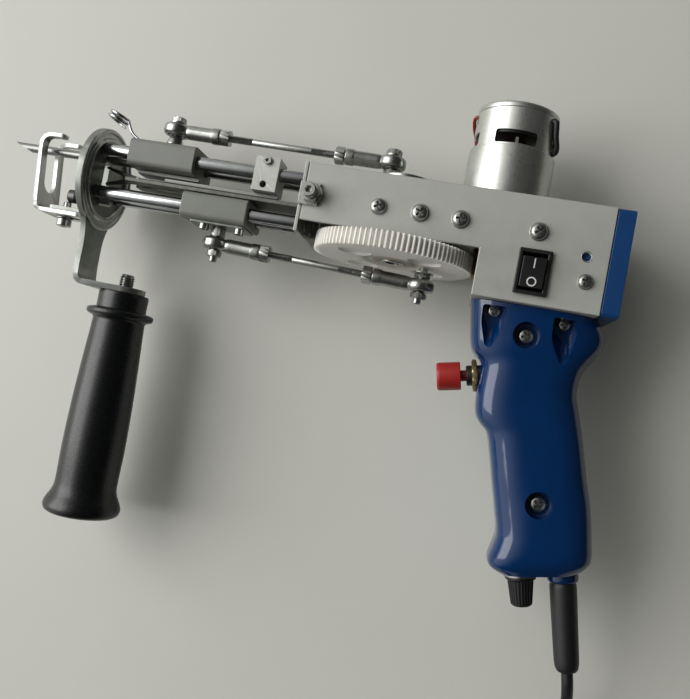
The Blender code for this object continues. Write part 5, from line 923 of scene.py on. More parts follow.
@dataclass
class Workshop:
    """Places, dresses and reports the pieces."""

    datum: Vector
    layout: Layout = field(default_factory=Layout)
    paints: dict[str, bpy.types.Material] = field(default_factory=dict)
    count: int = 0

    @property
    def row(self) -> Matrix:
        """Matrix from datum millimetres to world metres."""
        return Matrix.Translation(self.datum) @ Matrix.Scale(MM, 4)

    def world(self, point: Point) -> Vector:
        """World place of a datum point."""
        return self.row @ Vector(point)

    def paint(self, finish: Finish) -> bpy.types.Material:
        """Material of a finish, made once.

        Args:
            finish: the finish.

        Returns:
            Its material.
        """
        if finish.name not in self.paints:
            self.paints[finish.name] = finish.build(self.datum)
        return self.paints[finish.name]

    def copied(self, node: str) -> Shape:
        """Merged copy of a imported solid, with flat areas joined.

        Args:
            node: name of the solid.

        Returns:
            The copy, in datum millimetres.
        """
        shape = from_mesh(frame["nodes"][node].data)
        shape.moved(self.row.inverted())
        bmesh.ops.remove_doubles(shape.mesh, verts=shape.mesh.verts, dist=SOLID_MERGE)
        bmesh.ops.dissolve_limit(
            shape.mesh, angle_limit=math.radians(1.0), verts=shape.mesh.verts, edges=shape.mesh.edges,
        )
        return shape

    def ring(self, piece: Shape, finish: Finish, count: int, radius: float) -> Shape:
        """Repeats a piece round the Z axis.

        Args:
            piece: shape with its outer side towards +X.
            finish: its finish.
            count: number of copies.
            radius: reach of their centres.

        Returns:
            All the copies in one shape.
        """
        source = piece.loose("piece")
        values = {"Piece": source, "Count": count, "Radius": radius, "Finish": self.paint(finish)}
        shape = self.layout.run(Pattern.RING, bpy.data.meshes.new("ring"), values)
        bpy.data.objects.remove(source)
        return shape

    def wire(self, points: Sequence[Point], radius: float, finish: Finish, sides: int = 16) -> Shape:
        """Draws a round wire through points.

        Args:
            points: places that the wire passes.
            radius: its radius.
            finish: its finish.
            sides: faces round it.

        Returns:
            The wire.
        """
        mesh = bpy.data.meshes.new("line")
        joints = [(index, index + 1) for index in range(len(points) - 1)]
        mesh.from_pydata([tuple(point) for point in points], joints, [])
        values = {"Radius": radius, "Sides": sides, "Finish": self.paint(finish)}
        return self.layout.run(Pattern.WIRE, mesh, values)

    def scatter(
        self, piece: Shape, finish: Finish, spots: Sequence[Point], turns: Sequence[Point],
        sizes: Sequence[float],
    ) -> Shape:
        """Sets a piece on points.

        Args:
            piece: shape with its seat at zero and its outer side towards +Z.
            finish: its finish.
            spots: places of the copies.
            turns: Euler angles of the copies.
            sizes: scales of the copies.

        Returns:
            All the copies in one shape.
        """
        source = piece.loose("piece")
        mesh = bpy.data.meshes.new("spots")
        mesh.from_pydata([tuple(spot) for spot in spots], [], [])
        turn = mesh.attributes.new("turn", "FLOAT_VECTOR", "POINT")
        size = mesh.attributes.new("size", "FLOAT_VECTOR", "POINT")
        for index, (angles, scale) in enumerate(zip(turns, sizes)):
            turn.data[index].vector = angles
            size.data[index].vector = (scale, scale, scale)
        values = {"Piece": source, "Finish": self.paint(finish)}
        shape = self.layout.run(Pattern.POINTS, mesh, values)
        bpy.data.objects.remove(source)
        return shape

    def put(
        self, shape: Shape, name: str, finish: Finish, replaces: str = "", body: Body = Body.HOUSING,
        bevel: float = 0.0, angle: float = 35.0,
    ) -> bpy.types.Object:
        """Finishes a piece and hands it to its body.

        Args:
            shape: the piece, in datum millimetres.
            name: name of the piece.
            finish: its surface.
            replaces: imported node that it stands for, or nothing.
            body: moving group that carries it.
            bevel: width of the rounded edges, or 0.
            angle: sharpest angle in degrees that is shaded smooth.

        Returns:
            The finished object.
        """
        shape.tidy()
        shape.moved(self.row)
        mesh = bpy.data.meshes.new(name)
        shape.mesh.to_mesh(mesh)
        shape.mesh.free()
        piece = bpy.data.objects.new(name, mesh)
        bpy.context.scene.collection.objects.link(piece)
        mesh.polygons.foreach_set("use_smooth", [True] * len(mesh.polygons))
        if bevel:
            edge = piece.modifiers.new("edge", "BEVEL")
            edge.width = bevel * MM
            edge.segments = 3
            edge.limit_method = "ANGLE"
            edge.angle_limit = math.radians(angle)
            level = piece.modifiers.new("level", "WEIGHTED_NORMAL")
            level.mode = "FACE_AREA"
            level.weight = 90
            mesh = baked(piece)
            piece.modifiers.clear()
            piece.data = mesh
        else:
            mesh.set_sharp_from_angle(angle=math.radians(angle))
        mesh.materials.clear()
        mesh.materials.append(self.paint(finish))
        if replaces:
            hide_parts(replaces)
        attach(piece, body.value)
        self.count += 1
        LOG.info("%s: %d faces, rides on %s", name, len(mesh.polygons), body.value)
        return piece

    def dressed(
        self, node: str, name: str, finish: Finish, body: Body = Body.HOUSING, bevel: float = 0.3,
    ) -> bpy.types.Object:
        """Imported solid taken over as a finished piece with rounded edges."""
        return self.put(self.copied(node), name, finish, node, body, bevel)

    def dress(self) -> None:
        """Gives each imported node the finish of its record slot."""
        slots = {row["node"]: row["material_slot"] for row in frame["record"]["subparts"]}
        for name, node in frame["nodes"].items():
            finish = NODE_FINISHES[slots[name]]
            if not node.material_slots:
                node.data.materials.append(None)
            for place in node.material_slots:
                place.material = self.paint(finish)


def hex_levels(corner: float, low: float, high: float, chamfer: float = 0.5) -> list[Point]:
    """Profile of a hexagon with chamfered ends, from its foot to its top."""
    inside = corner * 0.87
    return [
        (inside, low, corner), (corner, low + chamfer, corner), (corner, high - chamfer, corner),
        (inside, high, corner),
    ]


def bolt_profile(rows: Sequence[Point]) -> list[Point]:
    """Profile of a bolt with its nuts.

    Args:
        rows: (radius, place) of a round part, or (corner, low, high) of a hexagon.

    Returns:
        The profile.
    """
    profile: list[Point] = []
    for row in rows:
        profile += hex_levels(*row) if len(row) == 3 else [row]
    return profile


def turned(
    axis: Axis, rows: Sequence[Point], centre: Point = (0.0, 0.0), steps: int = 48, curve: int = 4,
) -> Shape:
    """Turned solid from rows of (radius, place, rounding), each rounding drawn in curve pieces."""
    return Shape().lathe(axis, rounded(rows, steps=curve), centre, steps)


def turned_ring(
    axis: Axis, rows: Sequence[Point], centre: Point = (0.0, 0.0), steps: int = 48, curve: int = 4,
) -> Shape:
    """Turned ring from a closed loop of rows of (radius, place, rounding)."""
    return Shape().lathe(axis, rounded(rows, True, curve), centre, steps, True)


def pan_head(height: float) -> Shape:
    """Pan-head screw with a cross recess, its seat at zero and its head towards +Z.

    Args:
        height: height of the head, which has a radius of 1.

    Returns:
        The screw head.
    """
    root, crown, edge = -0.3, 0.72, 0.3
    rows = [
        (0.0, root, 0.0), (1.0, root, 0.0), (1.0, height * 0.35, edge), (crown, height * 0.9, edge),
        (0.0, height, 0.0),
    ]
    reach, half = 0.58, 0.14
    cross = [
        (-reach, -half), (-half, -half), (-half, -reach), (half, -reach), (half, -half), (reach, -half),
        (reach, half), (half, half), (half, reach), (-half, reach), (-half, half), (-reach, half),
    ]
    levels = ((0.2, 0.45), (0.7, 0.9), (1.4, 1.15))
    recess = Shape().skin([
        [Vector((u * grow, v * grow, height * share)) for u, v in cross] for share, grow in levels
    ])
    return carved(turned(Axis.Z, rows, steps=40, curve=6), [recess])


def cap_screw(axis: Axis, centre: Point, radius: float, seat: float, top: float) -> Shape:
    """Cylinder-head screw with a hexagon socket.

    Args:
        axis: axis of the screw.
        centre: where the axis crosses its plane.
        radius: radius of the head.
        seat: where the head begins.
        top: where it ends, on either side of the seat.

    Returns:
        The screw head.
    """
    way = 1.0 if top > seat else -1.0
    socket, edge = radius * 0.5, way * radius * 0.14
    deep = top - way * radius * 0.7
    shoulder = radius - abs(edge)
    return Shape().lathe(axis, [
        (0.0, seat), (shoulder, seat), (radius, seat + edge), (radius, top - edge), (shoulder, top),
        (socket, top, socket), (socket, deep, socket), (0.0, deep - way * socket * 0.4),
    ], centre, 48)


# Bolts in the rear eyes of the links, as rows of bolt_profile
UPPER_PIN: Rows = (
    (0.0, -7.3), (4.6, -7.3), (4.6, -6.4), (M4_HEX, -6.4, -3.6), (M4, -3.6), (M4, 3.5), (4.2, 3.5),
    (4.2, 4.1), (M4_HEX, 4.1, 6.8), (0.0, 6.7),
)
LOWER_PIN: Rows = (
    (0.0, -9.3), (1.7, -9.3), (M4, -8.9), (M4, -6.8), (3.0, -6.8), (M4_HEX, -6.6, -3.6), (M4, -3.6),
    (M4, 3.6), (M4_HEX, 3.6, 5.9), (5.2, 6.0), (5.2, 6.7), (2.2, 6.8), (2.2, 8.6), (0.0, 8.6),
)


@dataclass
class Studio:
    """Camera, lamp, world and table, in world metres."""

    place: Point = (0.0905108, -0.0233959, 0.4128926)
    turn: Point = (0.061414352545, 0.143946580210, 0.190765)
    lens: float = 38.638153
    sensor: float = 36.0
    clip_start: float = 0.005
    window: Point = (-1.0, 0.14, 0.80)
    window_aim: Point = (0.0, -0.05, 0.0)
    window_size: float = 1.1
    window_power: float = 13.6
    bright_side: Point = (-0.92, 0.16, 0.30)
    bright_span: Point = (0.2, 0.97)
    room_levels: Point = (0.035, 1.3)
    room_colour: str = "#fbfbf6"
    backdrop_colour: str = "#d9d9d3"
    table_half: float = 3.0

    def set_camera(self) -> None:
        """Sets the camera at the photograph's viewpoint."""
        data = bpy.data.cameras.new("camera")
        data.lens = self.lens
        data.sensor_width = self.sensor
        data.sensor_fit = "AUTO"
        data.clip_start = self.clip_start
        camera = bpy.data.objects.new("camera", data)
        camera.location = self.place
        camera.rotation_euler = self.turn
        bpy.context.scene.collection.objects.link(camera)
        bpy.context.scene.camera = camera

    def set_window(self) -> None:
        """Adds the soft square lamp of a window on the left, aimed at the machine."""
        data = bpy.data.lights.new("window", "AREA")
        data.shape = "SQUARE"
        data.size = self.window_size
        data.energy = self.window_power
        lamp = bpy.data.objects.new("window", data)
        lamp.location = self.window
        way = Vector(self.window_aim) - Vector(self.window)
        lamp.rotation_euler = way.to_track_quat("-Z", "Y").to_euler()
        bpy.context.scene.collection.objects.link(lamp)

    def set_world(self) -> None:
        """Soft room light, brighter from the upper left, and a pale backdrop for the camera."""
        world = bpy.data.worlds.new("room")
        bpy.context.scene.world = world
        world.use_nodes = True
        tree = world.node_tree
        tree.nodes.clear()
        way = add_node(tree, "ShaderNodeTexCoord")
        side = Vector(self.bright_side).normalized()
        facing = add_node(
            tree, "ShaderNodeVectorMath", {"operation": "DOT_PRODUCT", 1: side},
            {0: way.outputs["Generated"]},
        )
        (near, far), (dim, bright) = self.bright_span, self.room_levels
        level = add_node(
            tree, "ShaderNodeMapRange",
            {"interpolation_type": "SMOOTHSTEP", "From Min": near, "From Max": far, "To Min": dim,
             "To Max": bright},
            {"Value": facing.outputs["Value"]},
        )
        room = add_node(
            tree, "ShaderNodeBackground", {"Color": linear(self.room_colour)},
            {"Strength": level},
        )
        pale = add_node(
            tree, "ShaderNodeBackground", {"Color": linear(self.backdrop_colour), "Strength": 1.0},
        )
        ray = add_node(tree, "ShaderNodeLightPath")
        both = add_node(
            tree, "ShaderNodeMixShader", None,
            {0: ray.outputs["Is Camera Ray"], 1: room, 2: pale},
        )
        add_node(tree, "ShaderNodeOutputWorld", None, {"Surface": both})

    def set_table(self) -> None:
        """Lays the pale table under the machine."""
        half = self.table_half
        mesh = bpy.data.meshes.new("table_top")
        corners = [(-half, -half, 0.0), (half, -half, 0.0), (half, half, 0.0), (-half, half, 0.0)]
        mesh.from_pydata(corners, [], [(0, 1, 2, 3)])
        table = bpy.data.objects.new("table_top", mesh)
        bpy.context.scene.collection.objects.link(table)
        mesh.materials.append(TABLE.build(Vector((0.0, 0.0, 0.0))))


@dataclass
class GripFrame:
    """Frame of the tilted grip: across it, down along it and towards the viewer."""

    x: float = 30.0
    y: float = -50.0
    tilt: float = math.radians(12.5)
    length: float = 124.0
    gland_across: float = 9.2

    @property
    def matrix(self) -> Matrix:
        """Matrix from grip millimetres to datum millimetres, with the grip along minus Y."""
        return Matrix.Translation((self.x, self.y, 0.0)) @ Matrix.Rotation(self.tilt, 4, "Z")

    def point(self, across: float, along: float, z: float = 0.0) -> Vector:
        """Datum place of a point across and along the grip."""
        return self.matrix @ Vector((across, -along, z))


@dataclass
class Assembly:
    """Part of the machine whose pieces a workshop finishes."""

    shop: Workshop


@dataclass
class PowerLead(Assembly):
    """Power lead: sleeve, free cord, storage coil and plug on one smooth run."""

    grip: GripFrame
    radius: float = 2.75
    gap: float = 0.3
    gland_length: float = 5.0
    # The coil winds inwards, climbs to its upper layer half way and winds out again
    pitch: float = 6.1
    outer: float = 41.5
    turns: float = 7.25
    climb_turns: float = 0.5
    steps_per_turn: int = 24
    tail: float = 24.0
    tail_shares: tuple[float, ...] = (0.2, 0.4, 0.6, 0.8, 0.9, 1.0)
    tail_level: float = 0.3
    tail_slope: float = 0.6
    table: float = -40.0
    route: Rows = (
        (76.1, -215.2, 0.0), (77.4, -221.1, -0.6), (79.0, -228.2, -4.5), (80.9, -236.6, -13.0),
        (82.8, -245.2, -23.6), (84.6, -253.3, -31.8), (86.5, -261.9, -35.9), (88.5, -270.9, -36.9),
        (90.6, -280.4, -36.9), (92.6, -289.4, -36.9),
    )
    # Profiles are rows of radius, place from the end of the gland or cord, and rounding
    relief_length: float = 41.5
    relief: Rows = (
        (0.0, 0.0, 0.0), (5.859, 0.0, 0.0), (6.3, -1.4, 1.2), (6.3, -7.0, 2.0), (5.8, -38.5, 4.0),
        (4.756, -41.2, 1.6), (3.08, -41.5, 0.6), (2.7775, -41.75, 0.0), (0.0, -41.75, 0.0),
    )
    plug_radius: float = 5.5
    plug_end: float = 40.0
    neck: Rows = (
        (0.0, -0.25, 0.0), (2.805, -0.25, 0.0), (3.575, 0.4, 0.4), (4.125, 10.0, 1.0), (5.5, 11.6, 1.0),
    )
    groove: Rows = ((5.5, 15.0, 0.2), (4.95, 15.5, 0.3), (5.5, 16.0, 0.2))
    groove_count: int = 6
    groove_pitch: float = 2.4
    barrel: Rows = ((1.0, 39.0, 0.0), (2.75, 39.0, 0.0), (2.75, 49.5, 0.3), (1.0, 49.5, 0.3))

    @property
    def rest_height(self) -> float:
        """Height of the cord's centre where it lies on the table."""
        return self.table + self.radius + self.gap

    def _free(self) -> list[Vector]:
        """Corners of the free run, from the sleeve to the table.

        Returns:
            The corners, in datum millimetres.
        """
        grip = self.grip
        along = grip.length + self.gland_length + self.relief_length + 2.0 * self.gap
        end = grip.point(grip.gland_across, along)
        start, last = Vector(self.route[0]), Vector(self.route[-1])
        shift = end - start
        drop = (self.rest_height - start.z) / (last.z - start.z)
        return [Vector((x + shift.x, y + shift.y, start.z + (z - start.z) * drop)) for x, y, z in self.route]

    def _coil(self, corners: list[Vector]) -> tuple[list[Vector], Vector]:
        """Points of the coil and tail, and the way that the plug points.

        Args:
            corners: corners of the free run.

        Returns:
            The points and the heading.
        """
        heading = (corners[-1] - corners[-2]).normalized()
        lead = corners[-1] + heading * (self.gap + 2.0 * self.radius)
        spin = math.atan2(heading.x, -heading.y)
        centre = lead - Vector((math.cos(spin), math.sin(spin), 0.0)) * self.outer
        half = self.turns / 2.0
        run = []
        for index in range(int(self.turns * self.steps_per_turn) + 1):
            turn = index / self.steps_per_turn
            inward = turn if turn <= half else self.turns - turn
            reach = self.outer - inward * self.pitch
            lift = self.pitch * eased((turn - (half - self.climb_turns / 2.0)) / self.climb_turns)
            angle = spin - TURN * turn
            x, y = centre.x + reach * math.cos(angle), centre.y + reach * math.sin(angle)
            run.append(Vector((x, y, self.rest_height + lift)))
        away = Vector((math.sin(angle), -math.cos(angle), 0.0))
        end = run[-1]
        low = self.table + self.plug_radius + self.gap
        for share in self.tail_shares:
            spot = end + away * self.tail * share
            spot.z = end.z + (low - end.z) * eased((share - self.tail_level) / self.tail_slope)
            run.append(spot)
        return run, away

    def build(self) -> None:
        corners = self._free()
        free = smooth_line(corners, 5)
        run, away = self._coil(corners)
        line = [Vector(point) for point in free] + run
        data = bpy.data.curves.new("power_lead", "CURVE")
        data.dimensions = "3D"
        data.bevel_depth = self.radius * MM
        data.bevel_resolution = 6
        data.use_fill_caps = True
        spline = data.splines.new("POLY")
        spline.points.add(len(line) - 1)
        spots = [self.shop.world(point) for point in line]
        for spot, place in zip(spline.points, spots):
            spot.co = (*place, 1.0)
        spline.use_smooth = True
        data.materials.append(self.shop.paint(RUBBER))
        cord = bpy.data.objects.new("power_lead", data)
        bpy.context.scene.collection.objects.link(cord)
        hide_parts("power_cord", "cord_coil")
        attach(cord, Body.HOUSING.value)
        relief = self._sleeve()
        plug = self._plug(line[-1] + away * self.gap, away)

    def _sleeve(self) -> bpy.types.Object:
        """Builds the strain relief that leaves the gland, slightly tapered with a rounded end.

        Returns:
            The finished sleeve.
        """
        grip = self.grip
        profile = shifted(self.relief, -(grip.length + self.gland_length + self.gap))
        sleeve = turned(Axis.Y, profile, (grip.gland_across, 0.0), 64, 6).moved(grip.matrix)
        return self.shop.put(sleeve, "lead_sleeve", RUBBER, "strain_relief", angle=50.0)

    def _plug(self, face: Vector, away: Vector) -> bpy.types.Object:
        """Builds the barrel plug, with a ribbed grip and a plated barrel.

        Args:
            face: end of the cord.
            away: way that the plug points.

        Returns:
            The finished plug.
        """
        corners = list(self.neck)
        for index in range(self.groove_count):
            corners += shifted(self.groove, index * self.groove_pitch)
        end, tip = self.plug_end, self.barrel[1][0]
        corners += [(self.plug_radius, end, 1.0), (tip, end, 0.0), (0.0, end, 0.0)]
        turn = Matrix.Translation(face) @ Matrix.Rotation(math.atan2(away.y, away.x), 4, "Z")
        handle = turned(Axis.X, corners, steps=40).moved(turn)
        plug = self.shop.put(handle, "lead_plug", BLACK, "plug", angle=50.0)
        tube = self.shop.put(turned_ring(Axis.X, self.barrel, steps=40).moved(turn), "plug_barrel", ZINC)
        world = tube.matrix_world.copy()
        tube.parent = plug
        tube.matrix_parent_inverse = Matrix.Identity(4)
        tube.matrix_world = world
        return plug


@dataclass
class TubeHousing(Assembly):
    """Square tube with its cap, front plate, face screws and indicator hole."""

    face: float = 25.0
    # Screws and washers are drawn for a head of radius 1 and scaled to the radius in each row
    screws: Rows = (
        (-49.8, -16.4, 4.0), (-30.0, -16.4, 4.0), (-10.9, -16.5, 4.0), (25.1, -16.6, 4.0),
        (49.1, -35.9, 3.3),
    )
    head_height: float = 0.62
    first_turn: float = 0.35
    turn_step: float = 0.6
    washer_lift: float = 0.5
    washers: tuple[int, ...] = (1, 2, 3, 4)
    washer: Rows = ((0.5, 0.0, 0.0), (1.09, 0.0, 0.0), (1.09, 0.13, 0.05), (0.5, 0.13, 0.0))
    hole: Point = (48.0, -24.5)
    hole_rim: Rows = (
        (2.0, -1.6, 0.0), (2.0, -0.5, 0.2), (2.3, 0.08, 0.1), (2.55, 0.08, 0.1), (2.6, -0.2, 0.0),
        (2.4, -1.6, 0.0),
    )
    tab: Point = (-82.3, -15.5)
    star_radii: Point = (5.0, 5.4)
    star_points: int = 48
    star_span: Point = (26.95, 27.65)
    nut_corner: float = 4.9
    nut_top: float = 30.8
    screw_radius: float = 3.6
    screw_span: Point = (30.6, 35.2)

    def build(self) -> None:
        """Builds the housing pieces."""
        self.shop.dressed("main_tube", "box_tube", TUBE, bevel=0.5)
        self.shop.dressed("rear_cap", "box_cap", CAP_ABS, bevel=0.9)
        self.shop.dressed("front_plate", "box_front_plate", ZINC, bevel=0.25)
        turns = [(0.0, 0.0, self.first_turn + self.turn_step * index) for index in range(len(self.screws))]
        spots = [
            (x, y, self.face + (self.washer_lift if index in self.washers else 0.0))
            for index, (x, y, _) in enumerate(self.screws)
        ]
        head = pan_head(self.head_height)
        heads = self.shop.scatter(head, ZINC, spots, turns, [size for *_, size in self.screws])
        self.shop.put(heads, "face_screws", ZINC, angle=32.0)
        under = [self.screws[index] for index in self.washers]
        rings = self.shop.scatter(
            turned_ring(Axis.Z, self.washer), ZINC, [(x, y, self.face) for x, y, _ in under],
            [(0.0, 0.0, 0.0)] * len(under), [size for *_, size in under],
        )
        self.shop.put(rings, "face_washers", ZINC)
        rim = turned_ring(Axis.Z, shifted(self.hole_rim, self.face), self.hole)
        self.shop.put(rim, "indicator_rim", ZINC)
        self._tab_bolt()

    def _tab_bolt(self) -> None:
        """Builds the star washer, nut and socket screw on the front plate's tab."""
        x, y = self.tab
        star = []
        for index in range(self.star_points):
            angle, reach = TURN * index / self.star_points, self.star_radii[index % 2]
            star.append((x + reach * math.cos(angle), y + reach * math.sin(angle)))
        low, high = self.star_span
        washer = Shape().prism(Axis.Z, star, low, high, [circle(M4, self.tab)])
        nut = Shape().lathe(
            Axis.Z, [(0.0, high)] + hex_levels(self.nut_corner, high, self.nut_top) + [(0.0, self.nut_top)],
            self.tab, 48,
        )
        screw = cap_screw(Axis.Z, self.tab, self.screw_radius, *self.screw_span)
        self.shop.put(nut.join(washer, screw), "front_plate_screw", ZINC, "front_plate_bolt", angle=28.0)


@dataclass
class GuideRods(Assembly):
    """Four chromed rods with the slotted plate between them."""

    radius: float = 3.4
    front: float = -206.0
    rear: float = -86.8
    half_spacing: float = 7.2
    levels: dict[str, float] = field(default_factory=lambda: {"upper": -4.4, "lower": -26.9})

    def build(self) -> None:
        """Builds the rods and dresses the slotted plate."""
        profile = [
            (0.0, self.front, 0.0), (self.radius, self.front, 0.7), (self.radius, self.rear, 0.3),
            (0.0, self.rear, 0.0),
        ]
        for level, y in self.levels.items():
            for side, z in (("near", self.half_spacing), ("far", -self.half_spacing)):
                name = f"{level}_rod_{side}"
                self.shop.put(turned(Axis.X, profile, (y, z)), f"{name}_bar", CHROME, name)
        # The slotted plate's dark finish is partly oil and partly painted shade under the slider
        self.shop.dressed("centre_plate", "slotted_plate", OILED_AND_SHADED, bevel=0.3)


@dataclass
class RingPlate(Assembly):
    """Pressed ring with its rolled rim, arm and folded foot, and the handle stud."""

    front: float = -204.5
    thickness: float = 3.0
    centre: Point = (-18.8, -2.0)
    radius: float = 27.0
    ring_steps: int = 72
    # The sheet is drawn flat: its rail starts above the ring at rail_top and ends at the foot's round end
    rail_top: float = 12.0
    near_drop: float = 40.5
    far_drop: float = 36.5
    near_top: float = 11.5
    far_top: float = -22.5
    near_base: float = 8.6
    far_base: float = -11.8
    far_waist: Rows = ((60.0, -10.9), (50.0, -11.4), (42.0, -15.0))
    near_waist: Rows = ((47.0, 10.0), (56.0, 8.8))
    fold: float = 4.0
    foot: float = 75.0
    foot_half: float = 10.7
    foot_steps: int = 20
    slot_span: Point = (-25.3, -5.4)
    slot_half: float = 2.6
    slot_rounding: float = 2.0
    rod_hole: float = 3.7
    rods: Rows = ((-4.4, 7.2), (-4.4, -7.2), (-26.9, 7.2), (-26.9, -7.2))
    # Rows of radius, place behind the sheet and rounding: the slot's raised lip, a groove, the outer roll
    rim: Rows = (
        (19.4, -0.8, 0.0), (19.5, 0.9, 0.5), (20.2, 1.7, 0.7), (21.6, 1.7, 0.6), (22.5, 0.3, 0.4),
        (24.4, 0.3, 0.4), (25.0, 1.2, 0.5), (26.9, 1.0, 0.8), (27.0, -0.8, 0.4),
    )
    rod_pass: Point = (-2.0, 4.0)
    screw: Point = (-30.6, 0.0)
    screw_head: Point = (-10.5, -15.0)
    screw_head_radius: float = 3.6
    screw_shank: Point = (-11.0, -9.0)
    screw_end: float = 8.0
    screw_thread: Point = (2.4, 2.0, 0.8, 0.4)
    stud: Point = (-181.0, -6.5)
    stud_foot: Rows = ((0.0, -97.0), (4.0, -97.0), (4.0, -77.5))
    stud_thread: Point = (3.95, 3.35, 1.25, 0.62)
    stud_span: Point = (-77.0, -67.6)
    stud_tip: Rows = ((3.2, -66.8), (2.9, -66.5), (0.0, -66.5))

    def _outline(self, tip: float) -> list[Point]:
        """Flat outline of ring, arm and foot, by place along the rail and Z.

        Args:
            tip: length of the rail.

        Returns:
            The corners.
        """
        y0, z0 = self.centre
        top, half, middle = self.rail_top, self.foot_half, self.stud[1]
        start = math.atan2(self.far_top - z0, -self.far_drop - y0)
        end = math.atan2(self.near_top - z0, -self.near_drop - y0)
        # The ring's arc is the long way round, from the arm's far edge over the top to its near edge
        span = (end - start) % TURN
        sweep = span if span > math.pi else span - TURN
        arc = []
        for index in range(self.ring_steps + 1):
            angle = start + sweep * index / self.ring_steps
            arc.append((top - (y0 + self.radius * math.cos(angle)), z0 + self.radius * math.sin(angle)))
        cap = []
        for index in range(self.foot_steps + 1):
            angle = math.pi * index / self.foot_steps
            cap.append((tip - half + half * math.sin(angle), middle + half * math.cos(angle)))
        low = top + self.foot - self.fold
        far = smooth_line([
            (tip - half, middle - half), (low, self.far_base),
            *((top + drop, z) for drop, z in self.far_waist), arc[0],
        ], 4)[4:-1]
        near = smooth_line([
            arc[-1], *((top + drop, z) for drop, z in self.near_waist), (low, self.near_base),
            (tip - half, middle + half),
        ], 4)[1:-4]
        return arc + near + cap + far

    def build(self) -> None:
        """Builds the ring plate, its rim, the stud and the screw through it."""
        half = self.thickness / 2.0
        middle, rear = self.front + half, self.front + self.thickness
        top = self.rail_top
        rail = Rail([
            (middle, top, 0.0), (middle, -self.foot, self.fold),
            (self.stud[0] + self.foot_half, -self.foot, 0.0),
        ])
        low, high = self.slot_span
        slot = rectangle((top - high, -self.slot_half), (top - low, self.slot_half), self.slot_rounding)
        holes = [circle(self.rod_hole, (top - y, z), 40) for y, z in self.rods]
        sheet = Shape().prism(Axis.Y, self._outline(rail.length), -half, half, [slot, *holes])
        sheet.bend(rail)
        hole = self.rod_hole
        begin, end = (rear + place for place in self.rod_pass)
        walls = [(0.0, begin), (hole, begin), (hole, end), (0.0, end)]
        passes = [Shape().lathe(Axis.X, walls, rod, 40) for rod in self.rods]
        rim = carved(turned_ring(Axis.X, shifted(self.rim, rear), self.centre, 96, 5), passes)
        self.shop.put(sheet, "ring_sheet", PRESSED, "ring_plate", bevel=0.45, angle=40.0)
        self.shop.put(rim, "ring_rim", ZINC, angle=60.0)
        self._stud()
        self._face_screw()

    def _face_screw(self) -> None:
        """Builds the black-headed screw through the low end of the ring."""
        seat, crown = (self.front + place for place in self.screw_head)
        head = cap_screw(Axis.X, self.screw, self.screw_head_radius, seat, crown)
        begin, start = (self.front + place for place in self.screw_shank)
        crest, root, pitch, fall = self.screw_thread
        rows, place = thread(crest, root, start, self.front + self.screw_end, pitch, fall)
        tip = place + 0.3
        shank = [(0.0, begin), (crest, begin), *rows, (root - 0.1, tip), (0.0, tip)]
        body = Shape().lathe(Axis.X, shank, self.screw, 32)
        self.shop.put(body, "ring_screw_shank", ZINC, angle=50.0)
        self.shop.put(head, "ring_screw_head", BLACKED, angle=30.0)

    def _stud(self) -> None:
        """Builds the threaded stud through the foot."""
        crest, root, pitch, fall = self.stud_thread
        rows, _ = thread(crest, root, *self.stud_span, pitch, fall)
        shape = Shape().lathe(Axis.Y, [*self.stud_foot, *rows, *self.stud_tip], self.stud, 48)
        self.shop.put(shape, "handle_stud", ZINC, "front_grip_stud", angle=50.0)


@dataclass
class SideHandle(Assembly):
    """Moulded side handle under the foot."""

    top: float = -76.8
    length: float = 118.5
    centre: Point = (-181.0, -6.5)
    stations: int = 160
    # Rows of place as a share of the length, and radius
    shape: Rows = (
        (0.0, 12.7), (0.006, 13.0), (0.07, 13.0), (0.077, 13.4), (0.082, 16.6), (0.092, 17.4),
        (0.106, 17.2), (0.114, 15.8), (0.12, 13.9), (0.14, 13.6), (0.3, 14.6), (0.48, 15.6), (0.7, 16.2),
        (0.87, 16.0), (0.905, 16.7), (0.945, 19.0), (0.966, 19.9), (0.982, 19.8), (0.994, 19.0), (1.0, 17.8),
    )
    dish: Rows = ((12.0, 0.0), (11.0, 0.6), (0.0, 0.8))

    def build(self) -> None:
        """Builds the handle."""
        profile = [(0.0, self.top)]
        for index in range(self.stations + 1):
            share = index / self.stations
            profile.append((smooth_value(self.shape, share), self.top - share * self.length))
        profile += shifted(self.dish, self.top - self.length)
        handle = Shape().lathe(Axis.Y, profile, self.centre, 96)
        self.shop.put(handle, "side_handle", HANDLE, "front_grip", angle=60.0)


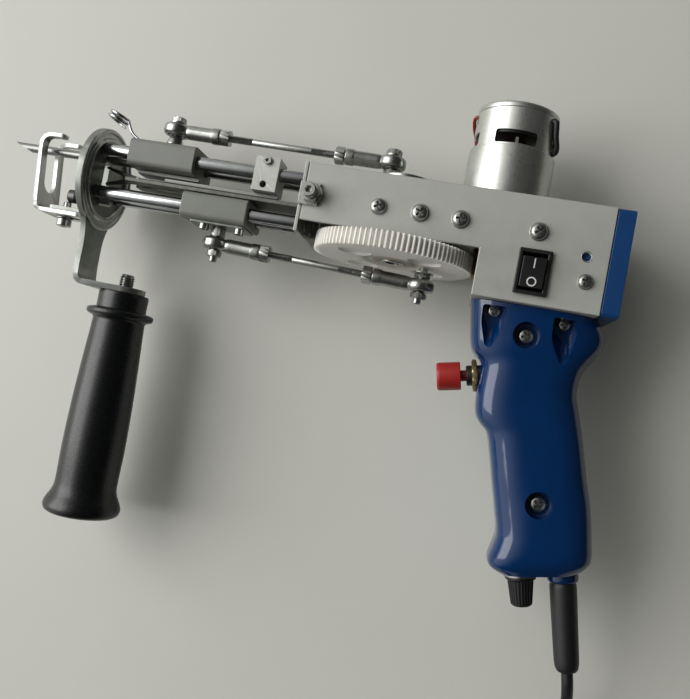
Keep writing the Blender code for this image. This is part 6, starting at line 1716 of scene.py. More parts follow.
@dataclass
class PresserFoot(Assembly):
    """Bent fork of the presser foot, its bracket and clamping screw."""

    front: float = -232.8
    lean: float = 4.0
    thickness: float = 2.0
    half_width: float = 11.0
    slot: float = 5.5
    slot_steps: int = 16
    top: float = -0.6
    slot_low: float = -25.5
    hook: float = 14.0
    hook_width: float = 4.4
    hook_bend: float = 7.5
    # Share of a bend's reach by which the bent sheet is shorter than its corner
    bend_saving: float = 0.38
    fork_length: float = 36.0
    corner: float = 2.1
    inner_corner: float = 1.5
    base_corner: float = 3.0
    mouth: Point = (-1.0, 3.0)
    slot_overlap: float = 0.4
    base: float = -42.3
    base_bend: float = 2.6
    base_length: float = 26.8
    base_half: float = 10.0
    base_step: float = 3.0
    slide_span: Point = (-3.2, 9.2)
    slide_half: float = 2.3
    slide_rounding: float = 2.0
    screw_x: float = -219.8
    screw_radius: float = 3.85
    screw_span: Point = (-43.3, -47.5)
    washer: Rows = ((1.6, -43.25, 0.0), (4.6, -43.25, 0.2), (4.6, -42.6, 0.2), (1.6, -42.6, 0.0))
    shank: Rows = ((0.0, -44.3), (M4, -44.3), (M4, -34.6), (1.6, -34.2), (0.0, -34.2))
    bracket_rail: Rows = ((-225.6, -39.0, 0.0), (-205.8, -39.0, 2.4), (-205.8, -31.0, 0.0))
    bracket_half: float = 9.0
    bracket_corners: Point = (2.5, 2.0)
    bracket_hole: Point = (5.8, 0.0)
    bracket_hole_radius: float = 2.3

    def _outline(self, tip: float) -> list[Point]:
        """Flat outline of hooks, fork and base, by place along the rail and Z.

        Args:
            tip: length of the rail.

        Returns:
            The corners.
        """
        half, inner, slot = self.half_width, self.half_width - self.hook_width, self.slot
        sheet = self.thickness / 2.0
        run = self.hook - sheet - self.bend_saving * self.hook_bend
        bottom = run + self.top - sheet - self.slot_low
        fork, shoulder = run + self.fork_length, tip - self.base_length + self.base_step
        wide, small, base, large = self.corner, self.inner_corner, self.base_half, self.base_corner
        begin, end = (run + place for place in self.mouth)
        foot = bottom - self.slot_overlap
        near = rounded([
            (0.0, inner, 0.0), (0.0, half, wide), (fork, half, small), (shoulder, base, small),
            (tip, base, large), (tip, -base, large), (shoulder, -base, small), (fork, -half, small),
            (0.0, -half, wide), (0.0, -inner, wide), (begin, -inner, small), (end, -slot, small),
            (foot, -slot, 0.0),
        ])
        far = rounded([(foot, slot, 0.0), (end, slot, small), (begin, inner, small), (0.0, inner, 0.0)])
        arc = []
        for index in range(self.slot_steps, -1, -1):
            angle = math.pi * index / self.slot_steps
            arc.append((bottom + slot * math.sin(angle), slot * math.cos(angle)))
        return near + arc + far[:-1]

    def build(self) -> None:
        """Builds the fork, the bracket and the screw."""
        half = self.thickness / 2.0
        middle, top, low = self.front + half, self.top - half, self.base + half
        end = self.front + self.base_length
        rail = Rail([
            (self.front - self.lean + self.hook, top, 0.0), (middle - self.lean, top, self.hook_bend),
            (middle, low, self.base_bend), (end, low, 0.0),
        ])
        slot_at = rail.length - (end - self.screw_x)
        begin, last = (slot_at + place for place in self.slide_span)
        slide = rectangle((begin, -self.slide_half), (last, self.slide_half), self.slide_rounding)
        fork = Shape().prism(Axis.Y, self._outline(rail.length), -half, half, [slide]).bend(rail)
        self.shop.put(fork, "presser_fork", PRESSED, "presser_foot", Body.FOOT, bevel=0.4, angle=40.0)
        self._bracket()
        spot = (self.screw_x, 0.0)
        head = cap_screw(Axis.Y, spot, self.screw_radius, *self.screw_span)
        shank = Shape().lathe(Axis.Y, self.shank, spot, 24)
        head.join(turned_ring(Axis.Y, self.washer, spot), shank)
        self.shop.put(head, "clamp_screw", ZINC, "foot_screw", angle=30.0)

    def _bracket(self) -> None:
        """Builds the bracket from the ring plate, bent up against it."""
        rail = Rail(self.bracket_rail)
        end, half = rail.length, self.bracket_half
        front, rear = self.bracket_corners
        outline = rounded([
            (0.0, -half, front), (end, -half, rear), (end, half, rear), (0.0, half, front),
        ], closed=True)
        hole = circle(self.bracket_hole_radius, self.bracket_hole)
        thick = self.thickness / 2.0
        plate = Shape().prism(Axis.Y, outline, -thick, thick, [hole]).bend(rail)
        self.shop.put(plate, "foot_bracket_plate", PRESSED, "foot_bracket", bevel=0.35)


@dataclass
class UpperCarriage(Assembly):
    """Upper slider with its needle, carrier plate, thread guide and front bolt."""

    pin_x: float = -166.7
    needle_y: float = -8.0
    needle_radius: float = 2.3
    needle_bore: float = 1.5
    needle_span: Point = (-256.0, -172.0)
    # Corners of the slanted cut, behind the needle's tip and above its axis
    cut: Rows = ((-3.0, 2.7), (0.0, 1.8), (6.6, -0.8), (12.0, -3.3), (-3.0, -3.3))
    cut_half: float = 3.3
    wire: float = 0.8
    wire_y: float = 3.7
    seat_radius: float = 3.4
    seat_gap: float = math.radians(40.0)
    seat_steps: int = 16
    arm: Rows = ((-173.5, 3.7, 0.0), (-183.6, 3.7, 0.0), (-186.2, 4.7, 0.0), (-191.5, 8.3, 0.0))
    loop_centre: Point = (-200.7, 14.9, 0.0)
    loop_radius: float = 5.0
    loop_pitch: float = 2.2
    loop_tilt: float = math.radians(65.0)
    loop_count: int = 2
    loop_steps: int = 32
    bolt: Rows = (
        (0.0, 2.6), (M4, 2.6), (M4, 4.8), (4.5, 4.8), (4.6, 5.2), (4.2, 6.4), (3.2, 9.2), (M4, 9.3),
        (M4, 16.3), (4.4, 16.3), (4.4, 16.9), (M4_HEX, 16.9, 19.6), (2.4, 19.6), (2.2, 19.5), (0.0, 19.5),
    )

    def build(self) -> None:
        """Builds the carriage pieces."""
        self.shop.dressed("upper_slider", "upper_slide_block", ACETAL, Body.UPPER, 0.7)
        self.shop.dressed("needle_carrier_plate", "needle_bar_plate", BLACKED, Body.UPPER, 0.3)
        self._needle()
        self._guide()
        bolt = Shape().lathe(Axis.Y, bolt_profile(self.bolt), (self.pin_x, 0.0), 48)
        self.shop.put(bolt, "upper_front_screw", ZINC, "upper_front_bolt", Body.UPPER, angle=28.0)

    def _needle(self) -> None:
        """Builds the hollow needle with its slanted, sharpened tip."""
        tip, tail = self.needle_span
        bore, radius = self.needle_bore, self.needle_radius
        walls = [(bore, tip), (radius, tip), (radius, tail), (bore, tail)]
        tube = Shape().lathe(Axis.X, walls, (self.needle_y, 0.0), 56, closed=True)
        corners = [(tip + x, self.needle_y + y) for x, y in self.cut]
        wedge = Shape().prism(Axis.Z, corners, -self.cut_half, self.cut_half)
        self.shop.put(carved(tube, [wedge]), "hollow_needle", NEEDLE_STEEL, "needle", Body.UPPER, angle=30.0)

    def _guide(self) -> None:
        """Builds the thread guide, bent from one wire: seat ring, arm and two loops."""
        ring = []
        for index in range(self.seat_steps + 1):
            share = (self.seat_steps - index) / self.seat_steps
            angle = math.pi + self.seat_gap + (TURN - 2.0 * self.seat_gap) * share
            x, z = self.pin_x + self.seat_radius * math.cos(angle), self.seat_radius * math.sin(angle)
            ring.append((x, self.wire_y, z))
        tilt = Matrix.Rotation(self.loop_tilt, 3, "Z")
        middle, reach = Vector(self.loop_centre), self.loop_radius
        loops = []
        for index in range(self.loop_count * self.loop_steps + 1):
            turn = index / self.loop_steps
            angle = -math.pi / 2.0 + TURN * turn
            spot = Vector((self.loop_pitch * (1.0 - turn), reach * math.sin(angle), reach * math.cos(angle)))
            loops.append(tuple(middle + tilt @ spot))
        steps = 6
        arm = smooth_line([ring[-1], *self.arm, loops[0], loops[1]], steps)
        line = ring[:-1] + arm[:-steps] + loops
        wire = self.shop.wire(line, self.wire, CHROME)
        self.shop.put(wire, "yarn_guide", CHROME, "thread_guide", Body.UPPER, angle=60.0)


@dataclass
class LowerCarriage(Assembly):
    """Lower slider with the scissor blades, their pivot and the front bolt."""

    pin_x: float = -133.9
    pivot: Point = (-182.9, -16.5)
    pivot_screw: Rows = (
        (0.0, -2.3, 0.0), (1.9, -2.3, 0.4), (1.9, -1.6, 0.2), (1.1, -1.6, 0.0), (1.1, 1.7, 0.0),
        (0.0, 1.7, 0.0),
    )
    bolt: Rows = (
        (0.0, -52.6), (1.7, -52.6), (M4, -52.2), (M4, -49.9), (3.0, -49.9), (M4_HEX, -49.7, -46.7),
        (M4, -46.7), (M4, -39.5), (M4_HEX, -39.5), (M4_HEX, -39.5, -34.6), (0.0, -34.6),
    )
    strip_low: Point = (-147.0, -9.0)
    strip_high: Point = (-118.0, 9.0)
    strip_span: Point = (-34.5, -33.5)
    strip_screws: Rows = ((-139.6, 6.6), (-120.6, 6.6))
    strip_screw_radius: float = 2.6
    strip_screw_span: Point = (-34.5, -37.8)

    def build(self) -> None:
        """Builds the carriage pieces."""
        self.shop.dressed("lower_slider", "lower_slide_block", ACETAL, Body.LOWER, 0.7)
        self.shop.dressed("fixed_blade", "fixed_shear", BLACKED, Body.LOWER, 0.25)
        self.shop.dressed("moving_blade", "moving_shear", BLACKED, Body.BLADE, 0.25)
        pivot = turned(Axis.Z, self.pivot_screw, self.pivot, 32)
        self.shop.put(pivot, "shear_pivot", ZINC, body=Body.LOWER)
        bolt = Shape().lathe(Axis.Y, bolt_profile(self.bolt), (self.pin_x, 0.0), 48)
        self.shop.put(bolt, "lower_front_screw", ZINC, "lower_front_bolt", Body.LOWER, angle=28.0)
        strip = Shape().prism(Axis.Y, rectangle(self.strip_low, self.strip_high, 1.0), *self.strip_span)
        self.shop.put(strip, "slide_strip", PRESSED, body=Body.LOWER, bevel=0.2)
        heads = Shape()
        for spot in self.strip_screws:
            heads.join(cap_screw(Axis.Y, spot, self.strip_screw_radius, *self.strip_screw_span))
        self.shop.put(heads, "slide_strip_screws", ZINC, body=Body.LOWER, angle=30.0)


@dataclass
class ConnectingLink(Assembly):
    """Adjustable link: two rod ends with lock nuts on a threaded bar, and its rear bolt.

    The link's own frame has the front eye at zero and the rear eye on +X. The rows of pin are
    places above the rear eye.
    """

    name: str
    body: Body
    front: Point
    rear: Point
    pin: Rows
    band: Rows = (
        (4.6, -2.7, 0.3), (6.2, -2.7, 0.4), (7.0, -1.485, 0.9), (7.0, 1.485, 0.9), (6.2, 2.7, 0.4),
        (4.6, 2.7, 0.3), (4.6, 2.2, 0.0), (4.6, -2.2, 0.0),
    )
    ball: Rows = (
        (2.2, -3.3, 0.2), (3.1, -3.3, 0.4), (4.7, -1.386, 1.2), (4.7, 1.386, 1.2), (3.1, 3.3, 0.4),
        (2.2, 3.3, 0.2),
    )
    sleeve: Rows = (
        (0.0, 5.2, 0.0), (3.3, 5.2, 0.0), (3.75, 7.2, 1.2), (3.75, 19.8, 0.2), (4.2, 20.2, 0.2),
        (4.25, 24.2, 0.4), (2.0, 24.5, 0.0), (0.0, 24.5, 0.0),
    )
    bar_radius: float = 1.75
    bar_start: float = 15.0
    thread_end: float = 42.0
    bar_thread: Point = (1.98, 1.62, 0.7, 0.35)
    nut: Point = (4.6, 0.0, 4.8, 0.2)
    nut_bore: float = 1.8
    nut_seat: float = 24.8
    nut_turn: float = 0.3

    @property
    def length(self) -> float:
        """Distance between the eyes."""
        return math.dist(self.front, self.rear)

    @property
    def matrix(self) -> Matrix:
        """Matrix from the link's own frame to datum millimetres."""
        turn = math.atan2(self.rear[1] - self.front[1], self.rear[0] - self.front[0])
        return Matrix.Translation((*self.front, 0.0)) @ Matrix.Rotation(turn, 4, "Z")

    def _rod_end(self) -> Shape:
        """Rod end with its eye at zero and its sleeve along +X.

        Returns:
            The rod end.
        """
        eye = turned_ring(Axis.Y, self.band, steps=56)
        return eye.join(turned_ring(Axis.Y, self.ball, steps=56), turned(Axis.X, self.sleeve))

    def _bar(self) -> Shape:
        """Bar with a thread at each end.

        Returns:
            The bar along +X.
        """
        crest, root, pitch, fall = self.bar_thread
        first, place = thread(crest, root, self.bar_start, self.thread_end, pitch, fall)
        start, end = self.length - place, self.length - self.bar_start
        second, last = thread(crest, root, start, end, pitch, fall)
        plain = [(self.bar_radius, place), (self.bar_radius, start)]
        return Shape().lathe(Axis.X, [(0.0, self.bar_start), *first, *plain, *second, (0.0, last)], steps=32)

    def build(self) -> None:
        """Builds the rod ends, the lock nuts, the bar and the rear bolt."""
        name, body, matrix = self.name, self.body, self.matrix
        front = self._rod_end().moved(matrix)
        self.shop.put(front, f"{name}_front_eye", ZINC, f"{name}_front_rod_end", body, angle=40.0)
        back = Matrix.Translation((self.length, 0.0, 0.0)) @ Matrix.Rotation(math.pi, 4, "Z")
        rear = self._rod_end().moved(matrix @ back)
        self.shop.put(rear, f"{name}_rear_eye", ZINC, f"{name}_rear_rod_end", body, angle=40.0)
        bar = self._bar().moved(matrix)
        self.shop.put(bar, f"{name}_link_bar", ZINC, f"{name}_link_rod", body, angle=60.0)
        walls = [(self.nut_bore, self.nut[1]), *hex_levels(*self.nut), (self.nut_bore, self.nut[2])]
        nut = Shape().lathe(Axis.Z, walls, steps=48, closed=True)
        nut.moved(Matrix.Rotation(self.nut_turn, 4, "Z"))
        spots = [(self.nut_seat, 0.0, 0.0), (self.length - self.nut_seat, 0.0, 0.0)]
        turns = [(0.0, way * math.pi / 2.0, 0.0) for way in (1.0, -1.0)]
        nuts = self.shop.scatter(nut, ZINC, spots, turns, [1.0, 1.0])
        self.shop.put(nuts.moved(matrix), f"{name}_lock_nuts", ZINC, body=body, angle=28.0)
        bolt = Shape().lathe(Axis.Y, bolt_profile(self.pin), (self.length, 0.0), 48).moved(matrix)
        self.shop.put(bolt, f"{name}_crank_bolt", ZINC, f"{name}_rear_bolt", body, angle=28.0)


@dataclass
class StopBlock(Assembly):
    """Clamped stop block with its cam bar and set screw."""

    hole: Point = (-111.1, -11.2)
    hole_radius: float = 1.6
    hole_span: Point = (6.5, 14.5)
    screw: Point = (-110.6, 0.5)
    screw_radius: float = 2.1
    screw_span: Point = (12.5, 15.3)

    def build(self) -> None:
        """Builds the block, the bar and the set screw."""
        low, high = self.hole_span
        walls = [(0.0, low), (self.hole_radius, low), (self.hole_radius, high), (0.0, high)]
        block = carved(self.shop.copied("stop_block"), [Shape().lathe(Axis.Z, walls, self.hole, 32)])
        self.shop.put(block, "clamp_block", BARE, "stop_block", Body.STOP, bevel=0.3)
        self.shop.dressed("cam_bar", "cam_strip", BLACKED, Body.STOP, 0.25)
        screw = cap_screw(Axis.Z, self.screw, self.screw_radius, *self.screw_span)
        self.shop.put(screw, "clamp_set_screw", ZINC, body=Body.STOP, angle=30.0)


@dataclass
class GearTrain(Assembly):
    """Moulded drive gear with its hub, shaft and crank disc."""

    x: float = -41.4
    teeth: int = 98
    module: float = 0.8
    low: float = -37.9
    high: float = -29.7
    bore: float = 4.3
    # Rows of radius, place above the gear's lower face, and rounding
    web: Rows = ((4.3, 0.3, 0.2), (10.0, 0.3, 0.5), (11.5, 0.9, 0.6), (13.5, 0.9, 0.6), (15.0, 0.0, 0.8))
    rim_width: float = 1.0
    rim_edge: float = 0.5
    rim_rounding: float = 0.3
    pocket_count: int = 4
    pocket_pitch: float = 24.0
    pocket: Rows = ((0.0, -1.0, 0.0), (8.6, -1.0, 0.0), (8.0, 0.4, 0.8), (6.6, 1.3, 1.0), (0.0, 1.4, 0.0))
    # Rows of place above the pitch circle, and half thickness as a share of the tooth step
    flank: Rows = ((-1.5, 0.31), (-0.5, 0.27), (0.0, 0.235), (0.65, 0.15), (0.8, 0.11))
    end_taper: float = 0.004
    end_chamfer: float = 0.35
    shaft: Rows = ((0.0, -37.2, 0.0), (4.0, -37.2, 0.5), (4.0, -20.0, 0.0), (0.0, -20.0, 0.0))
    washer: Rows = ((3.6, -38.0, 0.1), (6.4, -38.0, 0.2), (6.4, -37.2, 0.1), (3.6, -37.2, 0.1))

    def _body(self, root: float) -> Shape:
        """Web and rim of the gear with its round pockets.

        Args:
            root: radius at the foot of the teeth.

        Returns:
            The gear's body.
        """
        inside, turn = root - self.rim_width, self.rim_rounding
        blank = turned_ring(Axis.Y, [
            *shifted(self.web, self.low), (inside, self.low, turn), (root, self.low + self.rim_edge, turn),
            (root, self.high - self.rim_edge, turn), (inside, self.high, turn), (self.bore, self.high, 0.2),
        ], (self.x, 0.0), 196)
        pockets = []
        for index in range(self.pocket_count):
            angle = TURN * (index + 0.5) / self.pocket_count
            spot = (self.x + self.pocket_pitch * math.cos(angle), self.pocket_pitch * math.sin(angle))
            pockets.append(turned(Axis.Y, shifted(self.pocket, self.low), spot, 40))
        return carved(blank, pockets)

    def _tooth(self, pitch: float) -> Shape:
        """One tooth, its pitch line at zero.

        Args:
            pitch: radius of the pitch circle.

        Returns:
            The tooth along Z.
        """
        step = TURN / self.teeth
        flank = [(pitch + rise, share) for rise, share in self.flank]
        outline = [(r, -s * step * r) for r, s in flank] + [(r, s * step * r) for r, s in reversed(flank)]
        low, high, edge, taper = self.low, self.high, self.end_chamfer, 1.0 - self.end_taper
        return Shape().skin([
            [Vector((u * size - pitch, v, z)) for u, v in outline]
            for z, size in ((low, taper), (low + edge, 1.0), (high - edge, 1.0), (high, taper))
        ])

    def build(self) -> None:
        """Builds the gear, the crank disc and the shaft."""
        pitch = self.teeth * self.module / 2.0
        centre = (self.x, 0.0)
        body = self._body(pitch - 1.25 * self.module)
        upright = Matrix.Translation((self.x, 0.0, 0.0)) @ Matrix.Rotation(-math.pi / 2.0, 4, "X")
        turn = Matrix.Scale(-1.0, 4, (0, 1, 0)) @ Matrix.Rotation(-math.pi / 2.0, 4, "Z")
        teeth = self.shop.ring(self._tooth(pitch), NYLON, self.teeth, pitch).moved(upright @ turn)
        self.shop.put(body, "drive_gear_web", NYLON, "drive_gear", Body.GEAR, angle=40.0)
        self.shop.put(teeth, "drive_gear_teeth", NYLON, body=Body.GEAR, angle=25.0)
        self.shop.dressed("crank_disc", "crank_plate", ZINC, Body.GEAR, 0.5)
        self.shop.put(turned(Axis.Y, self.shaft, centre, 40), "gear_shaft_end", BLACKED, body=Body.GEAR)
        self.shop.put(turned_ring(Axis.Y, self.washer, centre, 40), "shaft_washer", ZINC, body=Body.GEAR)


@dataclass
class Motor(Assembly):
    """Brushed can motor with its flux ring, vents, end cap and leads.

    Profiles are rows of radius, height and rounding; leads are rows of angle from the viewer's side,
    height and distance from the motor's axis.
    """

    x: float = 7.4
    can: Rows = (
        (3.0, -21.2, 0.0), (19.9, -21.2, 2.4), (19.9, 41.8, 0.0), (18.9, 41.8, 0.0), (18.9, -20.2, 1.6),
        (3.0, -20.2, 0.0),
    )
    vent_low: Point = (-9.75, 24.5)
    vent_high: Point = (9.75, 31.0)
    vent_rounding: float = 1.2
    vent_depth: Point = (12.0, 24.0)
    vent_count: int = 4
    ring: Rows = ((19.95, 0.3, 0.0), (21.0, 0.3, 0.4), (21.0, 23.5, 0.4), (19.95, 23.5, 0.0))
    seam_low: Point = (7.05, -2.0)
    seam_high: Point = (7.75, 30.0)
    seam_depth: Point = (-30.0, 0.0)
    lid: Rows = (
        (0.0, 40.5, 0.0), (19.4, 40.5, 0.0), (19.4, 42.0, 0.0), (19.9, 42.2, 0.25), (19.9, 44.3, 0.6),
        (18.1, 45.5, 1.3), (13.0, 45.5, 0.4), (12.4, 45.0, 0.4), (6.8, 45.0, 0.4), (6.0, 45.5, 0.3),
        (6.0, 47.5, 0.5), (4.0, 47.5, 0.3), (3.6, 46.7, 0.3), (0.0, 46.7, 0.0),
    )
    carrier: Rows = ((7.5, 30.0, 0.0), (18.4, 30.0, 0.3), (18.4, 40.3, 0.0), (7.5, 40.3, 0.0))
    clip_low: Point = (7.3, 23.5)
    clip_high: Point = (8.7, 28.1)
    clip_span: Point = (17.2, 17.9)
    clip_rounding: float = 0.3
    black_lead: Rows = (
        (0.95, 40.0, 16.9), (0.95, 39.9, 19.9), (0.96, 39.3, 21.2), (0.98, 37.5, 21.4), (1.04, 33.0, 21.4),
        (1.16, 27.0, 21.6), (1.2, 25.2, 18.4),
    )
    black_radius: float = 1.5
    red_lead: Rows = (
        (-1.35, 40.5, 16.9), (-1.4, 40.3, 19.9), (-1.5, 39.5, 21.1), (-1.75, 37.0, 21.1), (-2.0, 33.0, 20.9),
        (-2.1, 28.0, 20.9), (-2.1, 25.6, 18.4),
    )
    red_radius: float = 0.9

    def build(self) -> None:
        """Builds the can, the ring, the cap, the brush carrier and the leads."""
        centre = (self.x, 0.0)
        vents = []
        for index in range(self.vent_count):
            turn = Matrix.Rotation(TURN * index / self.vent_count, 4, "Y")
            outline = rectangle(self.vent_low, self.vent_high, self.vent_rounding)
            cutter = Shape().prism(Axis.Z, outline, *self.vent_depth)
            vents.append(cutter.moved(Matrix.Translation((self.x, 0.0, 0.0)) @ turn))
        case = carved(turned_ring(Axis.Y, self.can, centre, 128), vents)
        self.shop.put(case, "motor_case", GALVANISED, "motor_can")
        seam = Shape().prism(Axis.Z, rectangle(self.seam_low, self.seam_high), *self.seam_depth)
        band = carved(turned_ring(Axis.Y, self.ring, centre, 128), [seam])
        self.shop.put(band, "flux_band", GALVANISED, "flux_ring")
        lid = turned(Axis.Y, self.lid, centre, 128)
        self.shop.put(lid, "motor_lid", GALVANISED, "motor_end_cap", angle=40.0)
        self.shop.put(turned_ring(Axis.Y, self.carrier, centre, 64), "brush_carrier", BLACK)
        clip = Shape().prism(
            Axis.Z, rectangle(self.clip_low, self.clip_high, self.clip_rounding), *self.clip_span,
        )
        self.shop.put(clip, "brush_clip", ZINC)
        self._lead(self.black_lead, self.black_radius, RUBBER, "black_motor_lead")
        self._lead(self.red_lead, self.red_radius, RED_LEAD, "red_motor_lead")

    def _lead(self, rows: Sequence[Point], radius: float, finish: Finish, name: str) -> None:
        """Builds a lead wire down the can into the box.

        Args:
            rows: places that the wire passes.
            radius: radius of the wire.
            finish: its skin.
            name: name of the piece.
        """
        spots = [(self.x + reach * math.sin(angle), y, reach * math.cos(angle)) for angle, y, reach in rows]
        self.shop.put(self.shop.wire(smooth_line(spots), radius, finish), name, finish, angle=60.0)


@dataclass
class PistolGrip(Assembly):
    """Two moulded grip shells with their recesses and screws.

    Edges and depth are rows of place as a share of the length, and reach as a share of the half width
    or half depth. Recesses are rows of share along and share across.
    """

    grip: GripFrame
    half_width: float = 30.0
    half_depth: float = 17.5
    squareness: float = 3.5
    stations: int = 84
    arc: int = 28
    # The shell starts above the box's lower face, where the lid cuts it; its stations crowd to the end
    first_share: float = -0.08
    crowding: float = 1.25
    parting: float = 0.12
    lid: tuple[Point, Point] = ((-60.0, -60.0), (120.0, 60.0))
    lid_span: Point = (-50.3, 20.0)
    front_edge: Rows = (
        (-0.10, -0.95), (0.04, -0.985), (0.12, -0.995), (0.155, -0.96), (0.195, -0.845), (0.24, -0.87),
        (0.30, -0.925), (0.36, -0.96), (0.40, -0.955), (0.43, -0.90), (0.465, -0.80), (0.54, -0.765),
        (0.65, -0.745), (0.76, -0.72), (0.85, -0.715), (0.895, -0.78), (0.945, -0.865), (0.975, -0.83),
        (1.0, -0.68),
    )
    rear_edge: Rows = (
        (-0.10, 0.93), (0.03, 0.96), (0.07, 1.03), (0.122, 1.093), (0.168, 1.043), (0.21, 0.88),
        (0.255, 0.72), (0.332, 0.627), (0.39, 0.645), (0.52, 0.69), (0.658, 0.72), (0.75, 0.752),
        (0.88, 0.745), (0.955, 0.72), (0.985, 0.62), (1.0, 0.50),
    )
    depth: Rows = (
        (-0.10, 1.12), (0.12, 1.12), (0.25, 1.0), (0.45, 0.97), (0.70, 0.98), (0.90, 1.03), (0.96, 0.98),
        (1.0, 0.80),
    )
    nose_y: float = -30.3
    spot_face: Rows = ((0.0, -45.0), (8.4, -45.0), (8.4, -26.8), (0.0, -26.8))
    bush_hole: Rows = ((0.0, -30.0), (5.3, -30.0), (5.3, -22.1), (6.8, -22.1), (6.8, -8.0), (0.0, -8.0))
    recesses: Rows = ((0.105, -0.15), (0.735, -0.07))
    recess: Rows = ((0.0, -6.5, 0.0), (6.1, -6.5, 0.4), (6.3, 2.0, 0.0), (0.0, 2.0, 0.0))
    # Rows of place across the grip as a share, top of the scoop, and lean of its tip
    pockets: Rows = ((-0.60, -53.5, -0.6), (0.50, -54.4, 1.8))
    # Scoop outline from its top middle, and rows of depth, width and height that shrink it to its floor
    scoop: Rows = (
        (-5.8, 1.2, 1.6), (5.8, 1.2, 1.6), (5.0, -9.0, 3.0), (1.6, -21.5, 1.4), (-1.2, -21.5, 1.4),
        (-5.4, -9.0, 3.0),
    )
    scoop_levels: Rows = ((-9.0, 0.80, 0.42), (-5.0, 0.92, 0.74), (-0.5, 1.0, 1.0), (3.0, 1.05, 1.08))
    scoop_screw: float = 0.6
    screw_radii: tuple[float, ...] = (4.1, 4.3, 3.4, 3.4)
    head_height: float = 0.6
    first_turn: float = 0.4
    turn_step: float = 0.5

    def _section(self, share: float, side: float) -> list[Vector]:
        """Half section, from the front edge to the rear and back over the parting.

        Args:
            share: place as a share of the length.
            side: 1 for the near shell and -1 for the far one.

        Returns:
            The points, in grip millimetres.
        """
        front = smooth_value(self.front_edge, share) * self.half_width
        rear = smooth_value(self.rear_edge, share) * self.half_width
        depth = smooth_value(self.depth, share) * self.half_depth
        power = 2.0 / self.squareness
        ring = []
        for index in range(self.arc + 1):
            angle = math.pi * (1.0 - index / self.arc)
            bend = math.cos(angle)
            across = (front + rear) / 2.0 + (rear - front) / 2.0 * math.copysign(abs(bend) ** power, bend)
            height = depth * math.sin(angle) ** power if 0 < index < self.arc else 0.0
            ring.append(Vector((across, -share * self.grip.length, side * (self.parting + height))))
        return ring

    def _shell(self, side: float, cutters: list[Shape]) -> Shape:
        """One shell, cut by the given shapes.

        Args:
            side: 1 for the near shell and -1 for the far one.
            cutters: shapes to cut out.

        Returns:
            The shell.
        """
        rings = []
        for index in range(self.stations + 1):
            rest = (1.0 - index / self.stations) ** self.crowding
            rings.append(self._section(self.first_share + (1.0 - self.first_share) * (1.0 - rest), side))
        lid = Shape().prism(Axis.Y, rectangle(*self.lid), *self.lid_span)
        return carved(Shape().skin(rings).moved(self.grip.matrix), [lid, *cutters])

    def _nose(self) -> list[Shape]:
        """Cutters for the spot face and hole of the button.

        Returns:
            The cutters.
        """
        spot = Shape().lathe(Axis.X, self.spot_face, (self.nose_y, 0.0), 56)
        bush = Shape().lathe(Axis.X, self.bush_hole, (self.nose_y, 0.0), 40)
        return [spot.moved(self.grip.matrix), bush.moved(self.grip.matrix)]

    def _near_cutters(self) -> tuple[list[Shape], list[Point]]:
        """Cutters of the near shell and the seats of its screws.

        Returns:
            The cutters and the seats.
        """
        cutters, seats = [], []
        for along, across in self.recesses:
            surface = smooth_value(self.depth, along) * self.half_depth
            spot = self.grip.point(across * self.half_width, along * self.grip.length)
            cutters.append(turned(Axis.Z, shifted(self.recess, surface), (spot.x, spot.y), 56))
            seats.append((spot.x, spot.y, surface + self.recess[0][1]))
        surface = smooth_value(self.depth, 0.0) * self.half_depth
        for across, top, lean in self.pockets:
            x = self.grip.x + across * self.half_width
            tip = min(v for _, v, _ in self.scoop)
            outline = rounded([
                (u + (lean if v == tip else 0.0), v, reach) for u, v, reach in self.scoop
            ], closed=True, steps=5)
            rings = []
            for z, wide, tall in self.scoop_levels:
                spots = [(x + u * wide, top + v * (tall if v < 0.0 else 1.0)) for u, v in outline]
                rings.append([Vector((*spot, surface + z)) for spot in spots])
            cutters.append(Shape().skin(rings))
            seats.append((x, top - self.scoop_screw, surface + self.scoop_levels[0][0]))
        return cutters, seats

    def build(self) -> None:
        """Builds the shells and their screws."""
        cutters, seats = self._near_cutters()
        near = self._shell(1.0, self._nose() + cutters)
        self.shop.put(near, "near_grip_shell", GRIP_ABS, "grip_near_half", bevel=0.35, angle=42.0)
        far = self._shell(-1.0, self._nose())
        self.shop.put(far, "far_grip_shell", GRIP_ABS, "grip_far_half", bevel=0.35, angle=42.0)
        turns = [(0.0, 0.0, self.first_turn + self.turn_step * index) for index in range(len(seats))]
        heads = self.shop.scatter(pan_head(self.head_height), ZINC, seats, turns, self.screw_radii)
        self.shop.put(heads, "grip_screws", ZINC, angle=32.0)


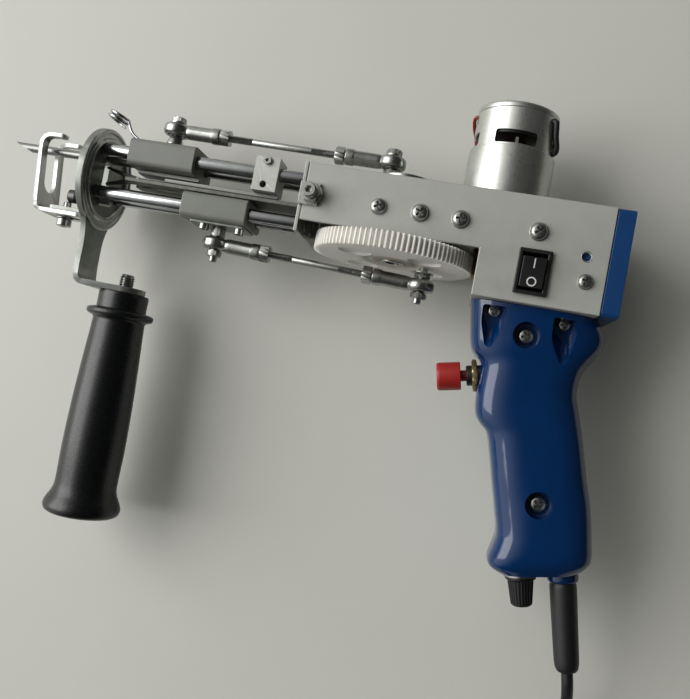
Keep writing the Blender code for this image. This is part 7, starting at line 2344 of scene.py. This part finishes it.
@dataclass
class TriggerButton(Assembly):
    """Red push button with its bush and nut, as rows of radius, place across the grip and rounding."""

    grip: GripFrame
    centre: Point = (-30.3, 0.0)
    cap: Rows = (
        (0.0, -46.3, 0.0), (4.6, -46.45, 2.0), (6.4, -46.8, 0.5), (6.9, -45.6, 0.8), (6.9, -35.1, 0.5),
        (2.7, -35.1, 0.3), (2.7, -16.8, 0.0), (0.0, -16.8, 0.0),
    )
    bush: Rows = (
        (3.1, -32.4, 0.3), (5.0, -32.4, 0.6), (5.0, -21.8, 0.0), (6.5, -21.8, 0.0), (6.5, -10.8, 0.5),
        (3.1, -10.8, 0.0),
    )
    nut: Rows = ((5.2, -29.6), (7.9, -29.6, -27.1), (5.2, -27.1))

    def build(self) -> None:
        """Builds the cap with its stem, the bush and the nut."""
        matrix = self.grip.matrix
        cap = turned(Axis.X, self.cap, self.centre, 72, 6).moved(matrix)
        self.shop.put(cap, "push_button_cap", RED, "trigger_button", Body.TRIGGER, angle=40.0)
        bush = turned_ring(Axis.X, self.bush, self.centre, 56).moved(matrix)
        self.shop.put(bush, "push_button_bush", BLACK, "button_body", angle=40.0)
        nut = Shape().lathe(Axis.X, bolt_profile(self.nut), self.centre, 48, closed=True).moved(matrix)
        self.shop.put(nut, "push_button_nut", BRASS, "button_nut", angle=28.0)


@dataclass
class GripEnd(Assembly):
    """Speed knob and cord gland, as rows of radius, place from the end of the grip and rounding."""

    grip: GripFrame
    knob_across: float = -10.4
    knob: Rows = (
        (2.4, -0.7, 0.0), (7.3, -0.7, 0.3), (7.4, -3.6, 0.4), (5.9, -4.2, 0.4), (4.75, -15.9, 0.6),
        (4.0, -16.5, 0.5), (0.0, -16.5, 0.0), (0.0, -10.0, 0.0), (2.4, -10.0, 0.0),
    )
    rib_radius: float = 0.42
    rib_span: Point = (-15.6, -4.0)
    rib_taper: float = 0.098
    rib_count: int = 24
    rib_reach: float = 5.8
    plated_ring: Rows = ((7.0, -0.7, 0.2), (7.95, -0.7, 0.3), (7.95, -2.4, 0.3), (7.0, -2.4, 0.2))
    gland: Rows = (
        (3.1, -5.0, 0.2), (6.8, -5.0, 0.6), (7.3, -4.0, 0.6), (7.3, -0.3, 0.3), (4.8, -0.3, 0.0),
        (4.8, 4.0, 0.0), (3.1, 4.0, 0.0),
    )

    def build(self) -> None:
        """Builds the fluted knob, its plated ring and the gland."""
        end, matrix = -self.grip.length, self.grip.matrix
        centre = (self.knob_across, 0.0)
        section = circle(self.rib_radius, steps=8)
        rib = Shape().skin([
            [Vector((x + (z - self.rib_span[1]) * self.rib_taper, y, z)) for x, y in section]
            for z in self.rib_span
        ])
        upright = Matrix.Translation((self.knob_across, end, 0.0)) @ Matrix.Rotation(-math.pi / 2.0, 4, "X")
        ribs = self.shop.ring(rib, BLACK, self.rib_count, self.rib_reach).moved(upright)
        knob = turned(Axis.Y, shifted(self.knob, end), centre, 72).join(ribs).moved(matrix)
        self.shop.put(knob, "fluted_knob", BLACK, "speed_knob", Body.KNOB)
        ring = turned_ring(Axis.Y, shifted(self.plated_ring, end), centre, 72).moved(matrix)
        self.shop.put(ring, "knob_plated_ring", CHROME, body=Body.KNOB, angle=50.0)
        spot = (self.grip.gland_across, 0.0)
        gland = turned_ring(Axis.Y, shifted(self.gland, end), spot, 72).moved(matrix)
        self.shop.put(gland, "lead_gland", GRIP_ABS, "cord_gland", angle=45.0)


@dataclass
class RockerSwitch(Assembly):
    """Rocker switch with its bezel and printed marks."""

    place: Point = (25.5, -35.5, 24.8)
    tilt: float = math.radians(8.0)
    # The paddle's slopes rise from its middle height by slope_rise over slope_run
    middle: float = 3.3
    slope_run: float = 6.97
    slope_rise: float = 1.2
    mark_at: float = 4.2
    mark_span: Point = (-0.1, 0.06)
    bar_half: Point = (0.28, 2.2)
    ring_radii: Point = (1.6, 2.2)

    def _mark(self, outline: list[Point], holes: list[list[Point]], way: float) -> Shape:
        """Printed mark on one slope of the paddle.

        Args:
            outline: outline of the mark.
            holes: outlines of its holes.
            way: 1 for the upper slope and -1 for the lower one.

        Returns:
            The mark.
        """
        flat = Shape().prism(Axis.Z, outline, *self.mark_span, holes)
        rise = self.middle + self.slope_rise * self.mark_at / self.slope_run
        tip = Matrix.Rotation(way * math.atan2(self.slope_rise, self.slope_run), 4, "X")
        lean = Matrix.Rotation(self.tilt, 4, "X")
        spot = Matrix.Translation((0.0, way * self.mark_at, rise))
        return flat.moved(Matrix.Translation(self.place) @ lean @ spot @ tip)

    def build(self) -> None:
        """Builds the bezel, the paddle and its marks."""
        self.shop.dressed("rocker_frame", "switch_bezel", BLACK, bevel=0.45)
        self.shop.dressed("rocker_paddle", "switch_paddle", BLACK, Body.ROCKER, 0.35)
        x, y = self.bar_half
        inner, outer = (circle(radius, steps=40) for radius in self.ring_radii)
        marks = self._mark(rectangle((-x, -y), (x, y)), [], 1.0)
        marks.join(self._mark(outer, [list(reversed(inner))], -1.0))
        self.shop.put(marks, "switch_marks", INK, body=Body.ROCKER)


def main() -> None:
    """Builds the scene in order and reports each piece."""
    logging.basicConfig(level=logging.INFO, format="%(message)s")
    bpy.context.scene.view_settings.view_transform = "Standard"
    studio = Studio()
    studio.set_camera()
    low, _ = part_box("main_tube")
    shop = Workshop(low + Vector(DATUM) * MM)
    shop.dress()
    grip = GripFrame()
    PowerLead(shop, grip).build()
    studio.set_window()
    studio.set_world()
    studio.set_table()
    assemblies = (
        TubeHousing(shop), GuideRods(shop), RingPlate(shop), SideHandle(shop), PresserFoot(shop),
        UpperCarriage(shop), LowerCarriage(shop),
        ConnectingLink(shop, "upper", Body.UPPER_LINK, (-166.7, 12.9), (-50.5, 12.1), UPPER_PIN),
        ConnectingLink(shop, "lower", Body.LOWER_LINK, (-133.9, -43.0), (-25.4, -46.8), LOWER_PIN),
        StopBlock(shop), GearTrain(shop), Motor(shop), PistolGrip(shop, grip), TriggerButton(shop, grip),
        GripEnd(shop, grip), RockerSwitch(shop),
    )
    for assembly in assemblies:
        assembly.build()
    LOG.info("%d pieces built", shop.count)


if __name__ == "__main__":
    main()
